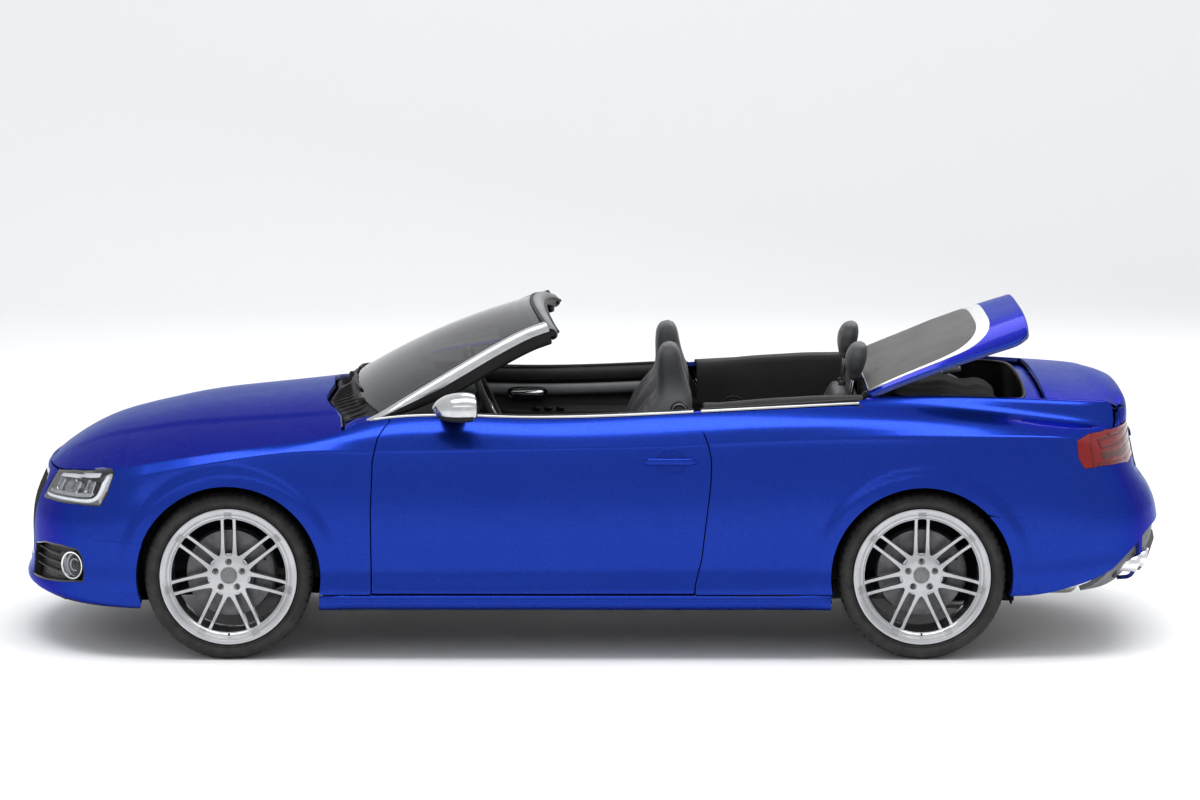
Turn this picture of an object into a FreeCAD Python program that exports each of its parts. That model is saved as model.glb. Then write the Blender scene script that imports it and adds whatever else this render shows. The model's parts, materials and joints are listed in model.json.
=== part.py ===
import FreeCAD, Part
import math, os
from FreeCAD import Vector as V, Placement, Rotation

doc = FreeCAD.newDocument("convertible")
sheet = doc.addObject("Spreadsheet::Sheet", "Sizes")
row = [0]


def size(alias, value):
    """One named size in the sheet, in millimetres or degrees."""
    row[0] += 1
    sheet.set("A%d" % row[0], alias)
    sheet.set("B%d" % row[0], "%.6f" % value)
    sheet.setAlias("B%d" % row[0], alias)
    return value


# ---------------------------------------------------------------- main sizes
for alias, value in (
        ("front_axle_x", -1440), ("rear_axle_x", 1311), ("wheel_z", 333.5), ("tyre_radius", 333.5),
        ("front_wheel_y", 785), ("rear_wheel_y", 778), ("front_tyre_width", 236), ("rear_tyre_width", 256),
        ("rim_flange_radius", 272.5), ("rim_bore_radius", 229), ("bead_radius", 258),
        ("hub_radius", 42), ("stub_radius", 20), ("stub_clearance", 0.05),
        ("disc_radius", 172), ("disc_thickness", 30), ("arch_radius", 366), ("rear_arch_radius", 361),
        ("wheelhouse_radius", 402), ("skin", 14), ("shut_gap", 10),
        ("door_front_x", -871), ("door_rear_x", 474), ("door_inner_y", 742), ("door_sill_z", 268),
        ("door_hinge_x", -824), ("door_hinge_y", 893),
        ("bonnet_rear_x", -1000), ("lid_front_x", 1105), ("lid_rear_x", 1800), ("lid_raise", 22),
        ("lid_hinge_z", 1035), ("boot_front_x", 1815),
        ("steering_wheel_radius", 185), ("steering_rim_radius", 15), ("steering_tilt", 24),
        ("steering_x", -400), ("steering_y", 370), ("steering_z", 925)):
    size(alias, value)
doc.recompute()


def S(alias):
    return float(sheet.get(alias))


# ---------------------------------------------------------------- body table
# Feature lines of the body side: sill edge, skirt, lower flute, lower side,
# mid side, upper side, shoulder crease, bevel, belt. One column per station.
STATION_X = [-1750, -1440, -1150, -880, -300, 300, 900, 1310, 1750]
LINES = [
    # name            half width at each station                    height at each station
    ("sill_edge",    [800, 820, 835, 835, 835, 835, 835, 820, 800], [200, 200, 195, 195, 195, 200, 210, 220, 245]),
    ("skirt",        [868, 888, 892, 893, 895, 895, 895, 888, 868], [205, 200, 200, 200, 200, 205, 215, 225, 250]),
    ("lower_flute",  [888, 908, 909, 910, 912, 912, 912, 908, 888], [270, 260, 255, 255, 255, 258, 262, 270, 300]),
    ("lower_side",   [893, 917, 905, 901, 901, 903, 908, 917, 893], [380, 380, 370, 365, 365, 370, 375, 380, 400]),
    ("mid_side",     [900, 926, 922, 920, 921, 922, 925, 928, 903], [500, 500, 500, 500, 500, 505, 510, 520, 530]),
    ("upper_side",   [893, 926, 921, 918, 919, 920, 924, 928, 895], [640, 680, 690, 690, 690, 695, 700, 700, 700]),
    ("crease",       [860, 902, 902, 899, 900, 902, 905, 905, 870], [745, 805, 840, 838, 845, 858, 881, 889, 888]),
    ("bevel",        [810, 855, 862, 860, 862, 864, 862, 845, 800], [785, 840, 868, 898, 905, 916, 945, 948, 922]),
    ("belt",         [735, 785, 800, 797, 800, 803, 785, 745, 705], [800, 856, 885, 940, 953, 968, 995, 993, 948]),
]
NOSE = [(-2240, 205), (-2320, 240), (-2305, 290), (-2300, 370), (-2300, 460), (-2283, 570), (-2250, 650), (-2225, 695), (-2195, 730)]
TAIL = [(2200, 270), (2270, 300), (2305, 360), (2320, 420), (2312, 500), (2270, 600), (2200, 680), (2165, 850), (2135, 978)]
NOSE_POWER, TAIL_POWER = 2.3, 2.7
BONNET_CROWN = [(-2195, 731), (-2150, 762), (-2027, 833), (-1799, 912), (-1614, 954), (-1366, 987), (-1119, 1012), (-995, 1024)]
DECK_CROWN = [(1100, 1062), (1450, 1074), (1784, 1074), (1969, 1058), (2093, 1036), (2135, 1004), (2150, 985)]


def along(xs, ys, x):
    if x <= xs[0]:
        return ys[0]
    for i in range(len(xs) - 1):
        if x <= xs[i + 1]:
            return ys[i] + (ys[i + 1] - ys[i]) * (x - xs[i]) / (xs[i + 1] - xs[i])
    return ys[-1]


def line_at(k, x):
    """Half width and height of feature line k at station x, nose and tail wraps included."""
    _, ys, zs = LINES[k]
    if x < STATION_X[0]:
        reach = STATION_X[0] - NOSE[k][0]
        f = min((STATION_X[0] - x) / reach, 1.0)
        y = ys[0] * (1 - f ** NOSE_POWER) ** (1 / NOSE_POWER)
        return y, NOSE[k][1] + (zs[0] - NOSE[k][1]) * (y / ys[0]) ** 2.2
    if x > STATION_X[-1]:
        reach = TAIL[k][0] - STATION_X[-1]
        f = min((x - STATION_X[-1]) / reach, 1.0)
        y = ys[-1] * (1 - f ** TAIL_POWER) ** (1 / TAIL_POWER)
        return y, TAIL[k][1] + (zs[-1] - TAIL[k][1]) * (y / ys[-1]) ** 3
    return along(STATION_X, ys, x), along(STATION_X, zs, x)


def wrap_at(k, angle, front=True):
    """Reach and height of feature line k at a plan angle about the wrap's pole, 0 straight ahead."""
    _, ys, zs = LINES[k]
    half, z_side = (ys[0], zs[0]) if front else (ys[-1], zs[-1])
    reach = (STATION_X[0] - NOSE[k][0]) if front else (TAIL[k][0] - STATION_X[-1])
    n = NOSE_POWER if front else TAIL_POWER
    c, s = abs(math.cos(math.radians(angle))), abs(math.sin(math.radians(angle)))
    r = ((c / reach) ** n + (s / half) ** n) ** (-1 / n)
    w = min(r * s / half, 1.0)
    z_mid = NOSE[k][1] if front else TAIL[k][1]
    return r, z_mid + (z_side - z_mid) * w ** (2.2 if front else 3)


def strip(points, t):
    """Closed outline of a wall of thickness t inboard of an open line of (y, z) points."""
    inner = []
    for i, p in enumerate(points):
        a = points[max(i - 1, 0)]
        b = points[min(i + 1, len(points) - 1)]
        dy, dz = b[0] - a[0], b[1] - a[1]
        n = math.hypot(dy, dz)
        inner.append((p[0] - dz / n * t, p[1] + dy / n * t))
    return list(points) + inner[::-1]


def wire_x(x, outline):
    pts = [V(x, y, z) for y, z in outline]
    return Part.makePolygon(pts + pts[:1])


def loft(wires):
    s = Part.makeLoft(wires, True, True)
    if s.Volume < 0:
        s.reverse()
    return s


def mirrored(shape):
    return shape.mirror(V(0, 0, 0), V(0, 1, 0))


def prism_y(points, y0, y1):
    """Side-view outline (x, z) carried from y0 to y1."""
    pts = [V(x, y0, z) for x, z in points]
    return Part.Face(Part.makePolygon(pts + pts[:1])).extrude(V(0, y1 - y0, 0))


def prism_z(points, z0, z1):
    """Plan outline (x, y) carried from z0 to z1."""
    pts = [V(x, y, z0) for x, y in points]
    return Part.Face(Part.makePolygon(pts + pts[:1])).extrude(V(0, 0, z1 - z0))


def block(x0, x1, y0, y1, z0, z1):
    return Part.makeBox(x1 - x0, y1 - y0, z1 - z0, V(x0, y0, z0))


def both(shape):
    return shape, mirrored(shape)


def side_strip(xs, first, last, t, top=None):
    wires = []
    for x in xs:
        pts = [line_at(k, x) for k in range(first, last + 1)]
        if top:
            pts += top(x)
        wires.append(wire_x(x, strip(pts, t)))
    return loft(wires)


parts = {}


def put(label, shape):
    """A sub-part whose free-form shape is set directly."""
    obj = doc.addObject("Part::Feature", "p_" + label)
    obj.Label = label
    if isinstance(shape, (list, tuple)):
        shape = Part.makeCompound([s for one in shape for s in one.Solids])
    obj.Shape = shape
    parts[label] = obj
    return obj


def keep(label, obj):
    obj.Label = label
    parts[label] = obj
    return obj


# ---------------------------------------------------------------- primitives bound to the sheet
AXIS_ROT = {"x": Rotation(V(0, 1, 0), 90), "y": Rotation(V(1, 0, 0), -90), "z": Rotation()}


def bind(obj, prop, alias):
    obj.setExpression(prop, "Sizes.%s" % alias)


def pbox(name, x0, x1, y0, y1, z0, z1):
    obj = doc.addObject("Part::Box", name)
    for prop, tag, value in (("Length", "len", x1 - x0), ("Width", "wid", y1 - y0), ("Height", "hgt", z1 - z0),
                             (".Placement.Base.x", "posx", x0), (".Placement.Base.y", "posy", y0),
                             (".Placement.Base.z", "posz", z0)):
        alias = "%s_%s" % (name, tag)
        size(alias, value)
        bind(obj, prop, alias)
    return obj


def pcyl(name, axis, r, length, x, y, z):
    obj = doc.addObject("Part::Cylinder", name)
    obj.Placement = Placement(V(x, y, z), AXIS_ROT[axis])
    for prop, tag, value in (("Radius", "rad", r), ("Height", "len", length),
                             (".Placement.Base.x", "posx", x), (".Placement.Base.y", "posy", y),
                             (".Placement.Base.z", "posz", z)):
        alias = "%s_%s" % (name, tag)
        size(alias, value)
        bind(obj, prop, alias)
    return obj


def fuse(name, objs):
    obj = doc.addObject("Part::MultiFuse", name)
    obj.Shapes = objs
    obj.Refine = True
    return obj


def cut(name, base, tool):
    obj = doc.addObject("Part::Cut", name)
    obj.Base, obj.Tool = base, tool
    return obj


def group(name, objs):
    obj = doc.addObject("Part::Compound", name)
    obj.Links = objs
    return obj


def rod(a, b, r):
    """A round bar from point a to point b."""
    a, b = V(*a), V(*b)
    return Part.makeCylinder(r, (b - a).Length, a, b - a)


def slab(grid, shift):
    """Closed solid between a grid of points and the same grid moved by one vector, in flat facets."""
    n, m = len(grid), len(grid[0])
    top = [[V(*p) for p in r] for r in grid]
    low = [[p + V(*shift) for p in r] for r in top]
    faces = []

    def tri(a, b, c):
        if (b - a).cross(c - a).Length > 1e-6:
            faces.append(Part.Face(Part.makePolygon([a, b, c, a])))

    def quad(a, b, c, d):
        tri(a, b, c)
        tri(a, c, d)
    for i in range(n - 1):
        for j in range(m - 1):
            for g in (top, low):
                quad(g[i][j], g[i + 1][j], g[i + 1][j + 1], g[i][j + 1])
    for i in range(n - 1):
        for j in (0, m - 1):
            quad(top[i][j], top[i + 1][j], low[i + 1][j], low[i][j])
    for j in range(m - 1):
        for i in (0, n - 1):
            quad(top[i][j], top[i][j + 1], low[i][j + 1], low[i][j])
    shell = Part.makeShell(faces)
    shell.sewShape()
    solid = Part.makeSolid(Part.Shell(shell.Faces))
    if solid.Volume < 0:
        solid.reverse()
    return solid


# ================================================================ body panels
FX, RX, WZ = S("front_axle_x"), S("rear_axle_x"), S("wheel_z")
T, GAP = S("skin"), S("shut_gap")
DFX, DRX = S("door_front_x"), S("door_rear_x")


def arch(x, r, y0=-1100, y1=1100):
    return Part.makeCylinder(r, y1 - y0, V(x, y0, WZ), V(0, 1, 0))


def bonnet_edge(x):
    """Half width and height of the bonnet's side edge."""
    if x >= -1925:
        y7, z7 = line_at(7, x)
        y8, z8 = line_at(8, x)
        f = min(max((x + 1440) / 400.0, 0), 1)
        return y7 + (y8 - y7) * f - 5, z7 + (z8 - z7) * f
    return along([-2190, -2163, -2118, -2041, -1925], [150, 420, 560, 690, 800], x), along([-2190, -2163, -2118, -2041, -1925], [733, 737, 742, 742, 752], x)


def fender_top(x):
    """Last three points of the fender's section, up to the bonnet or, behind it, to the cowl."""
    if x > -985:
        y8, z8 = line_at(8, x)
        return [line_at(7, x), (y8, z8), (y8 - 40, z8 + 6)]
    ye, ze = bonnet_edge(x)
    y6, z6 = line_at(6, x)
    y0, z0 = ye + GAP + 7, ze
    return [(y6 + (y0 - y6) * f, z6 + (z0 - z6) * f + 3 * math.sin(math.pi * f)) for f in (0.45, 0.8, 1.0)]


FENDER_X = [-1925, -1840, -1750, -1640, -1540, -1440, -1340, -1240, -1150, -1060, -990, -984, DFX - GAP]
right = loft([wire_x(x, strip([line_at(k, x) for k in range(0, 7)] + fender_top(x), T)) for x in FENDER_X])
HEADLIGHT = [(-2200, 745), (-1912, 752), (-1895, 730), (-1918, 664), (-1950, 606), (-2058, 600), (-2127, 592), (-2199, 585), (-2240, 640)]
lamp_prism = prism_y(HEADLIGHT, 455, 1000)
right = right.cut([arch(FX, S("arch_radius")), block(-2100, -1700, 0, 1100, 0, 470), block(-2100, -860, 0, 1100, 0, 264),
                   lamp_prism, block(-965, -840, 0, 802, 915, 1000)])
right = max(right.Solids, key=lambda s: s.Volume)
put("front_fenders", both(right))

# bonnet: crowned sheet between its side edges
wires = []
for x in [-2190, -2163, -2118, -2041, -1925, -1800, -1640, -1440, -1240, -1120, -1000]:
    ye, ze = bonnet_edge(x)
    zc = along([p[0] for p in BONNET_CROWN], [p[1] for p in BONNET_CROWN], x)
    zc = max(zc, ze + 1)
    pts = []
    for i in range(-5, 6):
        f = i / 5.0
        y = ye * math.copysign(abs(f) ** 0.85, f)
        pts.append((-y, ze + (zc - ze) * (1 - abs(y / ye) ** 2.6)))
    wires.append(wire_x(x, strip(pts[::-1] if pts[0][0] < pts[-1][0] else pts, T)))
put("bonnet", loft(wires))


def wrap_loft(angles, first, last, t, front=True):
    """Wall round the nose or tail, one section in each upright plane through the wrap's pole."""
    pole = STATION_X[0] if front else STATION_X[-1]
    sign = -1 if front else 1
    wires = []
    for a in angles:
        out = strip([wrap_at(k, a, front) for k in range(first, last + 1)], t)
        c, s = math.cos(math.radians(a)) * sign, math.sin(math.radians(a))
        pts = [V(pole + r * c, r * s, z) for r, z in out]
        wires.append(Part.makePolygon(pts + pts[:1]))
    return loft(wires)


ANGLES = [-90, -78, -66, -54, -42, -28, -12, 12, 28, 42, 54, 66, 78, 90]
nose = wrap_loft(ANGLES, 0, 8, 22)
mouth = block(-2500, -2100, -400, 400, 440, 665)
low_mouth = block(-2500, -2100, -430, 430, 262, 385)
nose_cut = nose.cut([arch(FX, S("arch_radius")), lamp_prism, mirrored(lamp_prism), mouth, low_mouth,
                     block(-1932, -1700, -1100, 1100, 462, 900), block(-2500, -1700, -1100, 1100, 706, 900)])
nose_cut = max(nose_cut.Solids, key=lambda s: s.Volume)
put("front_bumper", nose_cut)
lamp_small = prism_y([(x + (4 if x < -2050 else -4), z + (4 if z < 650 else -4)) for x, z in HEADLIGHT], 459, 1000)
lamps = []
for s in (lamp_small, mirrored(lamp_small)):
    piece = wrap_loft(ANGLES, 3, 8, 70).common(s).cut(block(-2500, -1700, -1100, 1100, 706, 900))
    lamps.append(max(piece.Solids, key=lambda q: q.Volume))
put("headlights", lamps)
grille = [block(-2282, -2262, -396, 396, 444, 661)]
for z in (466, 502, 538, 574, 610, 646):
    grille.append(block(-2290, -2262, -396, 396, z - 4, z + 4))
put("front_grille", grille[0].fuse(grille[1:]).removeSplitter())

# doors: hollow-free thick leaves from the inner trim to the outer skin
door_xs = [DFX, -700, -300, 300, DRX - 60, DRX]
wires = []
for x in door_xs:
    outer = [line_at(k, x) for k in range(2, 9)]
    outline = outer + [(S("door_inner_y"), outer[-1][1] - 6), (S("door_inner_y"), outer[0][1])]
    wires.append(wire_x(x, outline))
door = loft(wires)
DOOR_SIDE = [(DFX, 200), (DFX - 2, 600), (DFX + 6, 800), (DFX + 25, 885), (-818, 925), (-796, 950), (-790, 990), (385, 1010), (424, 930), (462, 860), (474, 800), (472, 720), (455, 567), (436, 404), (410, 256), (408, 200)]
door = door.common(prism_y(DOOR_SIDE, 500, 1100)).cut(block(-2000, 2000, 0, 1100, 0, S("door_sill_z")))
door = max(door.Solids, key=lambda s: s.Volume)
put("right_door", door)
put("left_door", mirrored(door))

# quarter panels
def deck_edge(x):
    return along([1090, 1500, 1800, 2000, 2150], [690, 668, 640, 610, 560], x)


def deck_edge_z(x):
    return along([1090, 1500, 1800, 2000, 2110], [1030, 1032, 1016, 986, 955], x)


def quarter_top(x):
    y8, z8 = line_at(8, x)
    if x < 1095:
        return (y8 - 40, z8 + 3)
    return (deck_edge(x) + 20, max(deck_edge_z(x) - 4, z8 + 4))


QUARTER_X = [404, 560, 700, 900, 1092, 1098, 1200, 1310, 1420, 1530, 1640, 1750, 1850, 1935]
quarter = loft([wire_x(x, strip([line_at(k, x) for k in range(0, 9)] + [quarter_top(x)], T)) for x in QUARTER_X])
door_hole = prism_y([(x - GAP if x < 0 else x + GAP, z) for i, (x, z) in enumerate(DOOR_SIDE)], 500, 1100)
quarter = quarter.cut([arch(RX, S("rear_arch_radius")), door_hole, block(1500, 2100, 0, 1100, 0, 588),
                              block(300, 1200, 0, 1100, 0, 264)])
TAILLIGHT = [(1925, 872), (1977, 890), (2140, 893), (2200, 880), (2204, 745), (2068, 760), (1957, 755), (1930, 800)]
tail_prism = prism_y(TAILLIGHT, 330, 1000)
quarter = quarter.cut(tail_prism)
quarter = max(quarter.Solids, key=lambda s: s.Volume)
put("quarter_panels", both(quarter))

# tail: bumper, lamps and the panel between them
tail = wrap_loft(ANGLES, 0, 8, 22, front=False)
side_low = side_strip([1600, 1680, 1751], 0, 5, 22)
low = tail.fuse([side_low, mirrored(side_low)])
tail_small = prism_y([(x + (3 if x < 2000 else -3), z + (3 if z < 800 else -3)) for x, z in TAILLIGHT], 334, 1000)
low = low.cut([arch(RX, S("rear_arch_radius")), block(1500, 1960, -1100, 1100, 582, 1200), block(1500, 2500, -1100, 1100, 742, 1200),
               block(2100, 2500, -560, 560, 655, 1200), block(1964, 2500, 465, 705, 296, 398), block(1964, 2500, -705, -465, 296, 398)])
low = max(low.Solids, key=lambda s: s.Volume)
put("rear_bumper", low)
lamps = []
for s in (tail_small, mirrored(tail_small)):
    piece = wrap_loft(ANGLES, 3, 8, 60, front=False).common(s).cut(block(2000, 2500, -338, 338, 0, 1200))
    lamps.append(max(piece.Solids, key=lambda q: q.Volume))
put("tail_lights", lamps)

# boot lid: deck sheet and the tail face under its lip
wires = []
for x in [S("boot_front_x"), 1900, 2000, 2080, 2125]:
    ye, ze = deck_edge(x), deck_edge_z(x)
    zc = along([p[0] for p in DECK_CROWN], [p[1] for p in DECK_CROWN], x)
    pts = [(ye * f, ze + (zc - ze) * (1 - abs(f) ** 2.2)) for f in (1, .8, .55, .25, 0, -.25, -.55, -.8, -1)]
    wires.append(wire_x(x, strip(pts, T)))
deck = loft(wires)
face = slab([[(2127, y, along([0, 330, 560], [1003, 985, 958], abs(y)) - 2), (2160, y * .985, 850 if abs(y) < 300 else 898), (2172 - (abs(y) / 560) ** 2 * 30, y * .96, 664 if abs(y) < 320 else 898)]
             for y in (-560, -440, -321, -160, 0, 160, 321, 440, 560)], (-18, 0, 0))
boot = deck.fuse(face.common(block(2000, 2200, -560, 560, 600, 1100)))
boot = max(boot.Solids, key=lambda s: s.Volume)
put("boot_lid", boot)

# roof-compartment lid, drawn shut and then raised about its front edge
wires = []
for x in [S("lid_front_x"), 1250, 1450, 1650, S("lid_rear_x")]:
    ye, ze = deck_edge(x) - 2, deck_edge_z(x)
    zc = along([p[0] for p in DECK_CROWN], [p[1] for p in DECK_CROWN], x)
    pts = [(ye * f, ze + (zc - ze) * (1 - abs(f) ** 2.2)) for f in (1, .8, .55, .25, 0, -.25, -.55, -.8, -1)]
    wires.append(wire_x(x, strip(pts, 24)))
lid = loft(wires)
lid.rotate(V(S("lid_front_x"), 0, S("lid_hinge_z")), V(0, -1, 0), S("lid_raise"))
put("roof_compartment_lid", lid)

# windscreen and its frame
BASE = [(-835, -745, 958), (-905, -560, 988), (-965, -300, 1012), (-985, 0, 1020), (-965, 300, 1012), (-905, 560, 988), (-835, 745, 958)]
HEAD = [(-165, -520, 1240), (-205, -400, 1283), (-245, -210, 1316), (-262, 0, 1328), (-245, 210, 1316), (-205, 400, 1283), (-165, 520, 1240)]
put("windscreen_glass", slab([[b, tuple((b[i] + h[i]) / 2 + (0, 0, 14)[i] for i in range(3)), h] for b, h in zip(BASE, HEAD)], (3, 0, -5)))
pillar_r = slab([[(-945, 690, 940), (-872, 740, 968), (-520, 634, 1108), (-171, 524, 1246)],
                 [(-925, 760, 934), (-845, 796, 960), (-500, 690, 1102), (-150, 566, 1252)]], (20, 0, -14))
header = slab([[(x - 2, y, z + 3), (x + 42, y, z + 9), (x + 88, y, z - 14)] for x, y, z in [(-171, -548, 1240)] + HEAD[1:-1] + [(-171, 548, 1240)]], (4, 0, -30))
cowl = slab([[(x - 4, y, z + 2), (x + 60, y, z - 4)] for x, y, z in [(-915, -712, 962)] + BASE[1:-1] + [(-915, 712, 962)]], (10, 0, -40))
frame = pillar_r.fuse([mirrored(pillar_r), header, cowl]).cut(parts["windscreen_glass"].Shape)
put("windscreen_frame", max(frame.Solids, key=lambda s: s.Volume))

# door mirrors
head = prism_z([(-625, 900), (-600, 872), (-470, 880), (-462, 1000), (-520, 1040), (-605, 1000)], 975, 1088)
foot = block(-575, -520, 800, 905, 962, 990)
mirror_r = head.fuse(foot).removeSplitter().cut(door)
put("right_mirror", max(mirror_r.Solids, key=lambda s: s.Volume))
put("left_mirror", mirrored(parts["right_mirror"].Shape))

# ================================================================ wheels


def plane(body, role):
    return [f for f in body.Origin.OriginFeatures if f.Role == role][0]


def outline_sketch(body, name, role, pts, bound=()):
    """Closed outline whose corners are held by dimensions, those listed in bound by named sizes."""
    sk = body.newObject("Sketcher::SketchObject", name)
    sk.AttachmentSupport = [(plane(body, role), "")]
    sk.MapMode = "FlatFace"
    import Sketcher
    n = len(pts)
    for i in range(n):
        a, b = pts[i], pts[(i + 1) % n]
        sk.addGeometry(Part.LineSegment(V(a[0], a[1], 0), V(b[0], b[1], 0)), False)
    for i in range(n):
        sk.addConstraint(Sketcher.Constraint("Coincident", i, 2, (i + 1) % n, 1))
    for i in range(n):
        cx = sk.addConstraint(Sketcher.Constraint("DistanceX", -1, 1, i, 1, pts[i][0]))
        cy = sk.addConstraint(Sketcher.Constraint("DistanceY", -1, 1, i, 1, pts[i][1]))
        for key, expr in bound:
            if key == (i, "x"):
                sk.setExpression("Constraints[%d]" % cx, expr)
            if key == (i, "y"):
                sk.setExpression("Constraints[%d]" % cy, expr)
    return sk


def revolved(label, pts, bound=()):
    body = doc.addObject("PartDesign::Body", "b_" + label)
    sk = outline_sketch(body, "s_" + label, "XZ_Plane", pts, bound)
    rev = body.newObject("PartDesign::Revolution", "r_" + label)
    rev.Profile = sk
    rev.ReferenceAxis = (sk, ["V_Axis"])
    rev.Angle = 360
    return body


def wheel_place(x, y):
    """Local +Z is the outward axle direction."""
    q = Rotation(V(1, 0, 0), 90 if y < 0 else -90)
    return Placement(V(x, y, WZ), q)


R, RF, RB, BR = S("tyre_radius"), S("rim_flange_radius"), S("rim_bore_radius"), S("bead_radius")
WHEELS = [
    # name          axle x  wheel y                 tyre width alias
    ("front_left", FX, -S("front_wheel_y"), "front_tyre_width"),
    ("front_right", FX, S("front_wheel_y"), "front_tyre_width"),
    ("rear_left", RX, -S("rear_wheel_y"), "rear_tyre_width"),
    ("rear_right", RX, S("rear_wheel_y"), "rear_tyre_width"),
]
for name, x, y, width in WHEELS:
    w = S(width) / 2
    tyre = revolved(name + "_tyre", [(BR, w - 26), (RF, w - 22), (RF + 14, w - 4), (R - 36, w), (R - 16, w - 8), (R - 4, w - 24), (R, w - 46),
                                     (R, 46 - w), (R - 4, 24 - w), (R - 16, 8 - w), (R - 36, -w), (RF + 14, 4 - w), (RF, 22 - w), (BR, 26 - w)],
                    [((6, "x"), "Sizes.tyre_radius"), ((7, "x"), "Sizes.tyre_radius"), ((3, "y"), "Sizes.%s / 2" % width)])
    tyre.Placement = wheel_place(x, y)
    keep(name + "_tyre", tyre)
    rim = revolved(name + "_rim", [(RB, 10 - w), (RF, 10 - w), (RF, 21.5 - w), (BR - .3, 25.5 - w), (BR - .3, w - 25.5), (RF, w - 21.5), (RF, w - 12), (RB + 10, w - 12), (RB, w - 24)],
                   [((1, "x"), "Sizes.rim_flange_radius"), ((2, "x"), "Sizes.rim_flange_radius")])
    spoke = rim.newObject("Sketcher::SketchObject", "sp_" + name)
    spoke.AttachmentSupport = [(plane(rim, "XY_Plane"), "")]
    spoke.MapMode = "FlatFace"
    spoke.AttachmentOffset = Placement(V(0, 0, 56), Rotation())
    for s in (-1, 1):
        c = [V(60, s * 6, 0), V(236, s * 17, 0), V(236, s * 34, 0), V(60, s * 26, 0)]
        for i in range(4):
            spoke.addGeometry(Part.LineSegment(c[i], c[(i + 1) % 4]), False)
    pad = rim.newObject("PartDesign::Pad", "pad_" + name)
    pad.Profile = spoke
    pad.Length = 22
    pattern = rim.newObject("PartDesign::PolarPattern", "pp_" + name)
    pattern.Originals = [pad]
    pattern.Axis = (spoke, ["N_Axis"])
    pattern.Angle = 360
    pattern.Occurrences = 7
    rim.Tip = pattern
    hub = outline_sketch(rim, "h_" + name, "XZ_Plane", [(S("stub_radius") + S("stub_clearance"), 40), (72, 40), (80, 62), (66, 78), (0, 78), (0, 70), (S("stub_radius") + S("stub_clearance"), 70)],
                         [((0, "x"), "Sizes.stub_radius + Sizes.stub_clearance"), ((6, "x"), "Sizes.stub_radius + Sizes.stub_clearance")])
    hubrev = rim.newObject("PartDesign::Revolution", "hr_" + name)
    hubrev.Profile = hub
    hubrev.ReferenceAxis = (hub, ["V_Axis"])
    hubrev.Angle = 360
    rim.Tip = hubrev
    keep(name + "_rim", rim)
    rim.Placement = wheel_place(x, y).multiply(Placement(V(0, 0, 0), Rotation(V(0, 0, 1), 90 if y < 0 else -90)))
    disc = revolved(name + "_brake_disc", [(S("stub_radius") + S("stub_clearance"), 31), (74, 31), (74, -14), (100, -14), (100, -30), (S("disc_radius"), -30), (S("disc_radius"), 0),
                                           (84, 0), (84, 39.8), (S("stub_radius") + S("stub_clearance"), 39.8)],
                    [((5, "x"), "Sizes.disc_radius"), ((6, "x"), "Sizes.disc_radius")])
    disc.Placement = wheel_place(x, y)
    keep(name + "_brake_disc", disc)

# ================================================================ structure on the ground side
# floor_pan: flat floor, tunnel, bulkheads, boot floor and inner wheelhouse walls
FLOOR = [
    # name               x0     x1     y0    y1    z0   z1
    ("floor_plate",      -988,   928, -600,  600, 160, 178),
    ("floor_tunnel",     -988,   558, -110,  110, 179, 330),
    ("floor_firewall",  -1012,  -989, -600,  600, 160, 860),
    ("floor_heel",        560,   590, -600,  600, 179, 400),
    ("floor_under_seat",  591,   925, -600,  600, 380, 400),
    ("floor_seat_back",   926,  1077, -515,  515, 380, 400),
    ("floor_bulkhead",   1078,  1100, -515,  515, 379, 900),
    ("floor_boot",       1101,  2119, -461,  461, 360, 378),
    ("floor_rail_fl",   -2139, -1013, -440, -380, 300, 400),
    ("floor_rail_fr",   -2139, -1013,  380,  440, 300, 400),
    ("floor_tail_beam",  2120,  2160, -461,  461, 360, 560),
    ("floor_side_l",     1101,  2130, -472, -462, 360, 700),
    ("floor_side_r",     1101,  2130,  462,  472, 360, 700),
    ("floor_shelf",      1300,  2100, -472,  472, 701, 715),
]
nose_beam = fuse("nose_beam_all", [pbox("floor_nose_beam", -2200, -2140, -440, 440, 300, 440), pcyl("tow_boss", "x", 18, 45, -2236, 300, 330)])
size("tow_thread_radius", 8)
nose_beam = cut("nose_beam_cut", nose_beam, pcyl("tow_socket", "x", 8, 45, -2240, 300, 330))
keep("floor_pan", group("floor_pan_all", [pbox(*r) for r in FLOOR] + [nose_beam]))
SILLS = [
    ("sill_box_l", -1000, 920, -727, -601, 190, 440), ("sill_box_r", -1000, 920, 601, 727, 190, 440),
]
sill_boxes = group("sill_pair", [pbox(*r) for r in SILLS])
doc.recompute()
wires = []
for x in [-1066, -880, -300, 300, 900, 950]:
    k0, k1, k2 = line_at(0, x), line_at(1, x), line_at(2, x)
    wires.append(wire_x(x, [k0, k1, k2, (k2[0] - 20, k2[1] + 1), (724, k2[1] + 1), (724, k0[1])]))
rocker = loft(wires).cut([arch(FX, S("arch_radius") + 4), arch(RX, S("rear_arch_radius") + 4)])
SILL_PADS = [("front", -930), ("rear", 850)]
sides = []
for sgn, box in zip((-1, 1), sill_boxes.Shape.Solids):
    one = box.fuse([rocker if sgn > 0 else mirrored(rocker)] + [Part.makeCylinder(34, 14, V(x, sgn * 668, 177)) for _, x in SILL_PADS])
    sides.append(max(one.removeSplitter().Solids, key=lambda q: q.Volume))
put("sills", sides)

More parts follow.
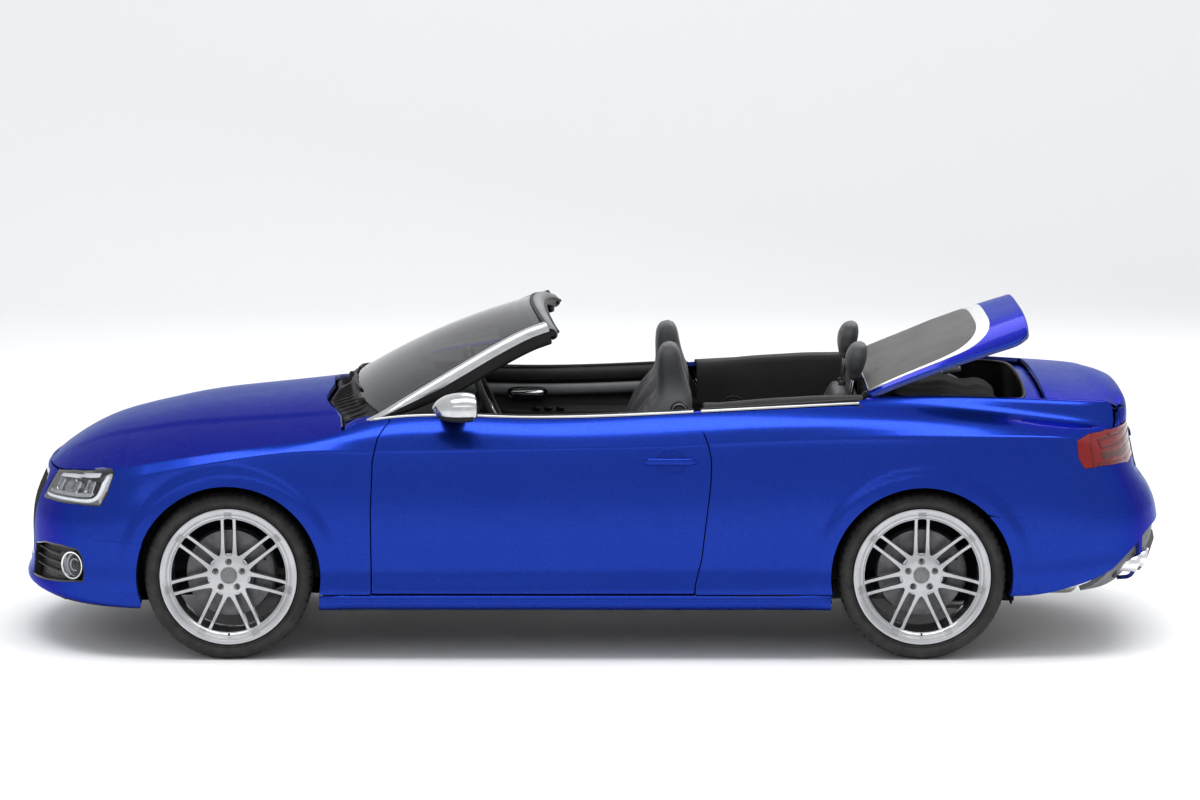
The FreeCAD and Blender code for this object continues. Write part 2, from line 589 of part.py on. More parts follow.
# wheelhouse liners over each wheel, and the thick cabin walls beside the rear seats
liners = []
for x, r, y0, y1 in ((FX, S("wheelhouse_radius"), 470, 876), (RX, 375, 525, 880)):
    ring = Part.makeCylinder(r + 6, y1 - y0, V(x, y0, WZ), V(0, 1, 0)).cut(Part.makeCylinder(r, y1 - y0, V(x, y0, WZ), V(0, 1, 0)))
    ring = ring.cut([block(x - 500, x + 500, 0, 1100, 0, WZ - 20), block(-2000, -1750, 835, 1000, 0, 1000), block(1520, 2000, 850, 1000, 0, 1000)])
    liners += list(both(max(ring.Solids, key=lambda q: q.Volume)))
put("wheel_liners", liners)
wires = []
for x in [505, 700, 900, 1070]:
    o = [(line_at(k, x)[0] - 30, line_at(k, x)[1] - 24) for k in (4, 5, 6, 7, 8)]
    wires.append(wire_x(x, o + [(628, o[-1][1]), (628, o[0][1])]))
wall = loft(wires).cut([arch(RX, 386), block(300, 500, 0, 1100, 0, 1200)])
put("rear_side_panels", both(max(wall.Solids, key=lambda q: q.Volume)))

# ---------------------------------------------------------------- front structure and knuckles
keep("front_subframe", fuse("front_subframe_all", [
    pbox("sub_beam", FX - 60, FX + 60, -430, 430, 190, 250),
    pbox("sub_leg_l", FX - 50, FX + 50, -430, -380, 240, 300),
    pbox("sub_leg_r", FX - 50, FX + 50, 380, 430, 240, 300),
    pbox("arm_low_l", FX - 22, FX + 22, -650, -420, 196, 222),
    pbox("arm_low_r", FX - 22, FX + 22, 420, 650, 196, 222),
    pcyl("rack", "y", 24, 760, FX + 90, -380, 262),
    pbox("rack_mount_l", FX + 50, FX + 100, -330, -280, 215, 262),
    pbox("rack_mount_r", FX + 50, FX + 100, 280, 330, 215, 262)]))


def upright(tag, x, y, side, bracket):
    """Hub carrier with stub axle and brake caliper; side is -1 on the left."""
    def span(v0, v1):
        a, b = y + side * v0, y + side * v1
        return min(a, b), max(a, b)
    y0, y1 = span(-112, -52)
    items = [pcyl(tag + "_hub", "y", 48, 60, x, y0, WZ), pbox(tag + "_leg", x - 24, x + 24, y0, y1, WZ - 150, WZ + 150)]
    s0, s1 = span(-60, 66)
    items.append(pcyl(tag + "_stub", "y", S("stub_radius"), 126, x, s0, WZ))
    c0, c1 = span(-60, 22)
    block_ = pbox(tag + "_calbody", x + 104, x + 186, c0, c1, WZ - 74, WZ + 74)
    d0, d1 = span(-37, 7)
    slot = pbox(tag + "_calslot", x + 60, x + 179, d0, d1, WZ - 90, WZ + 90)
    b0, b1 = span(-60, -46)
    items.append(cut(tag + "_caliper", block_, slot))
    items.append(pbox(tag + "_bracket", x + 10, x + 120, b0, b1, WZ - 40, WZ + 40))
    return items


for name, side in (("left_knuckle", -1), ("right_knuckle", 1)):
    keep(name, fuse(name + "_all", upright(name[0] + "k", FX, side * S("front_wheel_y"), side, 1)))

rear = [pbox("rear_beam", RX - 70, RX + 70, -430, 430, 190, 250), pbox("rear_diff", RX - 130, RX + 90, -120, 120, 225, 352),
        pcyl("rear_shaft", "y", 18, 1400, RX, -700, WZ)]
for side, tag in ((-1, "rl"), (1, "rr")):
    rear += upright(tag, RX, side * S("rear_wheel_y"), side, 1)
    a, b = sorted((side * 420, side * 680))
    rear.append(pbox(tag + "_arm", RX - 25, RX + 25, a, b, 196, 222))
keep("rear_axle", fuse("rear_axle_all", rear))

# ---------------------------------------------------------------- power unit and exhaust
keep("engine_block", pbox("engine_mass", -1750, -1080, -300, 300, 292, 800))
keep("exhaust", fuse("exhaust_all", [
    pcyl("pipe_main", "x", 35, 2560, -1080, 0, 120), pbox("muffler", 1440, 1560, -300, 300, 96, 150),
    pbox("silencer", 1720, 1960, -690, 690, 215, 350), pbox("pipe_drop", 1480, 1740, -60, 60, 100, 300)]
    + [pcyl("tip_%s" % tag, "x", 40, length, 1950, y, 345) for tag, y, length in (("l_in", -522, 270), ("l_out", -645, 235), ("r_in", 522, 270), ("r_out", 645, 235))]))

# ---------------------------------------------------------------- cabin
SEAT_SIDE = [(-470, 300), (-478, 420), (-440, 470), (-60, 430), (60, 440), (222, 960), (262, 1052), (268, 1180), (305, 1203), (352, 1190), (393, 1050), (406, 960), (384, 800), (300, 440), (210, 300)]


def seat_solid(pts, y0, y1, narrow_z, ny0, ny1):
    s = prism_y(pts, y0, y1)
    side_l = block(-3000, 3000, -3000, ny0, narrow_z, 3000)
    side_r = block(-3000, 3000, ny1, 3000, narrow_z, 3000)
    s = s.cut([side_l, side_r])
    return max(s.Solids, key=lambda q: q.Volume)


front_seat = seat_solid(SEAT_SIDE, 127, 595, 1000, 240, 500)
put("front_seats", both(front_seat))
REAR_SIDE = [(600, 402), (590, 470), (640, 520), (860, 480), (900, 500), (1010, 930), (1070, 940), (1072, 500), (1072, 402)]
bench = prism_y(REAR_SIDE, -512, 512)
REAR_HEAD = [(1028, 925), (1066, 925), (1068, 1055), (1092, 1085), (1114, 1120), (1122, 1165), (1108, 1200), (1078, 1205), (1046, 1180), (1032, 1120)]
heads = [prism_y(REAR_HEAD, y - 112, y + 112) for y in (-350, 350)]
rear_seat = bench.fuse(heads).removeSplitter()
put("rear_seats", rear_seat)
DASH_SIDE = [(-984, 640), (-984, 860), (-900, 908), (-830, 912), (-796, 946), (-700, 950), (-560, 905), (-540, 860), (-590, 760), (-640, 640)]
dash = prism_y(DASH_SIDE, -725, 725)
put("dashboard", dash)
CONSOLE = [(-880, 332), (-640, 635), (-560, 600), (-380, 520), (280, 520), (300, 332)]
put("centre_console", prism_y(CONSOLE, -108, 108))

# steering wheel and its column
tilt = math.radians(S("steering_tilt"))
SC = V(S("steering_x"), -S("steering_y"), S("steering_z"))
SD = V(math.cos(tilt), 0, math.sin(tilt))
rim_t = Part.makeTorus(S("steering_wheel_radius") - S("steering_rim_radius"), S("steering_rim_radius"), V(0, 0, 0), V(0, 0, 1))
pad_c = Part.makeCylinder(62, 44, V(0, 0, -40))
bars = [Part.makeBox(118, 40, 14, V(50, -20, -12)), Part.makeBox(118, 40, 14, V(-168, -20, -12)), Part.makeBox(34, 118, 14, V(-17, -168, -12))]
sw = rim_t.fuse([pad_c] + bars)
# local +Z looks back at the driver, local -Y is down along the wheel's face
place = Placement(SC, Rotation(V(0, 1, 0), V(SD.z, 0, -SD.x) * -1, SD, "ZYX"))
sw.Placement = place
put("steering_wheel", max(sw.Solids, key=lambda q: q.Volume))
col_a = SC - SD * 46
col_b = SC - SD * 200
put("steering_column", rod(tuple(col_b), tuple(col_a), 34).cut(dash))

# folded top in its compartment
TOP = [(1150, 740), (1140, 930), (1200, 985), (1500, 1000), (1720, 960), (1760, 900), (1760, 740)]
put("folded_soft_top", prism_y(TOP, -570, 570))

# ---------------------------------------------------------------- write
doc.recompute()
bad = []
for obj in doc.Objects:
    if any(s in ("Invalid", "Error") for s in obj.State):
        bad.append("%s %s" % (obj.Name, obj.State))
for label, obj in parts.items():
    shp = obj.Shape
    if shp.isNull() or not shp.isValid() or shp.Volume <= 0:
        bad.append("%s null %s valid %s" % (label, shp.isNull(), (not shp.isNull()) and shp.isValid()))
for b in bad:
    print("BAD", b)
if bad:
    raise RuntimeError("failed objects")
os.makedirs("parts", exist_ok=True)
for label, obj in sorted(parts.items()):
    obj.Shape.exportStep("parts/%s.step" % label)
    bb = obj.Shape.BoundBox
    print("%-26s solids %d  faces %4d  x %7.1f %7.1f  y %7.1f %7.1f  z %7.1f %7.1f" % (
        label, len(obj.Shape.Solids), len(obj.Shape.Faces), bb.XMin, bb.XMax, bb.YMin, bb.YMax, bb.ZMin, bb.ZMax))
print("nodes", len(parts))
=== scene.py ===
import sys
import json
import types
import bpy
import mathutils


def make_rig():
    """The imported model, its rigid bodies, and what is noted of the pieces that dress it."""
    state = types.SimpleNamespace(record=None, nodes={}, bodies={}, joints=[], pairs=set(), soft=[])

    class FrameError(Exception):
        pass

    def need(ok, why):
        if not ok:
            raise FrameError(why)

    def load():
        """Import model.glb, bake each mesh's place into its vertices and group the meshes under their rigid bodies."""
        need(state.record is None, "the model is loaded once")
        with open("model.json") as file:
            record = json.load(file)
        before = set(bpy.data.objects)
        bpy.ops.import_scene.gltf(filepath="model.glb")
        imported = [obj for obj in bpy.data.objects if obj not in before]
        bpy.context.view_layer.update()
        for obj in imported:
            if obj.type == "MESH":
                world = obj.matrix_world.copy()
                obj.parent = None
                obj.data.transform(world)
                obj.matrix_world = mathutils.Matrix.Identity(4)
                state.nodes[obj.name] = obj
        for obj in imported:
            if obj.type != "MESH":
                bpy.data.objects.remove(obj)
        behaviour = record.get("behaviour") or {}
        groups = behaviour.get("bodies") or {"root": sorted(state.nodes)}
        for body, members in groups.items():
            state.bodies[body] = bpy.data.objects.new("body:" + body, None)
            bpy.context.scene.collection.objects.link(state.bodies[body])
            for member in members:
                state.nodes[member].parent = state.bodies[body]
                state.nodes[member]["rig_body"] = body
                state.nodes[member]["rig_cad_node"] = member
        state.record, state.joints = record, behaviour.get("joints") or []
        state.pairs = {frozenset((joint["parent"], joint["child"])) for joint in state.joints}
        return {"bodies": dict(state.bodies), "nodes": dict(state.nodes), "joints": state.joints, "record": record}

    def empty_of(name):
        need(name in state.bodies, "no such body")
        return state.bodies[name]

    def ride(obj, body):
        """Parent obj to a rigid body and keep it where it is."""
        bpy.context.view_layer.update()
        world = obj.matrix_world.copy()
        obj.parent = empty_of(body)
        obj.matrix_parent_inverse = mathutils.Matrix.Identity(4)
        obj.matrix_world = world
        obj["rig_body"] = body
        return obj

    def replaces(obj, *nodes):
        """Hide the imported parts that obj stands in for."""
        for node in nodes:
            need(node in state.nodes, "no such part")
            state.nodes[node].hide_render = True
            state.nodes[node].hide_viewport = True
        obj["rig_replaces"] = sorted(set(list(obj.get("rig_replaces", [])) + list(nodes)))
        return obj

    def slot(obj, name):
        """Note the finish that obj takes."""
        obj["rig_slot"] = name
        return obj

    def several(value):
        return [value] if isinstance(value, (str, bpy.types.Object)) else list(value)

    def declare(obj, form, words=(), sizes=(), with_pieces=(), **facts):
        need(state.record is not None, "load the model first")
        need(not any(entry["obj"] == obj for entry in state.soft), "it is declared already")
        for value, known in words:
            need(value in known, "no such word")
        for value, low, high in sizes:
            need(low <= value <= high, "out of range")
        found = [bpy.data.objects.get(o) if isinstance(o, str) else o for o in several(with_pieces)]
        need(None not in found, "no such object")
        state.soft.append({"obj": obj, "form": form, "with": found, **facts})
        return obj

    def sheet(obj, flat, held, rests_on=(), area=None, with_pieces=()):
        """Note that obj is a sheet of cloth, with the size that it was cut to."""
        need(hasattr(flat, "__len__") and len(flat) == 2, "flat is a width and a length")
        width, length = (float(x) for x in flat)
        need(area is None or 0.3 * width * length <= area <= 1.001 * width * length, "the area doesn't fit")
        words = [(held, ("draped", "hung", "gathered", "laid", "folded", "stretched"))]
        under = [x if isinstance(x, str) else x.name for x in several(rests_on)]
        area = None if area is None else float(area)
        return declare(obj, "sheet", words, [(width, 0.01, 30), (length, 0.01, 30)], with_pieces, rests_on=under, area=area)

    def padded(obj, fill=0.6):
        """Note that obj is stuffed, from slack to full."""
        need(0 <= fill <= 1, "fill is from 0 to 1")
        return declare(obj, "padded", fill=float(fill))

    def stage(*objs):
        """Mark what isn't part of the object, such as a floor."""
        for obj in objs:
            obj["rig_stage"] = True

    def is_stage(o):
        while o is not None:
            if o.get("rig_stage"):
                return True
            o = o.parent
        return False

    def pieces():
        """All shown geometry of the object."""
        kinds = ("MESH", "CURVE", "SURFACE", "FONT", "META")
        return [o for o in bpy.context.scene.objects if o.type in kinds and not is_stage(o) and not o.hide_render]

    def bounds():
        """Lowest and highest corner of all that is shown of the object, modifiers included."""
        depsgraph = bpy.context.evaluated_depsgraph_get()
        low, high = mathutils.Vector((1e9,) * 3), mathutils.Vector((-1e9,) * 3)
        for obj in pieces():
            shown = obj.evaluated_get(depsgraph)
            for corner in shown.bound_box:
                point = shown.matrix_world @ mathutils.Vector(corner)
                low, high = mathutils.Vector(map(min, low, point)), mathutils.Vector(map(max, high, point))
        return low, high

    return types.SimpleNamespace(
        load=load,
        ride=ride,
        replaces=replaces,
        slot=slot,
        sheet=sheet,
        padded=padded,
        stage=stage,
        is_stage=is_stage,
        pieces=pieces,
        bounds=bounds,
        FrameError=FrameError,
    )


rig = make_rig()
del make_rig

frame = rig.load()
CAD_LO, CAD_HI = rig.bounds()

import json
import math
import time
import bpy
import bmesh
import numpy as np
from mathutils import Vector, Matrix, Quaternion
from mathutils.geometry import delaunay_2d_cdt
from mathutils.bvhtree import BVHTree

scene = bpy.context.scene
NODES = {o.name for o in bpy.data.objects if o.type == "MESH"}
RNG = np.random.default_rng(7)

# ------------------------------------------------------------------ node helpers


class Mat:
    """One procedural material, its nodes made by short calls."""

    def __init__(self, name):
        self.m = bpy.data.materials.new(name)
        self.m.use_nodes = True
        self.t = self.m.node_tree
        self.b = self.t.nodes["Principled BSDF"]
        self.out = self.t.nodes["Material Output"]

    def node(self, kind, **props):
        n = self.t.nodes.new(kind)
        for k, v in props.items():
            if k.startswith("in_"):
                n.inputs[k[3:].replace("_", " ")].default_value = v
            else:
                setattr(n, k, v)
        return n

    def link(self, a, b):
        self.t.links.new(a, b)

    def set(self, **kw):
        for k, v in kw.items():
            key = {"base": "Base Color", "rough": "Roughness", "metal": "Metallic", "coat": "Coat Weight", "coat_rough": "Coat Roughness",
                   "sheen": "Sheen Weight", "sheen_rough": "Sheen Roughness", "spec": "Specular IOR Level", "ior": "IOR", "trans": "Transmission Weight",
                   "alpha": "Alpha", "emit": "Emission Strength", "emit_color": "Emission Color", "aniso": "Anisotropic", "sss": "Subsurface Weight"}[k]
            if isinstance(v, tuple) and len(v) == 3:
                v = (*v, 1.0)
            self.b.inputs[key].default_value = v
        return self

    def coords(self, scale=(1, 1, 1), rot=(0, 0, 0), kind="Object"):
        tc = self.node("ShaderNodeTexCoord")
        mp = self.node("ShaderNodeMapping")
        mp.inputs["Scale"].default_value = scale
        mp.inputs["Rotation"].default_value = rot
        self.link(tc.outputs[kind], mp.inputs["Vector"])
        return mp.outputs["Vector"]

    def noise(self, vec, scale, detail=2.0, rough=0.5, distort=0.0):
        n = self.node("ShaderNodeTexNoise")
        n.inputs["Scale"].default_value = scale
        n.inputs["Detail"].default_value = detail
        n.inputs["Roughness"].default_value = rough
        n.inputs["Distortion"].default_value = distort
        self.link(vec, n.inputs["Vector"])
        return n

    def voronoi(self, vec, scale, feature="F1", rand=1.0, out="Distance"):
        n = self.node("ShaderNodeTexVoronoi", feature=feature)
        n.inputs["Scale"].default_value = scale
        n.inputs["Randomness"].default_value = rand
        self.link(vec, n.inputs["Vector"])
        return n

    def ramp(self, src, stops, interp="LINEAR"):
        r = self.node("ShaderNodeValToRGB")
        r.color_ramp.interpolation = interp
        el = r.color_ramp.elements
        while len(el) > 1:
            el.remove(el[-1])
        el[0].position, el[0].color = stops[0][0], (*stops[0][1], 1) if len(stops[0][1]) == 3 else stops[0][1]
        for p, c in stops[1:]:
            e = el.new(p)
            e.color = (*c, 1) if len(c) == 3 else c
        self.link(src, r.inputs["Fac"])
        return r.outputs["Color"]

    def grey(self, src, a, b, lo=0.0, hi=1.0):
        n = self.node("ShaderNodeMapRange")
        n.inputs["From Min"].default_value = lo
        n.inputs["From Max"].default_value = hi
        n.inputs["To Min"].default_value = a
        n.inputs["To Max"].default_value = b
        self.link(src, n.inputs["Value"])
        return n.outputs["Result"]

    def math(self, op, a, b=None, c=None):
        n = self.node("ShaderNodeMath", operation=op)
        for i, v in enumerate((a, b, c)):
            if v is None:
                continue
            if isinstance(v, (int, float)):
                n.inputs[i].default_value = v
            else:
                self.link(v, n.inputs[i])
        return n.outputs[0]

    def mix(self, fac, a, b):
        n = self.node("ShaderNodeMix", data_type="RGBA")
        for key, v in (("Factor", fac), ("A", a), ("B", b)):
            sock = [s for s in n.inputs if s.name == key and (s.type == ("VALUE" if key == "Factor" else "RGBA"))][0]
            if isinstance(v, (int, float)):
                sock.default_value = v
            elif isinstance(v, tuple):
                sock.default_value = (*v, 1) if len(v) == 3 else v
            else:
                self.link(v, sock)
        return [s for s in n.outputs if s.type == "RGBA"][0]

    def bump(self, height, strength=0.3, dist=0.001, normal=None):
        n = self.node("ShaderNodeBump")
        n.inputs["Strength"].default_value = strength
        n.inputs["Distance"].default_value = dist
        self.link(height, n.inputs["Height"])
        if normal is not None:
            self.link(normal, n.inputs["Normal"])
        self.link(n.outputs["Normal"], self.b.inputs["Normal"])
        return n.outputs["Normal"]


M = {}


def mat(name):
    m = Mat(name)
    M[name] = m.m
    return m

# ------------------------------------------------------------------ materials
# metallic paint: fine flake under a smooth clear coat
p = mat("cobalt_paint").set(metal=0.90, rough=0.34, coat=0.14, coat_rough=0.03, spec=0.10)
p.b.inputs["Coat IOR"].default_value = 1.36
p.b.inputs["Specular Tint"].default_value = (0.05, 0.20, 0.66, 1)
v = p.coords()
flake = p.voronoi(v, 1400.0)
tone = p.ramp(flake.outputs["Color"], [(0.0, (0.004, 0.018, 0.18)), (0.45, (0.008, 0.029, 0.28)), (0.8, (0.014, 0.045, 0.37)), (1.0, (0.04, 0.10, 0.52))])
wide = p.noise(v, 3.0, 3.0)
p.link(p.mix(p.grey(wide.outputs["Fac"], 0.0, 0.12, 0.35, 0.7), tone, (0.004, 0.020, 0.26)), p.b.inputs["Base Color"])
p.link(p.grey(p.noise(v, 9.0, 4.0).outputs["Fac"], 0.25, 0.30), p.b.inputs["Roughness"])
peel = p.noise(v, 260.0, 2.0)
p.bump(p.math("ADD", p.math("MULTIPLY", flake.outputs["Distance"], 0.25), peel.outputs["Fac"]), 0.035, 0.0006)

p = mat("jamb_paint").set(metal=0.45, rough=0.42, coat=0.5, coat_rough=0.12)
v = p.coords()
p.link(p.mix(p.grey(p.noise(v, 30, 4).outputs["Fac"], 0, 1, 0.35, 0.7), (0.004, 0.018, 0.17), (0.006, 0.026, 0.24)), p.b.inputs["Base Color"])
p.bump(p.noise(v, 400, 2).outputs["Fac"], 0.05, 0.0005)

def plastic(name, base, rough, grain=900.0, strength=0.25, dist=0.0003, coat=0.0, var=0.35):
    p = mat(name).set(rough=rough, coat=coat, coat_rough=0.08, spec=0.22)
    v = p.coords()
    n = p.noise(v, 7.0, 5.0)
    dark = tuple(c * (1 - var) for c in base)
    p.link(p.mix(p.grey(n.outputs["Fac"], 0, 1, 0.3, 0.7), dark, base), p.b.inputs["Base Color"])
    p.link(p.grey(p.noise(v, 60, 3).outputs["Fac"], max(rough - 0.06, 0.02), rough + 0.06), p.b.inputs["Roughness"])
    if strength:
        cell = p.voronoi(v, grain, "DISTANCE_TO_EDGE")
        p.bump(p.grey(cell.outputs["Distance"], 0, 1, 0.0, 0.12), strength, dist)
    return p


plastic("black_gloss", (0.008, 0.008, 0.009), 0.12, strength=0.0, coat=0.3)
plastic("black_plastic", (0.012, 0.012, 0.013), 0.55, 700)
plastic("grey_plastic", (0.16, 0.165, 0.17), 0.5, 600, 0.2)
plastic("lid_grey", (0.075, 0.073, 0.071), 0.6, 500, 0.25)
plastic("cabin_soft", (0.012, 0.012, 0.013), 0.62, 420, 0.5, 0.0006)
plastic("carpet", (0.018, 0.018, 0.019), 0.95, 900, 1.0, 0.002)
plastic("underseal", (0.030, 0.033, 0.040), 0.8, 160, 0.7, 0.002)
plastic("liner_felt", (0.014, 0.014, 0.015), 0.95, 500, 0.9, 0.0015)
plastic("seal_rubber", (0.010, 0.010, 0.010), 0.6, 1200, 0.15)
plastic("plate_white", (0.72, 0.72, 0.70), 0.35, 1500, 0.03)
plastic("button_ink", (0.35, 0.35, 0.36), 0.5, 1500, 0.03)

p = mat("tyre_rubber").set(rough=0.72, spec=0.35)
v = p.coords()
dust = p.noise(v, 18.0, 6.0, 0.62)
p.link(p.mix(p.grey(dust.outputs["Fac"], 0, 0.75, 0.42, 0.72), (0.014, 0.014, 0.014), (0.042, 0.040, 0.038)), p.b.inputs["Base Color"])
p.link(p.grey(p.noise(v, 40, 5).outputs["Fac"], 0.6, 0.85), p.b.inputs["Roughness"])
p.bump(p.noise(v, 900, 3).outputs["Fac"], 0.25, 0.0006)

p = mat("alloy_silver").set(metal=0.9, rough=0.28, coat=0.7, coat_rough=0.06)
v = p.coords()
p.link(p.mix(p.grey(p.noise(v, 12, 4).outputs["Fac"], 0, 1, 0.35, 0.7), (0.42, 0.425, 0.44), (0.50, 0.505, 0.52)), p.b.inputs["Base Color"])
p.link(p.grey(p.noise(v, 30, 4).outputs["Fac"], 0.24, 0.34), p.b.inputs["Roughness"])
p.bump(p.voronoi(v, 1800).outputs["Distance"], 0.05, 0.0003)

p = mat("satin_alu").set(metal=0.95, rough=0.30, coat=0.25, coat_rough=0.15)
v = p.coords(scale=(1, 8, 8))
p.link(p.mix(p.grey(p.noise(v, 6, 4).outputs["Fac"], 0, 1, 0.35, 0.7), (0.45, 0.455, 0.465), (0.54, 0.545, 0.555)), p.b.inputs["Base Color"])
p.link(p.grey(p.noise(v, 40, 3).outputs["Fac"], 0.26, 0.36), p.b.inputs["Roughness"])
p.bump(p.noise(v, 300, 2).outputs["Fac"], 0.05, 0.0004)

p = mat("chrome").set(metal=1.0, rough=0.06)
v = p.coords()
p.link(p.mix(p.grey(p.noise(v, 20, 3).outputs["Fac"], 0, 1, 0.3, 0.7), (0.80, 0.81, 0.83), (0.90, 0.90, 0.91)), p.b.inputs["Base Color"])
p.link(p.grey(p.noise(v, 25, 5).outputs["Fac"], 0.03, 0.11, 0.3, 0.7), p.b.inputs["Roughness"])

p = mat("disc_steel").set(metal=0.9, rough=0.35)
v = p.coords()
p.link(p.mix(p.grey(p.noise(v, 25, 5).outputs["Fac"], 0, 1, 0.35, 0.7), (0.09, 0.09, 0.095), (0.15, 0.15, 0.155)), p.b.inputs["Base Color"])
p.link(p.grey(p.noise(v, 150, 4).outputs["Fac"], 0.28, 0.5), p.b.inputs["Roughness"])
p.bump(p.noise(v, 700, 2).outputs["Fac"], 0.15, 0.0004)

p = mat("cast_dark").set(metal=0.7, rough=0.62)
v = p.coords()
p.link(p.mix(p.grey(p.noise(v, 14, 6).outputs["Fac"], 0, 1, 0.35, 0.7), (0.05, 0.05, 0.052), (0.13, 0.13, 0.13)), p.b.inputs["Base Color"])
p.bump(p.noise(v, 350, 4).outputs["Fac"], 0.6, 0.0012)

p = mat("bright_steel").set(metal=1.0, rough=0.3, aniso=0.4)
v = p.coords(scale=(1, 20, 20))
p.link(p.mix(p.grey(p.noise(v, 5, 5).outputs["Fac"], 0, 1, 0.35, 0.7), (0.36, 0.35, 0.34), (0.58, 0.57, 0.55)), p.b.inputs["Base Color"])
p.link(p.grey(p.noise(v, 20, 4).outputs["Fac"], 0.22, 0.45), p.b.inputs["Roughness"])
p.bump(p.noise(v, 200, 2).outputs["Fac"], 0.08, 0.0004)

p = mat("mirror_face").set(metal=1.0, rough=0.02)
v = p.coords()
p.link(p.mix(p.grey(p.noise(v, 40, 3).outputs["Fac"], 0, 1, 0.3, 0.7), (0.70, 0.73, 0.76), (0.76, 0.78, 0.80)), p.b.inputs["Base Color"])

def leather(name, base, lit):
    p = mat(name).set(rough=0.48, sheen=0.04, spec=0.20)
    v = p.coords()
    p.link(p.mix(p.grey(p.noise(v, 10, 6).outputs["Fac"], 0, 1, 0.35, 0.7), base, lit), p.b.inputs["Base Color"])
    p.link(p.grey(p.noise(v, 55, 4).outputs["Fac"], 0.38, 0.55), p.b.inputs["Roughness"])
    grain = p.voronoi(v, 420, "DISTANCE_TO_EDGE")
    wrinkle = p.noise(v, 45, 5, 0.6, 0.4)
    h = p.math("ADD", p.grey(grain.outputs["Distance"], 0, 1, 0, 0.16), p.math("MULTIPLY", wrinkle.outputs["Fac"], 1.4))
    p.bump(h, 0.35, 0.0009)
    return p


leather("black_leather", (0.008, 0.008, 0.009), (0.017, 0.017, 0.018))
leather("grey_leather", (0.026, 0.027, 0.030), (0.044, 0.045, 0.049))
p = mat("stitch_thread").set(rough=0.8, sheen=0.3)
v = p.coords()
p.link(p.mix(p.grey(p.noise(v, 500, 2).outputs["Fac"], 0, 1, 0.3, 0.7), (0.10, 0.10, 0.11), (0.2, 0.2, 0.21)), p.b.inputs["Base Color"])

# woven roof cloth
p = mat("roof_cloth").set(rough=0.9, sheen=0.12, sheen_rough=0.5, spec=0.2)
v = p.coords()
w1 = p.node("ShaderNodeTexWave", wave_type="BANDS", bands_direction="X")
w1.inputs["Scale"].default_value = 190
w2 = p.node("ShaderNodeTexWave", wave_type="BANDS", bands_direction="Y")
w2.inputs["Scale"].default_value = 190
p.link(v, w1.inputs["Vector"]); p.link(v, w2.inputs["Vector"])
weave = p.math("MULTIPLY", w1.outputs["Fac"], w2.outputs["Fac"])
p.link(p.mix(weave, (0.010, 0.010, 0.012), (0.030, 0.031, 0.036)), p.b.inputs["Base Color"])
p.bump(p.math("ADD", weave, p.math("MULTIPLY", p.noise(v, 14, 4).outputs["Fac"], 2.5)), 0.5, 0.0012)

def glass(name, tint, rough=0.01, trans=1.0, alpha=1.0, ior=1.45):
    p = mat(name).set(base=tint, rough=rough, trans=trans, ior=ior, alpha=alpha)
    v = p.coords()
    p.link(p.grey(p.noise(v, 6, 3).outputs["Fac"], rough, rough + 0.012, 0.3, 0.7), p.b.inputs["Roughness"])
    p.bump(p.noise(v, 2.0, 2).outputs["Fac"], 0.02, 0.0008)
    return p


glass("screen_glass", (0.80, 0.88, 0.87))
glass("lamp_clear", (0.95, 0.97, 1.0))
glass("lens_red", (0.20, 0.001, 0.002), 0.02, 0.55)
glass("lens_smoke", (0.14, 0.03, 0.03), 0.02, 0.5)
p = mat("red_lamp").set(rough=0.22, coat=0.35, coat_rough=0.03, spec=0.2, base=(0.32, 0.004, 0.008))
v = p.coords(scale=(1, 1, 1))
wv = p.node("ShaderNodeTexWave", wave_type="BANDS", bands_direction="Z")
wv.inputs["Scale"].default_value = 60
p.link(v, wv.inputs["Vector"])
p.link(p.mix(wv.outputs["Fac"], (0.13, 0.001, 0.002), (0.24, 0.002, 0.003)), p.b.inputs["Base Color"])
p.bump(wv.outputs["Fac"], 0.3, 0.001)
p = mat("amber_lamp").set(rough=0.25, coat=1.0, coat_rough=0.03)
v = p.coords()
p.link(p.mix(p.grey(p.noise(v, 120, 2).outputs["Fac"], 0, 1, 0.3, 0.7), (0.5, 0.16, 0.02), (0.66, 0.26, 0.04)), p.b.inputs["Base Color"])
p = mat("lamp_white").set(rough=0.2, coat=0.6)
v = p.coords()
p.link(p.mix(p.grey(p.noise(v, 200, 2).outputs["Fac"], 0, 1, 0.3, 0.7), (0.62, 0.66, 0.70), (0.82, 0.85, 0.88)), p.b.inputs["Base Color"])
p = mat("dial_face").set(rough=0.35, coat=0.5)
v = p.coords()
p.link(p.mix(p.grey(p.noise(v, 80, 3).outputs["Fac"], 0, 1, 0.3, 0.7), (0.008, 0.008, 0.01), (0.016, 0.016, 0.018)), p.b.inputs["Base Color"])

# mesh grilles are one sheet with a deep honeycomb bump; the cell middles are painted near-black, painted shade standing
# for the open holes, with lighter dark-grey walls between
p = mat("honeycomb").set(rough=0.4)
v = p.coords()
cell = p.voronoi(v, 70, "DISTANCE_TO_EDGE", 0.0)
wall = p.grey(cell.outputs["Distance"], 1, 0, 0.03, 0.14)
p.link(p.mix(wall, (0.002, 0.002, 0.002), (0.030, 0.030, 0.032)), p.b.inputs["Base Color"])
p.bump(wall, 1.0, 0.004)

# ------------------------------------------------------------------ mesh helpers


def finish_piece(o, body, slot, replaces=(), mats=()):
    for m in mats:
        o.data.materials.append(M[m] if isinstance(m, str) else m)
    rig.ride(o, body)
    if slot:
        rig.slot(o, slot)
    if replaces:
        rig.replaces(o, *replaces)
    return o


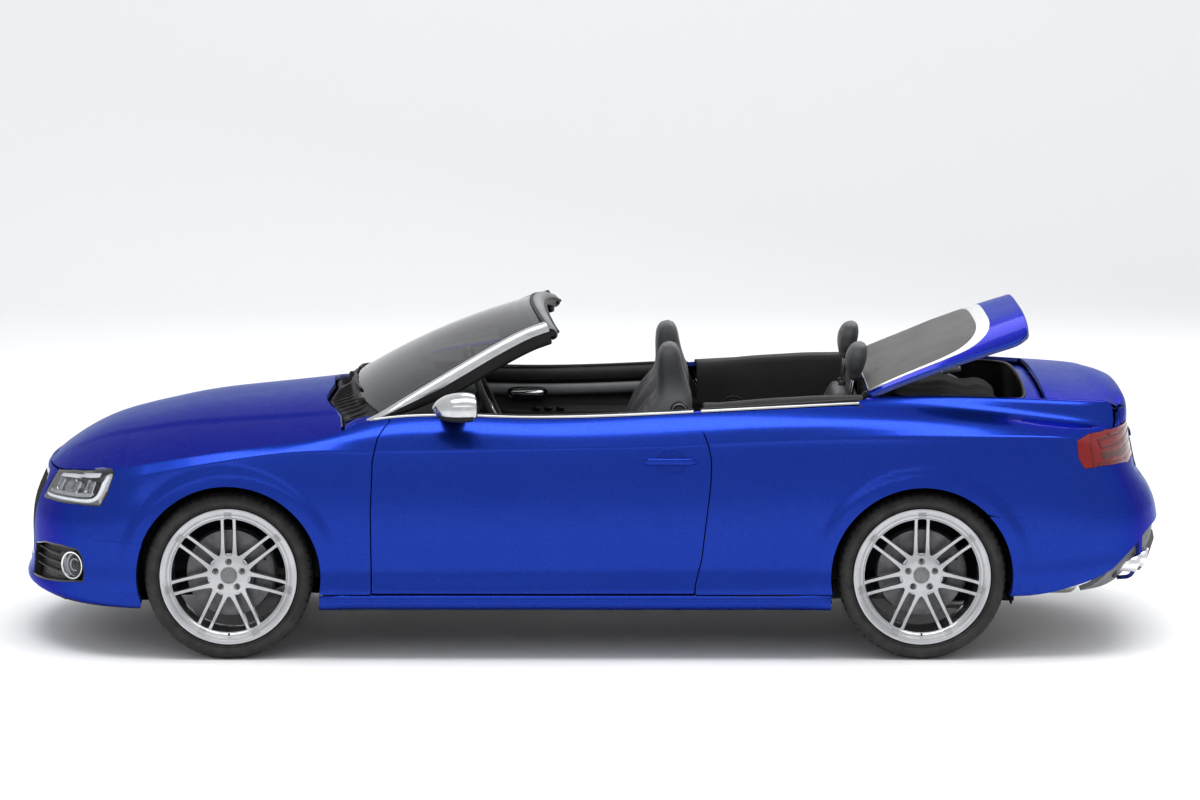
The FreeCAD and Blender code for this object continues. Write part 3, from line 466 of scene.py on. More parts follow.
def mesh_obj(name, verts, faces, mat_idx=None, normals=None, smooth=True):
    me = bpy.data.meshes.new(name)
    me.from_pydata([tuple(map(float, v)) for v in verts], [], [tuple(map(int, f)) for f in faces])
    me.update()
    if smooth:
        me.polygons.foreach_set("use_smooth", [True] * len(me.polygons))
    if mat_idx is not None:
        me.polygons.foreach_set("material_index", list(map(int, mat_idx)))
    if normals is not None:
        me.normals_split_custom_set_from_vertices([tuple(map(float, n)) for n in normals])
    o = bpy.data.objects.new(name, me)
    scene.collection.objects.link(o)
    return o


def bm_obj(name, bm, smooth=True, angle=None):
    me = bpy.data.meshes.new(name)
    bm.to_mesh(me)
    bm.free()
    if smooth:
        me.polygons.foreach_set("use_smooth", [True] * len(me.polygons))
    o = bpy.data.objects.new(name, me)
    scene.collection.objects.link(o)
    if angle is not None:
        me.set_sharp_from_angle(angle=math.radians(angle))
    return o


def apply_mods(o):
    dg = bpy.context.evaluated_depsgraph_get()
    me = bpy.data.meshes.new_from_object(o.evaluated_get(dg))
    old = o.data
    o.modifiers.clear()
    o.data = me
    bpy.data.meshes.remove(old)
    return o


def bevel(o, width, segs=2, angle=35):
    b = o.modifiers.new("b", "BEVEL")
    b.width, b.segments, b.limit_method, b.angle_limit = width, segs, "ANGLE", math.radians(angle)
    b.harden_normals = False
    apply_mods(o)
    o.data.polygons.foreach_set("use_smooth", [True] * len(o.data.polygons))
    o.data.set_sharp_from_angle(angle=math.radians(50))
    return o


def subsurf(o, levels=2):
    s = o.modifiers.new("s", "SUBSURF")
    s.levels = s.render_levels = levels
    return apply_mods(o)


def join(objs, name):
    objs = [o for o in objs if o is not None]
    bpy.ops.object.select_all(action="DESELECT")
    for o in objs:
        o.select_set(True)
    bpy.context.view_layer.objects.active = objs[0]
    if len(objs) > 1:
        bpy.ops.object.join()
    objs[0].name = name
    objs[0].data.name = name
    return objs[0]


def paint_faces(o, m):
    o.data.materials.clear()
    o.data.materials.append(M[m])
    o.data.polygons.foreach_set("material_index", [0] * len(o.data.polygons))
    return o


def flip_y(o, name=None):
    """A mirrored copy across the car's middle plane."""
    me = o.data.copy()
    me.transform(Matrix.Scale(-1, 4, (0, 1, 0)))
    me.flip_normals()
    c = bpy.data.objects.new(name or o.name + "_m", me)
    scene.collection.objects.link(c)
    return c


def rbox(name, lo, hi, r=0.004, segs=2, m=None):
    bm = bmesh.new()
    bmesh.ops.create_cube(bm, size=1.0)
    lo, hi = Vector(lo), Vector(hi)
    for v in bm.verts:
        v.co = Vector([(lo[i] + hi[i]) / 2 + v.co[i] * (hi[i] - lo[i]) for i in range(3)])
    r = min(r, 0.45 * min(hi[i] - lo[i] for i in range(3)))
    bmesh.ops.bevel(bm, geom=bm.edges[:], offset=r, segments=segs, profile=0.5, affect="EDGES")
    o = bm_obj(name, bm, angle=40)
    if m:
        paint_faces(o, m)
    return o


def prism(name, pts, axis, lo, hi, r=0.003, segs=2, m=None):
    """Outline in the two other axes carried along one axis, its edges rounded."""
    bm = bmesh.new()
    ax = "xyz".index(axis)
    rest = [i for i in range(3) if i != ax]

    def co(p, h):
        c = [0, 0, 0]
        c[rest[0]], c[rest[1]], c[ax] = p[0], p[1], h
        return c
    a = [bm.verts.new(co(p, lo)) for p in pts]
    b = [bm.verts.new(co(p, hi)) for p in pts]
    bm.faces.new(a)
    bm.faces.new(b[::-1])
    n = len(pts)
    for i in range(n):
        bm.faces.new((a[i], b[i], b[(i + 1) % n], a[(i + 1) % n]))
    bmesh.ops.recalc_face_normals(bm, faces=bm.faces[:])
    if r:
        sharp = [e for e in bm.edges if e.calc_face_angle(0) > math.radians(28)]
        bmesh.ops.bevel(bm, geom=sharp, offset=r, segments=segs, profile=0.5, affect="EDGES", clamp_overlap=True)
    o = bm_obj(name, bm, angle=40)
    if m:
        paint_faces(o, m)
    return o


def lathe(name, prof, segs=64, centre=(0, 0, 0), axis=(0, 0, 1), m=None, closed=False, angle=30, arc=None):
    """Profile of (radius, height) turned about an axis."""
    q = Vector((0, 0, 1)).rotation_difference(Vector(axis)).to_matrix()
    prof = list(prof)
    verts, faces = [], []
    full = arc is None
    steps = segs if full else segs + 1
    for i in range(steps):
        a = 2 * math.pi * i / segs if full else math.radians(arc[0] + (arc[1] - arc[0]) * i / segs)
        for r, hgt in prof:
            verts.append(Vector(centre) + q @ Vector((r * math.cos(a), r * math.sin(a), hgt)))
    n = len(prof)
    for i in range(segs):
        j = (i + 1) % steps
        for k in range(n if closed else n - 1):
            k2 = (k + 1) % n
            faces.append((i * n + k, j * n + k, j * n + k2, i * n + k2))
    o = mesh_obj(name, verts, faces)
    bm = bmesh.new()
    bm.from_mesh(o.data)
    bmesh.ops.remove_doubles(bm, verts=bm.verts[:], dist=1e-6)
    bmesh.ops.recalc_face_normals(bm, faces=bm.faces[:])
    bm.to_mesh(o.data)
    bm.free()
    o.data.set_sharp_from_angle(angle=math.radians(angle))
    if m:
        paint_faces(o, m)
    return o


def frames_along(path, up=(0, 0, 1)):
    path = [Vector(p) for p in path]
    out = []
    for i, p in enumerate(path):
        a, b = path[max(i - 1, 0)], path[min(i + 1, len(path) - 1)]
        t = (b - a).normalized()
        s = t.cross(Vector(up))
        if s.length < 1e-4:
            s = t.cross(Vector((0, 1, 0)))
        s.normalize()
        out.append((p, t, s, s.cross(t).normalized()))
    return out


def sweep(name, path, section, up=(0, 0, 1), closed=False, cap=True, m=None, scales=None, angle=40):
    """A closed section (side, up) carried along a path."""
    fr = frames_along(path, up)
    if closed:
        P = [Vector(p) for p in path]
        n = len(P)
        fr = []
        for i in range(n):
            t = (P[(i + 1) % n] - P[i - 1]).normalized()
            s = t.cross(Vector(up)).normalized()
            fr.append((P[i], t, s, s.cross(t).normalized()))
    verts, faces = [], []
    k = len(section)
    for i, (p, t, s, u) in enumerate(fr):
        f = scales[i] if scales else 1.0
        fa, fb = f if isinstance(f, tuple) else (f, f)
        for a, b in section:
            verts.append(p + s * a * fa + u * b * fb)
    n = len(fr)
    for i in range(n if closed else n - 1):
        j = (i + 1) % n
        for q in range(k):
            r = (q + 1) % k
            faces.append((i * k + q, i * k + r, j * k + r, j * k + q))
    if cap and not closed:
        faces.append(tuple(range(k))[::-1])
        faces.append(tuple((n - 1) * k + q for q in range(k)))
    o = mesh_obj(name, verts, faces)
    bm = bmesh.new()
    bm.from_mesh(o.data)
    bmesh.ops.recalc_face_normals(bm, faces=bm.faces[:])
    bm.to_mesh(o.data)
    bm.free()
    o.data.set_sharp_from_angle(angle=math.radians(angle))
    if m:
        paint_faces(o, m)
    return o


def ring(r, n=12, ry=None):
    return [(r * math.cos(2 * math.pi * i / n), (ry or r) * math.sin(2 * math.pi * i / n)) for i in range(n)]


def tube(name, path, r, m=None, n=12, closed=False, scales=None):
    return sweep(name, path, ring(r, n), m=m, closed=closed, scales=scales)


def spl(pts, n=8, closed=False):
    """Smooth polyline through points of any dimension."""
    P = [np.array(p, float) for p in pts]
    out = []
    N = len(P)
    rng = range(N if closed else N - 1)
    for i in rng:
        if closed:
            p0, p1, p2, p3 = P[i - 1], P[i], P[(i + 1) % N], P[(i + 2) % N]
        else:
            p1, p2 = P[i], P[i + 1]
            p0 = P[i - 1] if i > 0 else p1 * 2 - p2
            p3 = P[i + 2] if i + 2 < N else p2 * 2 - p1
        d01 = max(np.linalg.norm(p1 - p0), 1e-9) ** 0.5
        d12 = max(np.linalg.norm(p2 - p1), 1e-9) ** 0.5
        d23 = max(np.linalg.norm(p3 - p2), 1e-9) ** 0.5
        m1 = (p2 - p1) + d12 * ((p1 - p0) / d01 - (p2 - p0) / (d01 + d12))
        m2 = (p2 - p1) + d12 * ((p3 - p2) / d23 - (p3 - p1) / (d12 + d23))
        for k in range(n):
            t = k / n
            out.append((2 * t ** 3 - 3 * t * t + 1) * p1 + (t ** 3 - 2 * t * t + t) * m1 + (3 * t * t - 2 * t ** 3) * p2 + (t ** 3 - t * t) * m2)
    if not closed:
        out.append(P[-1])
    return [tuple(p) for p in out]


def arc_pts(cx, cz, r, a0, a1, n=40):
    return [(cx + r * math.cos(math.radians(a0 + (a1 - a0) * i / n)), cz + r * math.sin(math.radians(a0 + (a1 - a0) * i / n))) for i in range(n + 1)]


# ------------------------------------------------------------------ the body's outer surface
SX = np.array([-1.75, -1.44, -1.15, -0.88, -0.30, 0.30, 0.90, 1.31, 1.75])
KY = np.array([
    [.800, .820, .835, .835, .835, .835, .835, .820, .800],
    [.868, .888, .892, .893, .895, .895, .895, .888, .868],
    [.888, .908, .909, .910, .912, .912, .912, .908, .888],
    [.893, .915, .904, .900, .900, .902, .907, .915, .893],
    [.900, .924, .920, .919, .920, .921, .923, .926, .903],
    [.893, .925, .921, .918, .919, .920, .924, .927, .895],
    [.860, .902, .902, .899, .900, .902, .905, .905, .870],
    [.810, .855, .862, .860, .862, .864, .862, .845, .800],
    [.735, .785, .800, .797, .800, .803, .785, .745, .705],
    [.690, .745, .760, .757, .760, .763, .742, .698, .662],
    [.660, .715, .730, .727, .730, .733, .712, .668, .632]])
KZ = np.array([
    [.200, .200, .195, .195, .195, .200, .210, .220, .245],
    [.205, .200, .200, .200, .200, .205, .215, .225, .250],
    [.270, .260, .255, .255, .255, .258, .262, .270, .300],
    [.380, .380, .370, .365, .365, .370, .375, .380, .400],
    [.500, .500, .500, .500, .500, .505, .510, .520, .530],
    [.640, .680, .690, .690, .690, .695, .700, .700, .700],
    [.745, .805, .840, .838, .845, .858, .881, .889, .888],
    [.785, .840, .868, .898, .905, .916, .945, .948, .922],
    [.800, .856, .885, .940, .953, .968, .995, .996, .955],
    [.815, .872, .900, .946, .958, .974, 1.010, 1.029, 1.013],
    [.826, .880, .906, .950, .961, .977, 1.014, 1.033, 1.018]])
NOSE = np.array([(-2.240, .205), (-2.318, .240), (-2.305, .290), (-2.300, .370), (-2.300, .460), (-2.283, .570), (-2.250, .650), (-2.225, .695), (-2.195, .730), (-2.15, .762), (-2.12, .78)])
TAIL = np.array([(2.200, .270), (2.270, .300), (2.303, .360), (2.317, .420), (2.312, .500), (2.279, .600), (2.217, .690), (2.180, .850), (2.170, .960), (2.150, .990), (2.125, 1.0)])
NF = np.array([2.3] * 11)
NR = np.array([2.7] * 7 + [3.4, 4.4, 4.8, 4.8])
KT = np.array([0.0, .07, .13, .24, .37, .56, .69, .75, .815, .87, .90])
WF, SIDE, WR = 1.2, 3.5, 1.2
UE = WF + SIDE + WR


def natural(xs, ys):
    """Natural cubic spline with straight ends beyond the table; ys may have many columns."""
    xs, ys = np.asarray(xs, float), np.asarray(ys, float)
    n = len(xs)
    h = np.diff(xs)
    A = np.zeros((n, n))
    B = np.zeros_like(ys)
    A[0, 0] = A[-1, -1] = 1
    for i in range(1, n - 1):
        A[i, i - 1], A[i, i], A[i, i + 1] = h[i - 1], 2 * (h[i - 1] + h[i]), h[i]
        B[i] = 6 * ((ys[i + 1] - ys[i]) / h[i] - (ys[i] - ys[i - 1]) / h[i - 1])
    mm = np.linalg.solve(A, B)

    def f(x):
        x = np.asarray(x, float)
        xc = np.clip(x, xs[0], xs[-1])
        i = np.clip(np.searchsorted(xs, xc) - 1, 0, n - 2)
        hh = h[i]
        a = (xs[i + 1] - xc) / hh
        b = (xc - xs[i]) / hh
        if ys.ndim == 2:
            a, b, hh = a[:, None], b[:, None], hh[:, None]
        val = a * ys[i] + b * ys[i + 1] + ((a ** 3 - a) * mm[i] + (b ** 3 - b) * mm[i + 1]) * hh ** 2 / 6
        s0 = (ys[1] - ys[0]) / h[0] - h[0] * (2 * mm[0] + mm[1]) / 6
        s1 = (ys[-1] - ys[-2]) / h[-1] + h[-1] * (mm[-2] + 2 * mm[-1]) / 6
        lo, hi = np.minimum(x - xs[0], 0), np.maximum(x - xs[-1], 0)
        if ys.ndim == 2:
            lo, hi = lo[:, None], hi[:, None]
        return val + s0 * lo + s1 * hi
    return f


FYs, FZs = natural(SX, KY.T), natural(SX, KZ.T)


def features(U):
    """Points of all feature lines at each U: array (n, lines, 3), right side."""
    U = np.asarray(U, float)
    out = np.zeros((len(U), len(KT), 3))
    f, r = U < WF, U > WF + SIDE
    s = ~(f | r)
    if s.any():
        x = U[s] - WF - 1.75
        out[s, :, 0] = x[:, None]
        out[s, :, 1] = FYs(x)
        out[s, :, 2] = FZs(x)
    for sel, n, ends, sign, pw in ((f, NF, NOSE, -1, 2.2), (r, NR, TAIL, 1, 3.0)):
        if not sel.any():
            continue
        t = (U[sel] / WF if sign < 0 else (UE - U[sel]) / WR) * math.pi / 2
        t = np.clip(t, 0, math.pi / 2)[:, None]
        base = 1.75 * sign
        A = (ends[:, 0] - base)[None, :] * sign
        cx = np.cos(t) ** (2 / n)[None, :]
        sy = np.sin(t) ** (2 / n)[None, :]
        x = base + sign * A * cx
        xi = np.clip(x, -2.35, 2.35)
        ylin = np.zeros_like(x)
        zlin = np.zeros_like(x)
        for k in range(len(KT)):
            ylin[:, k] = FYs(xi[:, k])[:, k]
            zlin[:, k] = FZs(xi[:, k])[:, k]
        y0 = KY[:, 0 if sign < 0 else -1][None, :]
        ylin = y0 + (ylin - y0) * 0.75
        w = sy ** pw
        out[sel, :, 0] = x
        out[sel, :, 1] = ylin * sy
        out[sel, :, 2] = ends[:, 1][None, :] + (zlin - ends[:, 1][None, :]) * w
    return out


CREASE = {6: 0.85}


def skin_pts(U, V):
    """Surface points for surface coordinates in metres: U round the car, V up the side."""
    U, V = np.asarray(U, float), np.asarray(V, float)
    F = features(U)
    n = len(KT)
    i = np.clip(np.searchsorted(KT, np.clip(V, KT[0], KT[-1] - 1e-9), side="right") - 1, 0, n - 2)
    idx = np.arange(len(U))

    def slope(k):
        k0, k1 = np.clip(k - 1, 0, n - 1), np.clip(k + 1, 0, n - 1)
        h0, h1 = KT[k] - KT[k0], KT[k1] - KT[k]
        d0 = (F[idx, k] - F[idx, k0]) / np.where(h0 > 0, h0, 1)[:, None]
        d1 = (F[idx, k1] - F[idx, k]) / np.where(h1 > 0, h1, 1)[:, None]
        mid = (d0 * h1[:, None] + d1 * h0[:, None]) / (h0 + h1)[:, None]
        mid = np.where((h0 <= 0)[:, None], d1, np.where((h1 <= 0)[:, None], d0, mid))
        return d0, d1, mid
    d0a, d1a, ma = slope(i)
    d0b, d1b, mb = slope(i + 1)
    for k, c in CREASE.items():
        ma = np.where((i == k)[:, None], ma * (1 - c) + d1a * c, ma)
        mb = np.where((i + 1 == k)[:, None], mb * (1 - c) + d0b * c, mb)
    h = (KT[i + 1] - KT[i])[:, None]
    t = ((V - KT[i]))[:, None] / h
    pa, pb = F[idx, i], F[idx, i + 1]
    P = (2 * t ** 3 - 3 * t * t + 1) * pa + (t ** 3 - 2 * t * t + t) * h * ma + (3 * t * t - 2 * t ** 3) * pb + (t ** 3 - t * t) * h * mb
    # raised lips round the wheel arches
    for cx, ra in ((-1.44, 0.366), (1.311, 0.361)):
        d = np.hypot(P[:, 0] - cx, P[:, 2] - 0.3335) - ra
        lip = np.clip((0.088 - d) / 0.050, 0, 1)
        lip = lip * lip * (3 - 2 * lip) * 0.0105 * np.clip((P[:, 2] - 0.24) / 0.03, 0, 1)
        P[:, 1] += lip * np.clip((P[:, 1] - 0.5) * 4, 0, 1)
    return P


def skin(U, V):
    U, V = np.asarray(U, float), np.asarray(V, float)
    P = skin_pts(U, V)
    e = 0.003
    Ua, Ub = np.clip(U - e, 1e-4, UE - 1e-4), np.clip(U + e, 1e-4, UE - 1e-4)
    du = skin_pts(Ub, V) - skin_pts(Ua, V)
    dv = skin_pts(U, np.minimum(V + e, KT[-1])) - skin_pts(U, np.maximum(V - e, KT[0]))
    nn = np.cross(dv, du)
    nn /= np.maximum(np.linalg.norm(nn, axis=1), 1e-12)[:, None]
    return P, nn


_gu, _gv = np.meshgrid(np.linspace(0.001, UE - 0.001, 420), np.linspace(0, KT[-1], 90), indexing="ij")
_GP = skin_pts(_gu.ravel(), _gv.ravel())
_GUV = np.stack([_gu.ravel(), _gv.ravel()], 1)


def to_uv(pts, axes=(0, 2), bias=None):
    """Surface coordinates of points given by two of their axes, (x, z) or (y, z)."""
    pts = np.asarray(pts, float)
    G = _GP[:, axes]
    out = np.zeros((len(pts), 2))
    for i, p in enumerate(pts):
        d = ((G - p) ** 2).sum(1)
        if bias == "front":
            d = d + (_GP[:, 0] > -1.7) * 10
        if bias == "rear":
            d = d + (_GP[:, 0] < 1.7) * 10
        out[i] = _GUV[np.argmin(d)]
    e = 1e-4
    for _ in range(8):
        U, V = out[:, 0], out[:, 1]
        P = skin_pts(U, V)[:, axes]
        Ju = (skin_pts(U + e, V)[:, axes] - P) / e
        Jv = (skin_pts(U, np.minimum(V + e, KT[-1]))[:, axes] - skin_pts(U, np.minimum(V + e, KT[-1]) - e)[:, axes]) / e
        r = pts - P
        det = Ju[:, 0] * Jv[:, 1] - Ju[:, 1] * Jv[:, 0]
        det = np.where(np.abs(det) < 1e-3, np.where(det < 0, -1e-3, 1e-3), det)
        dU = (r[:, 0] * Jv[:, 1] - r[:, 1] * Jv[:, 0]) / det
        dV = (Ju[:, 0] * r[:, 1] - Ju[:, 1] * r[:, 0]) / det
        out[:, 0] = np.clip(U + np.clip(dU, -.05, .05), 2e-3, UE - 2e-3)
        out[:, 1] = np.clip(V + np.clip(dV, -.05, .05), 0, KT[-1])
    return out


def resample(poly, step):
    out = []
    n = len(poly)
    for i in range(n):
        a, b = np.array(poly[i]), np.array(poly[(i + 1) % n])
        d = np.linalg.norm(b - a)
        if d < 1e-6:
            continue
        k = max(1, int(math.ceil(d / step)))
        for j in range(k):
            out.append(a + (b - a) * j / k)
    # drop near-duplicates
    keep = [out[0]]
    for p in out[1:]:
        if np.linalg.norm(p - keep[-1]) > step * 0.25:
            keep.append(p)
    if np.linalg.norm(keep[0] - keep[-1]) < step * 0.25:
        keep.pop()
    return np.array(keep)


def area2(poly):
    x, y = poly[:, 0], poly[:, 1]
    return 0.5 * np.sum(x * np.roll(y, -1) - np.roll(x, -1) * y)


def inset(poly, g):
    """Moves every side of an outline inward by g."""
    if area2(poly) < 0:
        poly = poly[::-1]
    a = poly - np.roll(poly, 1, 0)
    b = np.roll(poly, -1, 0) - poly
    a /= np.maximum(np.linalg.norm(a, axis=1), 1e-9)[:, None]
    b /= np.maximum(np.linalg.norm(b, axis=1), 1e-9)[:, None]
    na, nb = np.stack([-a[:, 1], a[:, 0]], 1), np.stack([-b[:, 1], b[:, 0]], 1)
    s = na + nb
    d = np.maximum(1 + (na * nb).sum(1), 0.4)[:, None]
    return poly + s / d * g


def inside(pts, poly):
    x, y = pts[:, 0], pts[:, 1]
    c = np.zeros(len(pts), bool)
    n = len(poly)
    for i in range(n):
        x0, y0 = poly[i]
        x1, y1 = poly[(i + 1) % n]
        if y0 == y1:
            continue
        hit = ((y0 > y) != (y1 > y)) & (x < (x1 - x0) * (y - y0) / (y1 - y0) + x0)
        c ^= hit
    return c


def edge_dist(pts, poly):
    best = np.full(len(pts), 1e9)
    n = len(poly)
    for i in range(n):
        a, b = poly[i], poly[(i + 1) % n]
        ab = b - a
        L = max((ab ** 2).sum(), 1e-12)
        t = np.clip(((pts - a) @ ab) / L, 0, 1)
        d = np.linalg.norm(pts - (a + t[:, None] * ab), axis=1)
        best = np.minimum(best, d)
    return best


def panel(name, outline, fn, holes=(), step=0.014, gap=0.0, hole_gap=0.0, rim=0.010, fold=(0.0012, 0.016), mirror=False, offset=0.0, back=None, fold_end=None, no_fold=None):
    """A sheet on a surface: outline and holes are in surface coordinates, fn gives points and normals.
    Its edges roll over a small radius and run inward, as pressed panels do."""
    P0 = resample(np.array(outline, float), rim)
    if area2(P0) < 0:
        P0 = P0[::-1]
    if gap:
        P0 = inset(P0, gap)
    H = []
    for h in holes:
        hh = resample(np.array(h, float), rim)
        if area2(hh) < 0:
            hh = hh[::-1]
        if hole_gap:
            hh = inset(hh, -hole_gap)
        H.append(hh)
    lo, hi = P0.min(0), P0.max(0)
    gx, gy = np.meshgrid(np.arange(lo[0] + step / 2, hi[0], step), np.arange(lo[1] + step / 2, hi[1], step * 0.87), indexing="ij")
    gx = gx + (np.arange(gx.shape[1])[None, :] % 2) * step / 2
    G = np.stack([gx.ravel(), gy.ravel()], 1)
    G = G[inside(G, P0)]
    G = G[edge_dist(G, P0) > rim * 0.6]
    for h in H:
        G = G[~inside(G, h)]
        G = G[edge_dist(G, h) > rim * 0.6]
    allp = [P0] + H + [G]
    pts = np.concatenate(allp)
    edges, at = [], 0
    loops = []
    for c in [P0] + H:
        k = len(c)
        edges += [(at + i, at + (i + 1) % k) for i in range(k)]
        loops.append(list(range(at, at + k)))
        at += k
    vs, _, fs, ov, _, _ = delaunay_2d_cdt([Vector(p) for p in pts], edges, [], 0, 1e-7)
    uv = np.array([tuple(v) for v in vs])
    tris = np.array([f for f in fs if len(f) == 3])
    cen = uv[tris].mean(1)
    ok = inside(cen, P0)
    for h in H:
        ok &= ~inside(cen, h)
    tris = tris[ok]
    P, N = fn(uv[:, 0], uv[:, 1])
    P = P + N * offset
    back_of = {}
    for new, olds in enumerate(ov):
        for o_ in olds:
            back_of[o_] = new
    # make faces look outward
    a, b, c = P[tris[:, 0]], P[tris[:, 1]], P[tris[:, 2]]
    fl = (np.cross(b - a, c - a) * N[tris[:, 0]]).sum(1) < 0
    tris[fl] = tris[fl][:, ::-1]
    verts, norms, faces, midx = list(P), list(N), [tuple(t) for t in tris], [0] * len(tris)
    r, depth = fold
    if depth:
        for loop in loops:
            ids = [back_of[q] for q in loop]
            k = len(ids)
            rows = [ids]
            Q, NN = P[ids], N[ids]
            tang = np.roll(Q, -1, 0) - np.roll(Q, 1, 0)
            tang /= np.maximum(np.linalg.norm(tang, axis=1), 1e-9)[:, None]
            e = np.cross(tang, NN)
            e /= np.maximum(np.linalg.norm(e, axis=1), 1e-9)[:, None]
            outer = loop is loops[0]
            if not outer:
                e = -e
            # e must point away from the sheet
            uvl = uv[ids]
            test, _n = fn(uvl[:, 0], uvl[:, 1])
            mid = uv[tris].mean(1)
            centre = P0.mean(0)
            chk = uvl + (np.roll(uvl, -1, 0) - np.roll(uvl, 1, 0))[:, ::-1] * np.array([1, -1]) * 0.05
            pc, _n = fn(chk[:, 0], chk[:, 1])
            d = pc - test
            side = inside(chk, P0)
            for h in H:
                side &= ~inside(chk, h)
            sgn = np.sign((d * e).sum(1)) * np.where(side, -1, 1)
            s_all = 1 if sgn.sum() >= 0 else -1
            e = e * s_all
            specs = [(r * 0.65, r * 0.25, 0.5), (r, r, 0.0), (r, depth, 0.0)]
            skip = np.zeros(k, bool) if no_fold is None else no_fold(Q)
            for j, (eo, dn, w) in enumerate(specs):
                base = len(verts)
                pos = Q + e * eo - NN * dn
                if j == 2 and fold_end is not None:
                    pos = fold_end(Q, e, NN, pos)
                nr = NN * w + e * (1 - w * 0.5)
                nr /= np.linalg.norm(nr, axis=1)[:, None]
                verts += list(pos)
                norms += list(nr)
                rows.append(list(range(base, base + k)))
            for q in range(3):
                A, B = rows[q], rows[q + 1]
                for i in range(k):
                    j = (i + 1) % k
                    if skip[i] or skip[j]:
                        continue
                    f = (A[i], A[j], B[j], B[i])
                    v0, v1, v3 = np.array(verts[f[0]]), np.array(verts[f[1]]), np.array(verts[f[3]])
                    nf = np.cross(v1 - v0, v3 - v0)
                    if (nf * (np.array(norms[B[i]]) + np.array(norms[A[i]]))).sum() < 0:
                        f = f[::-1]
                    faces.append(f)
                    midx.append(0 if q < 2 else 1)
    verts, norms = np.array(verts), np.array(norms)
    if mirror:
        verts[:, 1] *= -1
        norms[:, 1] *= -1
        faces = [f[::-1] for f in faces]
    return mesh_obj(name, verts, faces, midx, norms)


def side_outline(pts_xz, **kw):
    return to_uv(pts_xz, (0, 2), **kw)


class Surf:
    """Smooth surface through a grid of points; coordinates run 0..n-1 and 0..m-1."""

    def __init__(self, grid, over=10):
        g = np.array(grid, float)
        n, m = g.shape[:2]
        a, b = np.arange(n), np.arange(m)
        A, B = np.linspace(0, n - 1, (n - 1) * over + 1), np.linspace(0, m - 1, (m - 1) * over + 1)
        rows = natural(a, g.reshape(n, -1))(A).reshape(len(A), m, 3)
        rows = rows.transpose(1, 0, 2)
        full = natural(b, rows.reshape(m, -1))(B).reshape(len(B), len(A), 3).transpose(1, 0, 2)
        self.G, self.over, self.n, self.m = full, over, n, m
        da = np.gradient(full, axis=0)
        db = np.gradient(full, axis=1)
        N = np.cross(da, db)
        L = np.linalg.norm(N, axis=2)
        self.N = N / np.maximum(L, 1e-12)[..., None]
        self.flip = 1.0

    def up(self, ref):
        if (self.N[self.N.shape[0] // 2, self.N.shape[1] // 2] * np.array(ref)).sum() < 0:
            self.flip = -1.0
        return self

    def at(self, A, u, v):
        u = np.clip(np.asarray(u, float) * self.over, 0, A.shape[0] - 1.000001)
        v = np.clip(np.asarray(v, float) * self.over, 0, A.shape[1] - 1.000001)
        i, j = u.astype(int), v.astype(int)
        fu, fv = (u - i)[:, None], (v - j)[:, None]
        return (A[i, j] * (1 - fu) * (1 - fv) + A[i + 1, j] * fu * (1 - fv) + A[i, j + 1] * (1 - fu) * fv + A[i + 1, j + 1] * fu * fv)

    def __call__(self, u, v):
        P = self.at(self.G, u, v)
        N = self.at(self.N, u, v) * self.flip
        return P, N / np.maximum(np.linalg.norm(N, axis=1), 1e-12)[:, None]


def height(fz, e=0.002, sign=1.0):
    """Surface over (x, y) from a height function."""
    def fn(x, y):
        x, y = np.asarray(x, float), np.asarray(y, float)
        z = fz(x, y)
        dx = (fz(x + e, y) - fz(x - e, y)) / (2 * e)
        dy = (fz(x, y + e) - fz(x, y - e)) / (2 * e)
        N = np.stack([-dx, -dy, np.ones_like(z)], 1) * sign
        return np.stack([x, y, z], 1), N / np.linalg.norm(N, axis=1)[:, None]
    return fn


def uv_x(xs, vs):
    """Surface coordinates on the side part for stations xs and line coordinates vs."""
    return np.stack([np.array(xs) + WF + 1.75, np.array(vs) * np.ones(len(xs))], 1)


def xz(*pts):
    return to_uv(list(pts), (0, 2))


def yz_front(*pts):
    return to_uv(list(pts), (1, 2), bias="front")


def yz_rear(*pts):
    return to_uv(list(pts), (1, 2), bias="rear")


def cat(*parts):
    return np.concatenate([np.atleast_2d(p) for p in parts])


# ------------------------------------------------------------------ shared shut lines
FX, RX, WZ = -1.44, 1.311, 0.3335
ARCH_F, ARCH_R = 0.366, 0.361
LAMP_SIDE = [(-2.055, .600), (-1.950, .606), (-1.918, .664), (-1.895, .730), (-1.904, .748)]      # lower front to upper rear
lamp_top = cat(xz((-1.904, .748), (-1.985, .744)), yz_front((.70, .734), (.58, .718), (.46, .702)))
lamp_low = cat(yz_front((.458, .588), (.56, .592), (.68, .596)), xz((-2.055, .600), (-1.950, .606)))
SHUT = spl([(-1.904, .748), (-1.731, .783), (-1.55, .816), (-1.429, .835), (-1.233, .862), (-1.075, .886), (-.990, .908), (-.940, .932)], 6)
shut_uv = xz(*SHUT)
front_arch = [p for p in arc_pts(FX, WZ, ARCH_F, 158.9, 0, 60)]
BUMP_F = [(-1.7815, .4653), (-1.86, .468), (-1.94, .471), (-2.0, .476), (-2.028, .490), (-2.040, .520), (-2.055, .600)]
DOOR_F = [(-.871, .268), (-.873, .60), (-.865, .80), (-.846, .885), (-.818, .925), (-.800, .943)]
DOOR_R = [(.408, .268), (.410, .300), (.436, .404), (.455, .567), (.472, .72), (.474, .80), (.462, .86), (.446, .90), (.420, .945)]


def at_angle(c, r, z_low, side):
    """Point of a wheel arch at a given height."""
    dz = z_low - WZ
    return c + side * math.sqrt(r * r - dz * dz)


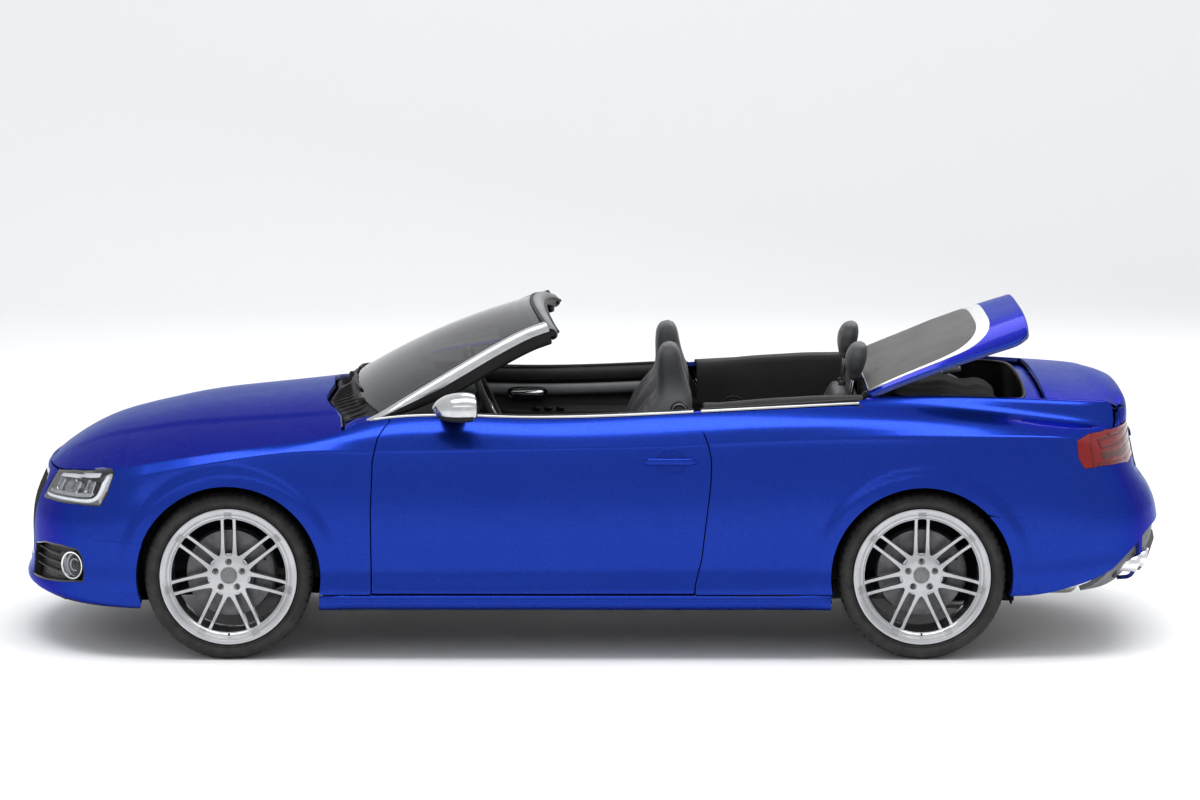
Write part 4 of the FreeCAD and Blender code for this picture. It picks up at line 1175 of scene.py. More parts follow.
# right front fender
x_af = at_angle(FX, ARCH_F, .264, 1)
arc_f = arc_pts(FX, WZ, ARCH_F, math.degrees(math.atan2(.4653 - WZ, -1.7815 - FX)), math.degrees(math.atan2(.264 - WZ, x_af - FX)), 60)
fender_out = cat(
    xz(*arc_f),                                   # front lower corner over the arch to the rear lower corner
    xz((-.95, .264), (-.8735, .264)), xz(*[(x - .0015, z) for x, z in DOOR_F[1:]]),
    uv_x([-.800, -.86, -.905], [.862, .862, .856]),
    shut_uv[::-1],
    xz(*LAMP_SIDE[::-1][1:]),
    xz(*BUMP_F[::-1][1:-1]))


def build_fenders():
    out = []
    for side, mir in (("right", False), ("left", True)):
        o = panel(side + "_fender_skin", fender_out, skin, gap=0.0022, mirror=mir, step=.016, rim=.011)
        out.append(finish_piece(o, "car_body", "paint", ("front_fenders",), ("cobalt_paint", "jamb_paint")))
    return out


door_out = cat(xz(*DOOR_F), uv_x([-.800, -.5, 0, .38, .42], [.862] * 5), xz(*DOOR_R[::-1][1:]), xz((.0, .268), (-.5, .268)))
HANDLE_CUP = [(.316 + .061 * math.cos(a), .793 + .050 * math.sin(a)) for a in np.linspace(0, 2 * math.pi, 28, endpoint=False)]


def build_door_skins():
    for side, mir in (("right", False), ("left", True)):
        o = panel(side + "_door_skin", door_out, skin, holes=[xz(*HANDLE_CUP)], gap=0.0024, hole_gap=0.0, mirror=mir, step=.017, rim=.011)
        finish_piece(o, side + "_door", "paint", (side + "_door",), ("cobalt_paint", "jamb_paint"))


def deck_edge(x):
    return np.interp(x, [1.09, 1.5, 1.8, 2.0, 2.15], [.690, .668, .640, .610, .560])


def crown_z(x):
    return lid_crown(x) - np.interp(x, [1.50, 1.62, 1.784, 1.90, 1.969, 2.04, 2.093, 2.13], [0, .010, .026, .031, .029, .023, .010, .005])


def lid_crown(x):
    return natural([1.05, 1.25, 1.45, 1.62, 1.784, 1.90, 1.969, 2.04, 2.093, 2.125], [1.058, 1.068, 1.074, 1.075, 1.070, 1.062, 1.054, 1.045, 1.034, 1.019])(x)


LAMP_REAR_SIDE = [(1.957, .757), (1.930, .800), (1.925, .872), (1.977, .890)]
x_ar = at_angle(RX, ARCH_R, .264, -1)
arc_r = arc_pts(RX, WZ, ARCH_R, math.degrees(math.atan2(.264 - WZ, x_ar - RX)) + 360, math.degrees(math.atan2(.589 - WZ, at_angle(RX, ARCH_R, .589, 1) - RX)), 60)
deck_uv = to_uv([(x, deck_edge(x) + .006) for x in np.linspace(2.115, 1.10, 30)], (0, 1))
BUMP_R = [(1.5655, .589), (1.62, .574), (1.70, .572), (1.80, .586), (1.885, .603), (1.945, .632), (1.972, .668), (1.972, .715), (1.957, .757)]
quarter_out = cat(
    xz(*arc_r[:-1]), xz(*BUMP_R), xz(*LAMP_REAR_SIDE[1:]), xz((2.05, .894)), yz_rear((.70, .895), (.57, .897), (.566, .925), (.565, .955)),
    deck_uv, uv_x([1.085, .9, .6, .40], [.862] * 4), xz(*[(x + .0015, z) for x, z in DOOR_R[::-1][:-1]]), xz((.4115, .264), (.60, .264)))
FLAP = [(1.36 + .082 * math.copysign(abs(math.cos(a)) ** .6, math.cos(a)), .822 + .072 * math.copysign(abs(math.sin(a)) ** .6, math.sin(a))) for a in np.linspace(0, 2 * math.pi, 40, endpoint=False)]


def build_quarters():
    for side, mir in (("right", False), ("left", True)):
        holes = [xz(*FLAP)] if side == "right" else []
        o = panel(side + "_quarter_skin", quarter_out, skin, holes=holes, gap=0.0022, hole_gap=0.0012, mirror=mir, step=.017, rim=.011)
        finish_piece(o, "car_body", "paint", ("quarter_panels",), ("cobalt_paint", "jamb_paint"))
        if holes:
            o = panel("fuel_flap", xz(*FLAP), skin, gap=0.0012, step=.015, rim=.008)
            finish_piece(o, "car_body", "paint", (), ("cobalt_paint", "jamb_paint"))


INTAKE = cat(yz_front((.40, .262), (.58, .268), (.70, .280)), xz((-2.025, .294), (-2.018, .330), (-2.028, .400), (-2.052, .428)), yz_front((.690, .432), (.56, .425), (.42, .400), (.385, .350), (.385, .290)))
GRILLE_PTS = [(.004, .318), (.20, .316), (.31, .320), (.352, .345), (.385, .45), (.398, .58), (.385, .655), (.34, .682), (.20, .686), (.004, .686)]
GRILLE = yz_front(*GRILLE_PTS)
GRILLE_IN = yz_front((.004, .334), (.20, .332), (.300, .336), (.337, .357), (.369, .452), (.382, .58), (.370, .646), (.333, .667), (.20, .670), (.004, .670))
bump_top = yz_front((.44, .6985), (.30, .6975), (.15, .6965), (.03, .696))
x_af2 = at_angle(FX, ARCH_F, .205, -1)
bumper_front_out = cat(
    np.stack([np.linspace(.001, 1.142, 24), [.0] * 24], 1),
    xz(*arc_pts(FX, WZ, ARCH_F, math.degrees(math.atan2(.222 - WZ, at_angle(FX, ARCH_F, .222, -1) - FX)) + 360, math.degrees(math.atan2(.4653 - WZ, -1.7815 - FX)), 14)),
    xz(*BUMP_F[1:-1]), lamp_low[::-1], yz_front((.452, .64), (.455, .690)), bump_top, yz_front((.004, .696)), yz_front(*GRILLE_PTS[::-1]))


def half_panel(name, outline, holes, mats, body, slot, rep, **kw):
    """A panel that meets its own mirror image at the middle of the car."""
    for side, mir in (("right", False), ("left", True)):
        o = panel(side + "_" + name, outline, skin, holes=holes, mirror=mir, **kw)
        finish_piece(o, body, slot, rep, mats)


# ------------------------------------------------------------------ bumpers and their openings
def offset_fn(fn, d):
    def g(u, v):
        P, N = fn(u, v)
        return P + N * d, N
    return g


def build_front_bumper():
    half_panel("bumper_skin", bumper_front_out, [INTAKE], ("cobalt_paint", "jamb_paint"), "car_body", "paint", ("front_bumper",),
               gap=.0, hole_gap=0, step=.018, rim=.011, fold=(.0012, .022))
    # intake pockets: sheet set back behind each opening, walls by the panel's own fold
    mesh_r = panel("right_intake_mesh", inset(resample(INTAKE, .012), -.006), offset_fn(skin, -.034), step=.02, rim=.012, fold=(.001, .004))
    mesh_l = flip_y(mesh_r, "left_intake_mesh")
    for o in (mesh_r, mesh_l):
        finish_piece(o, "car_body", "black_trim", (), ("honeycomb", "black_plastic"))
    for side, mir in (("right", False), ("left", True)):
        outer = resample(INTAKE, .010)
        ringo = panel(side + "_intake_rim", inset(outer, -.0005), skin, holes=[inset(outer, .007)], step=.02, rim=.009, fold=(.001, .030), offset=-.0015, mirror=mir)
        finish_piece(ringo, "car_body", "black_trim", (), ("black_gloss", "black_plastic"))
        # three slats across the inner half of the pocket
        for k, z in enumerate((.318, .352, .386)):
            a = yz_front((.40, z), (.50, z + .002), (.60, z + .004), (.655, z + .005))
            P, N = skin(a[:, 0], a[:, 1])
            P = P - N * .020
            if mir:
                P[:, 1] *= -1
            s = sweep("%s_intake_slat_%d" % (side, k), P, [(-.004, -.003), (.010, -.003), (.010, .003), (-.004, .003)], m="black_plastic")
            finish_piece(bevel(s, .001), "car_body", "black_trim")
    # fog lamps: chrome ring, bowl and lens facing out of the skin
    for side, sg in (("right", 1), ("left", -1)):
        uv = xz((-2.081, .353))
        P, N = skin(uv[:, 0], uv[:, 1])
        P, N = P[0], N[0]
        n = Vector((N[0], N[1] * sg, N[2] * .2)).normalized()
        n = (n * .8 + Vector((-.15, .45 * sg, 0))).normalized()
        c = Vector((P[0], P[1] * sg, P[2])) - n * .018
        ringp = lathe(side + "_fog_ring", [(.050, -.030), (.0575, -.012), (.0585, .004), (.0555, .010), (.0500, .009), (.0470, .002), (.0455, -.012)], 48, c, n, "chrome")
        finish_piece(ringp, "car_body", "bright_steel")
        bowl = lathe(side + "_fog_bowl", [(.0, -.030), (.016, -.030), (.020, -.014), (.0225, -.014), (.030, -.030), (.0455, -.010)], 40, c, n, "lamp_white")
        finish_piece(bowl, "car_body", "lamp_glass")
        bulb = lathe(side + "_fog_lens", [(.0, .006), (.018, .0045), (.034, .0005), (.0455, -.006)], 40, c, n, "lamp_clear")
        finish_piece(bulb, "car_body", "lamp_glass")
    # lower lip under the nose
    for side, mir in (("right", False), ("left", True)):
        uu = np.linspace(.001, 1.10, 26)
        P, N = skin(uu, np.full(26, .012))
        P = P - N * .004
        P[:, 2] += .002
        if mir:
            P[:, 1] *= -1
        s = sweep(side + "_nose_lip", P, [(-.020, -.010), (.020, -.010), (.020, .006), (-.020, .008)], m="black_plastic")
        finish_piece(bevel(s, .003), "car_body", "black_trim")


def build_grille():
    g = resample(GRILLE, .012)
    frame_out = inset(g, -.001)
    for side, mir in (("right", False), ("left", True)):
        fr = cat(GRILLE, GRILLE_IN[::-1])
        o = panel(side + "_grille_frame", fr, skin, step=.02, rim=.010, fold=(.003, .024), offset=-.004, mirror=mir)
        finish_piece(o, "car_body", "bright_steel", ("front_grille",), ("chrome", "black_plastic"))
        back = panel(side + "_grille_back", inset(g, -.004), offset_fn(skin, -.052), step=.03, rim=.02, fold=(.001, .0), mirror=mir)
        finish_piece(back, "car_body", "black_trim", (), ("black_plastic",))
    # upright slats, generic
    k = 0
    for y in np.arange(-.36, .361, .036):
        zs = np.linspace(.335 if abs(y) < .33 else .40, .672, 14)
        uv = yz_front(*[(max(abs(y), .004), z) for z in zs])
        P, N = skin(uv[:, 0], uv[:, 1])
        P = P - N * .020
        P[:, 1] = y
        s = sweep("grille_slat_%02d" % k, P, [(-.0035, -.014), (.0035, -.014), (.0045, .010), (.0, .014), (-.0045, .010)], up=(-1, 0, 0), m="black_gloss")
        finish_piece(s, "car_body", "black_trim")
        k += 1
    for z in (.43, .54, .64):
        ys = np.linspace(-.37, .37, 25)
        uv = yz_front(*[(max(abs(y), .004), z) for y in ys])
        P, N = skin(uv[:, 0], uv[:, 1])
        P = P - N * .024
        P[:, 1] = ys
        s = sweep("grille_bar_%03d" % int(z * 1000), P, [(-.012, -.004), (.010, -.004), (.010, .004), (-.012, .004)], m="black_gloss")
        finish_piece(bevel(s, .0015), "car_body", "black_trim")


bump_low_side = [(1.6555, .2555), (1.74, .256), (1.82, .268), (1.898, .288), (1.96, .304), (2.016, .323), (2.075, .350), (2.135, .400)]
bump_low = cat(xz(*bump_low_side), yz_rear((.62, .470), (.54, .487), (.40, .492), (.20, .492), (.004, .492)))
arc_rb = arc_pts(RX, WZ, ARCH_R, math.degrees(math.atan2(.589 - WZ, at_angle(RX, ARCH_R, .589, 1) - RX)), math.degrees(math.atan2(.256 - WZ, at_angle(RX, ARCH_R, .256, 1) - RX)), 30)
lamp_rear_low = cat(xz((1.957, .757), (2.068, .760)), yz_rear((.60, .7505), (.46, .748), (.338, .746)))
bumper_rear_out = cat(
    xz(*BUMP_R[::-1][:-1]), xz(*arc_rb[1:]), bump_low,
    yz_rear((.004, .655), (.20, .655), (.332, .656), (.336, .745)), lamp_rear_low[::-1][1:-1])
DIFF = cat(xz((1.70, .252), (1.80, .262), (1.90, .275), (2.00, .290)), yz_rear((.70, .300), (.55, .302), (.35, .300), (.15, .300), (.004, .300)))


def build_rear_bumper():
    half_panel("tail_bumper_skin", bumper_rear_out, [], ("cobalt_paint", "jamb_paint"), "car_body", "paint", ("rear_bumper",),
               gap=.0, step=.018, rim=.011, fold=(.0012, .024))
    # grey diffuser: its own surface set in behind the bumper's lower edge
    ys = np.array([-.80, -.74, -.66, -.52, -.40, -.22, 0, .22, .40, .52, .66, .74, .80])
    top = np.interp(np.abs(ys), [0, .40, .54, .62, .72, .78, .82], [.505, .505, .500, .482, .42, .35, .31])
    rows = []
    for f, back in ((0, .012), (.25, .016), (.5, .030), (.75, .055), (1.0, .10)):
        row = []
        for y, zt in zip(ys, top):
            z = zt + (.262 - zt) * f
            uv = to_uv([(abs(y) if abs(y) > .004 else .004, max(z, .30))], (1, 2), bias="rear")
            P, N = skin(uv[:, 0], uv[:, 1])
            x = P[0][0] if abs(y) < .79 else P[0][0]
            row.append((x - back - .006, y, z))
        rows.append(row)
    sf = Surf(rows).up((1, 0, 0))
    sx, sy = .055, 1.6 / 12

    def dif(u, v):
        return sf(u / sx, v / sy)
    o = panel("diffuser", [(0, .02), (4 * sx, .02), (4 * sx, 12 * sy - .02), (0, 12 * sy - .02)], dif, step=.03, rim=.02, fold=(.003, .02))
    finish_piece(o, "car_body", "black_trim", (), ("grey_plastic", "grey_plastic"))
    for k, y in enumerate((-.30, -.18, -.06, .06, .18, .30)):
        pts = [(2.285, .430), (2.292, .395), (2.262, .300), (2.235, .262), (2.150, .258), (2.16, .40)]
        f = prism("diffuser_fin_%d" % k, pts, "y", y - .006, y + .006, r=.003, m="grey_plastic")
        finish_piece(f, "car_body", "black_trim")
    # twin oval tips each side
    for side, sg in (("right", 1), ("left", -1)):
        for k, y in enumerate((.515, .645)):
            c = Vector((2.10, sg * y, .352))
            xo = 2.232 if k == 0 else 2.188
            prof = [(-.14, .030, .9), (-.05, .043, 1), (0, .045, 1), (.003, .0435, 1), (0, .0415, 1), (-.05, .040, 1), (-.12, .038, 1)]
            verts, faces = [], []
            n = 36
            for x, r, s in prof:
                for i in range(n):
                    a = 2 * math.pi * i / n
                    verts.append((xo + x + .010 * math.sin(a) * (1 if x > -.1 else 0), sg * y + r * 1.22 * math.cos(a), .352 + r * .86 * math.sin(a)))
            for j in range(len(prof) - 1):
                for i in range(n):
                    i2 = (i + 1) % n
                    faces.append((j * n + i, j * n + i2, (j + 1) * n + i2, (j + 1) * n + i))
            o = mesh_obj("%s_exhaust_tip_%d" % (side, k), verts, faces)
            o.data.set_sharp_from_angle(angle=math.radians(60))
            finish_piece(paint_faces(o, "chrome"), "car_body", "bright_steel")
        dark = lathe(side + "_exhaust_inner", [(.0, 0), (.03, 0)], 8, (2.08, sg * .58, .352), (1, 0, 0), "cast_dark")
        bpy.data.objects.remove(dark)
        sur = prism(side + "_exhaust_surround", [(sg * (.58 + .152 * math.copysign(abs(math.cos(a)) ** .45, math.cos(a))), .352 + .060 * math.copysign(abs(math.sin(a)) ** .6, math.sin(a))) for a in np.linspace(0, 2 * math.pi, 48, endpoint=False)], "x", 2.085, 2.10, r=.004, m="cast_dark")
        finish_piece(sur, "car_body", "bright_steel")


# ------------------------------------------------------------------ bonnet, boot lid, roof-compartment lid
shutP, _ = skin(shut_uv[:, 0], shut_uv[:, 1])
# the bonnet's front edge over the lamps and grille
edge_front = yz_front(*[(y, z) for y, z in [(.80, .7445), (.72, .738), (.62, .7255), (.52, .711), (.42, .703), (.30, .7015), (.18, .7005), (.004, .700)]])
edgeP, _ = skin(edge_front[:, 0], edge_front[:, 1])
EDGE = np.concatenate([edgeP[::-1], shutP])          # from the middle of the nose round to the cowl corner
EDGE = EDGE[np.argsort(EDGE[:, 0])]
bx = np.array([-2.230, -2.205, -2.150, -2.027, -1.799, -1.614, -1.366, -1.119, -.995, -.90])
bz = np.array([.672, .705, .752, .823, .889, .927, .955, .981, .994, 1.001])
BCROWN = natural(bx, bz)


def bonnet_z(x, y):
    ye = np.interp(x, EDGE[:, 0], EDGE[:, 1])
    ze = np.interp(x, EDGE[:, 0], EDGE[:, 2])
    zc = np.maximum(BCROWN(x), ze + .0005)
    f = np.clip(np.abs(y) / np.maximum(ye, .02), 0, 1.15)
    z = ze + (zc - ze) * (1 - f ** 2.5)
    # raised middle between two soft creases
    c = np.interp(x, [-2.2, -1.9, -1.5, -.95], [.26, .40, .52, .60])
    w = np.interp(x, [-2.2, -2.05, -1.8, -1.2, -.95], [0, .4, 1, 1, .5])
    t = np.clip((c - np.abs(y)) / .07 + .5, 0, 1)
    return z + w * (.007 * t * t * (3 - 2 * t) - .004)


def build_bonnet():
    half = EDGE[EDGE[:, 0] > -2.2132]
    e = [(p[0], p[1]) for p in EDGE]
    side = [p for p in e if p[0] <= -.985]
    rear = [(-1.004, .64), (-1.030, .55), (-1.058, .45), (-1.072, .34), (-1.066, .18), (-1.056, 0)]
    out = side + [(-.985, side[-1][1] - .004)] * 0 + rear
    full = out + [(x, -y) for x, y in out[::-1] if abs(y) > .006]
    o = panel("bonnet_skin", full, height(bonnet_z), gap=.0028, step=.024, rim=.012, fold=(.0015, .018))
    finish_piece(o, "bonnet", "paint", ("bonnet",), ("cobalt_paint", "jamb_paint"))
    # pressed inner panel under the skin
    inner = [(max(x, -2.13) if x < -2.13 else x, y * .90) for x, y in out]
    inner = [(x, y) for x, y in inner if x > -2.12]
    fulli = inner + [(x, -y) for x, y in inner[::-1] if abs(y) > .006]
    holes = [[(-1.95, .06), (-1.95, .40), (-1.55, .52), (-1.17, .58), (-1.17, .06)]]
    holes.append([(x, -y) for x, y in holes[0]][::-1])
    oi = panel("bonnet_inner", fulli, height(lambda x, y: bonnet_z(x, y) - .020, sign=-1.0), holes=holes, step=.05, rim=.03, fold=(.003, .010))
    finish_piece(oi, "bonnet", "paint", (), ("jamb_paint", "jamb_paint"))
    pad = panel("bonnet_blanket", [(-1.97, .42), (-1.55, .55), (-1.14, .61), (-1.14, -.61), (-1.55, -.55), (-1.97, -.42)], height(lambda x, y: bonnet_z(x, y) - .013, sign=-1.0), step=.05, rim=.03, fold=(.004, .004))
    finish_piece(pad, "bonnet", "paint", (), ("liner_felt", "liner_felt"))


def deck_z(x, y, ye_add=.0, crown=crown_z):
    ye = deck_edge(x) + ye_add
    uv = DECKSKIN(x)
    ze = uv
    zc = crown(x)
    f = np.clip(np.abs(y) / ye, 0, 1.1)
    return ze + (zc - ze) * (1 - f ** 2.2)


_dx = np.linspace(1.08, 2.09, 60)
_duv = to_uv([(x, deck_edge(x) + .004) for x in _dx], (0, 1))
_dP, _ = skin(_duv[:, 0], _duv[:, 1])


def DECKSKIN(x):
    return np.interp(x, _dx, _dP[:, 2])


LID_Q = Matrix.Translation((1.072, 0, 1.035)) @ Matrix.Rotation(math.radians(-20), 4, (0, 1, 0)) @ Matrix.Translation((-1.072, 0, -1.035))


def raise_lid(o):
    o.data.transform(LID_Q)
    return o


def smooth_outline(pts, n=6):
    return spl(pts, n, closed=True)


TUB_X = 1.752


def lid_out(dy, x0, x1, corner=0, round_=False):
    """Plan outline of the lid or one of its zones: side inset dy, front x0, rear x1."""
    if round_:
        shape = [(-.24, .0), (-.17, .012), (-.11, .040), (-.060, .095), (-.028, .17), (-.010, .27), (-.002, .40), (0, 1)]
    else:
        shape = [(-.142, .0), (-.102, .003), (-.069, .012), (-.044, .031), (-.024, .063), (-.012, .125), (-.005, .23), (-.001, .40), (0, 1)]
    xc = x1 + shape[0][0]
    yc = float(deck_edge(xc)) - dy
    pts = [(x0, float(deck_edge(x0)) - dy)]
    for x in np.linspace(x0 + .05, xc, 8)[:-1]:
        pts.append((x, float(deck_edge(x)) - dy))
    tail = [(x1 + a, max(yc - b, 0)) for a, b in shape[:-1]] + [(x1, 0.0)]
    tail = spl(tail, 4)
    pts += [(float(x), float(y)) for x, y in tail]
    pts[-1] = (x1, 0.0)
    return pts + [(x, -y) for x, y in pts[::-1][1:]]


def build_roof_lid():
    def zf(x, y):
        k = np.clip((x - 1.16) / .30, 0, 1)
        return DECKSKIN(x) + (lid_crown(x) + .010 * k - DECKSKIN(x)) * (1 - np.clip(np.abs(y) / deck_edge(x), 0, 1.1) ** (2.2 + 1.4 * k))
    outer = lid_out(.0, 1.106, 1.802)
    strip_o = lid_out(.052, 1.106, 1.668, round_=True)
    grey_o = lid_out(.072, 1.106, 1.615, round_=True)
    # blue band, silver strip and grey middle are separate sheets side by side
    blue = panel("lid_band", outer, height(zf), holes=[[(min(max(x, 1.1075), 9), y) for x, y in strip_o]], gap=.001, step=.02, rim=.012, fold=(.006, .020))
    raise_lid(blue)
    finish_piece(blue, "roof_compartment_lid", "paint", ("roof_compartment_lid",), ("cobalt_paint", "jamb_paint"))
    sil = panel("lid_strip", [(x + (.0015 if x < 1.11 else 0), y) for x, y in strip_o], height(zf), holes=[[(min(max(x, 1.109), 9), y) for x, y in grey_o]], gap=.0008, step=.02, rim=.012, fold=(.002, .010), offset=.0015)
    raise_lid(sil)
    finish_piece(sil, "roof_compartment_lid", "satin_trim", (), ("satin_alu", "black_plastic"))
    gr = panel("lid_centre", [(x + (.003 if x < 1.11 else 0), y) for x, y in grey_o], height(zf), gap=.001, step=.022, rim=.012, fold=(.002, .012), offset=-.0005)
    raise_lid(gr)
    finish_piece(gr, "roof_compartment_lid", "black_trim", (), ("lid_grey", "black_plastic"))
    # inner lining with ribs
    inn = lid_out(.042, 1.122, 1.750)
    li = panel("lid_lining", inn, height(lambda x, y: zf(x, y) - .0165, sign=-1.0), step=.035, rim=.02, fold=(.001, .004))
    raise_lid(li)
    finish_piece(li, "roof_compartment_lid", "black_trim", (), ("black_plastic", "black_plastic"))
    for k, x in enumerate((1.24, 1.42, 1.60)):
        ys = np.linspace(-.54, .54, 15)
        P = [(x, y, float(zf(np.array([x]), np.array([y]))[0]) - .021) for y in ys]
        s = sweep("lid_rib_%d" % k, P, [(-.02, -.006), (.02, -.006), (.014, .006), (-.014, .006)], m="black_plastic")
        raise_lid(bevel(s, .003))
        finish_piece(s, "roof_compartment_lid", "black_trim")
    for sg in (-1, 1):
        P = [(x, sg * (float(deck_edge(x)) - .066), float(zf(np.array([x]), np.array([deck_edge(x) - .066]))[0]) - .021) for x in np.linspace(1.16, 1.62, 12)]
        s = sweep("lid_edge_rib_%d" % (sg + 1), P, [(-.018, -.003), (.018, -.003), (.012, .006), (-.012, .006)], m="jamb_paint")
        raise_lid(bevel(s, .003))
        finish_piece(s, "roof_compartment_lid", "paint")


BOOT_Y = np.array([-.565, -.50, -.42, -.334, -.24, -.12, 0, .12, .24, .334, .42, .50, .565])


def boot_surface():
    rows_z_face = [.975, .95, .925, .899, .86, .82, .78, .74, .70, .664]
    cols = []
    for y in BOOT_Y:
        ay = max(abs(y), .004)
        lipx = 2.148 - .035 * (ay / .565) ** 2.5
        xs = [1.815, 1.88, 1.94, 2.00, 2.05, 2.09]
        col = []
        for x in xs:
            xx = 1.815 + (x - 1.815) * (lipx - .035 - 1.815) / (2.09 - 1.815)
            s_ = deck_edge(1.815 + (x - 1.815) * .98) / .640
            yy = y * (float(deck_edge(xx)) / .565) if abs(y) > .5 else y * (1 + (float(deck_edge(xx)) / .565 - 1) * (ay / .565) ** 2)
            col.append((xx, yy, float(deck_z(np.array([xx]), np.array([yy]))[0])))
        uv = to_uv([(ay, z) for z in rows_z_face], (1, 2), bias="rear")
        P, N = skin(uv[:, 0], uv[:, 1])
        zl = col[-1][2]
        zt = float(P[0][2])
        col.append((lipx - .006, y * 1.005, zl - .010 - .006 * (ay / .565)))
        col.append((lipx + .010, y, (zl + zt) / 2 - .002))
        for p in P:
            col.append((p[0] + .0005, y, p[2]))
        cols.append(col)
    g = np.array(cols).transpose(1, 0, 2)
    return g


def build_boot_lid():
    g = boot_surface()
    sf = Surf(g).up((.3, 0, 1))
    n = g.shape[0]
    mid = g[:, 6, :]
    s = np.concatenate([[0], np.cumsum(np.linalg.norm(np.diff(mid, axis=0), axis=1))])
    kk = np.arange(n)
    yk = np.arange(len(BOOT_Y))

    def fn(u, v):
        return sf(np.interp(u, s, kk), np.interp(v, BOOT_Y, yk))
    i_lamp = n - 7                                   # row at z .899
    s_l, s_end = s[i_lamp], s[-1]
    half = [(0.0, 0.0), (0.0, .564), (s_l - .002, .564), (s_l - .002, .345), (s_l + .014, .331), (s_end, .326), (s_end, 0.0)]
    out = half + [(a, -b) for a, b in half[::-1] if b > 0]
    hole = None
    o = panel("boot_lid_skin", out, fn, gap=.0022, step=.02, rim=.012, fold=(.0015, .018), no_fold=lambda Q: (Q[:, 0] > 2.075) & (Q[:, 2] > .94))
    finish_piece(o, "boot_lid", "paint", ("boot_lid",), ("cobalt_paint", "jamb_paint"))
    inn = [(a * .97 + .01, b * .95) for a, b in out]
    oi = panel("boot_lid_inner", inn, lambda u, v: (fn(u, v)[0] - fn(u, v)[1] * .022, -fn(u, v)[1]), step=.04, rim=.025, fold=(.003, .006))
    finish_piece(oi, "boot_lid", "paint", (), ("jamb_paint", "jamb_paint"))
    # blank plate in a shallow tray, with a light strip over it
    sp = np.interp(.745, mid[::-1, 2][:8], s[::-1][:8])
    pl = panel("rear_plate", [(sp - .056, -.258), (sp - .056, .258), (sp + .056, .258), (sp + .056, -.258)], fn, step=.03, rim=.02, fold=(.002, .004), offset=.006)
    finish_piece(pl, "boot_lid", "paint", (), ("plate_white", "black_plastic"))
    tray = panel("rear_plate_tray", [(sp - .062, -.266), (sp - .062, .266), (sp + .062, .266), (sp + .062, -.266)], fn, step=.03, rim=.02, fold=(.002, .004), offset=.003)
    finish_piece(tray, "boot_lid", "black_trim", (), ("black_plastic", "black_plastic"))
    garn = panel("rear_handle_garnish", [(sp - .092, -.29), (sp - .092, .29), (sp - .072, .285), (sp - .072, -.285)], fn, step=.03, rim=.02, fold=(.003, .010), offset=.012)
    finish_piece(garn, "boot_lid", "paint", (), ("cobalt_paint", "black_plastic"))
    # high brake lamp under the lip
    sb = np.interp(.952, mid[::-1, 2][:11], s[::-1][:11])
    bl = panel("high_brake_lamp", [(sb - .008, -.20), (sb - .008, .20), (sb + .008, .20), (sb + .008, -.20)], fn, step=.03, rim=.015, fold=(.002, .004), offset=.0025)
    finish_piece(bl, "boot_lid", "red_lens", (), ("red_lamp", "black_plastic"))

p = mat("mirror_cap").set(metal=0.95, rough=0.17, coat=0.3, coat_rough=0.05)
v = p.coords()
p.link(p.mix(p.grey(p.noise(v, 40, 3).outputs["Fac"], 0, 1, 0.35, 0.65), (0.52, 0.53, 0.54), (0.60, 0.61, 0.62)), p.b.inputs["Base Color"])
p.link(p.grey(p.noise(v, 160, 3).outputs["Fac"], 0.13, 0.21), p.b.inputs["Roughness"])
p = mat("led_white").set(rough=0.18, coat=0.8, emit=0.35)
v = p.coords()
p.link(p.mix(p.grey(p.noise(v, 90, 2).outputs["Fac"], 0, 1, 0.3, 0.7), (0.78, 0.80, 0.84), (0.92, 0.94, 0.97)), p.b.inputs["Base Color"])
p.b.inputs["Emission Color"].default_value = (0.9, 0.95, 1.0, 1)

# darker alloy: painted shade on the wheels' lip pockets, and the own grey of the lamp bowls and projector backs
p = mat("alloy_shadow").set(metal=0.9, rough=0.42)
v = p.coords()
p.link(p.mix(p.grey(p.noise(v, 60, 3).outputs["Fac"], 0, 1, 0.3, 0.7), (0.30, 0.305, 0.31), (0.38, 0.385, 0.39)), p.b.inputs["Base Color"])
p.link(p.grey(p.noise(v, 300, 3).outputs["Fac"], 0.36, 0.50), p.b.inputs["Roughness"])
p = mat("wheel_cap").set(metal=0.4, rough=0.38, coat=0.4, coat_rough=0.1)
v = p.coords()
p.link(p.mix(p.grey(p.noise(v, 80, 3).outputs["Fac"], 0, 1, 0.3, 0.7), (0.13, 0.135, 0.14), (0.18, 0.185, 0.19)), p.b.inputs["Base Color"])
p.link(p.grey(p.noise(v, 400, 3).outputs["Fac"], 0.32, 0.45), p.b.inputs["Roughness"])
p = mat("caliper_dark").set(metal=0.3, rough=0.45, coat=0.2)
v = p.coords()
p.link(p.mix(p.grey(p.noise(v, 70, 3).outputs["Fac"], 0, 1, 0.3, 0.7), (0.045, 0.046, 0.048), (0.075, 0.076, 0.08)), p.b.inputs["Base Color"])
p.bump(p.noise(v, 500, 3).outputs["Fac"], 0.2, 0.0004)


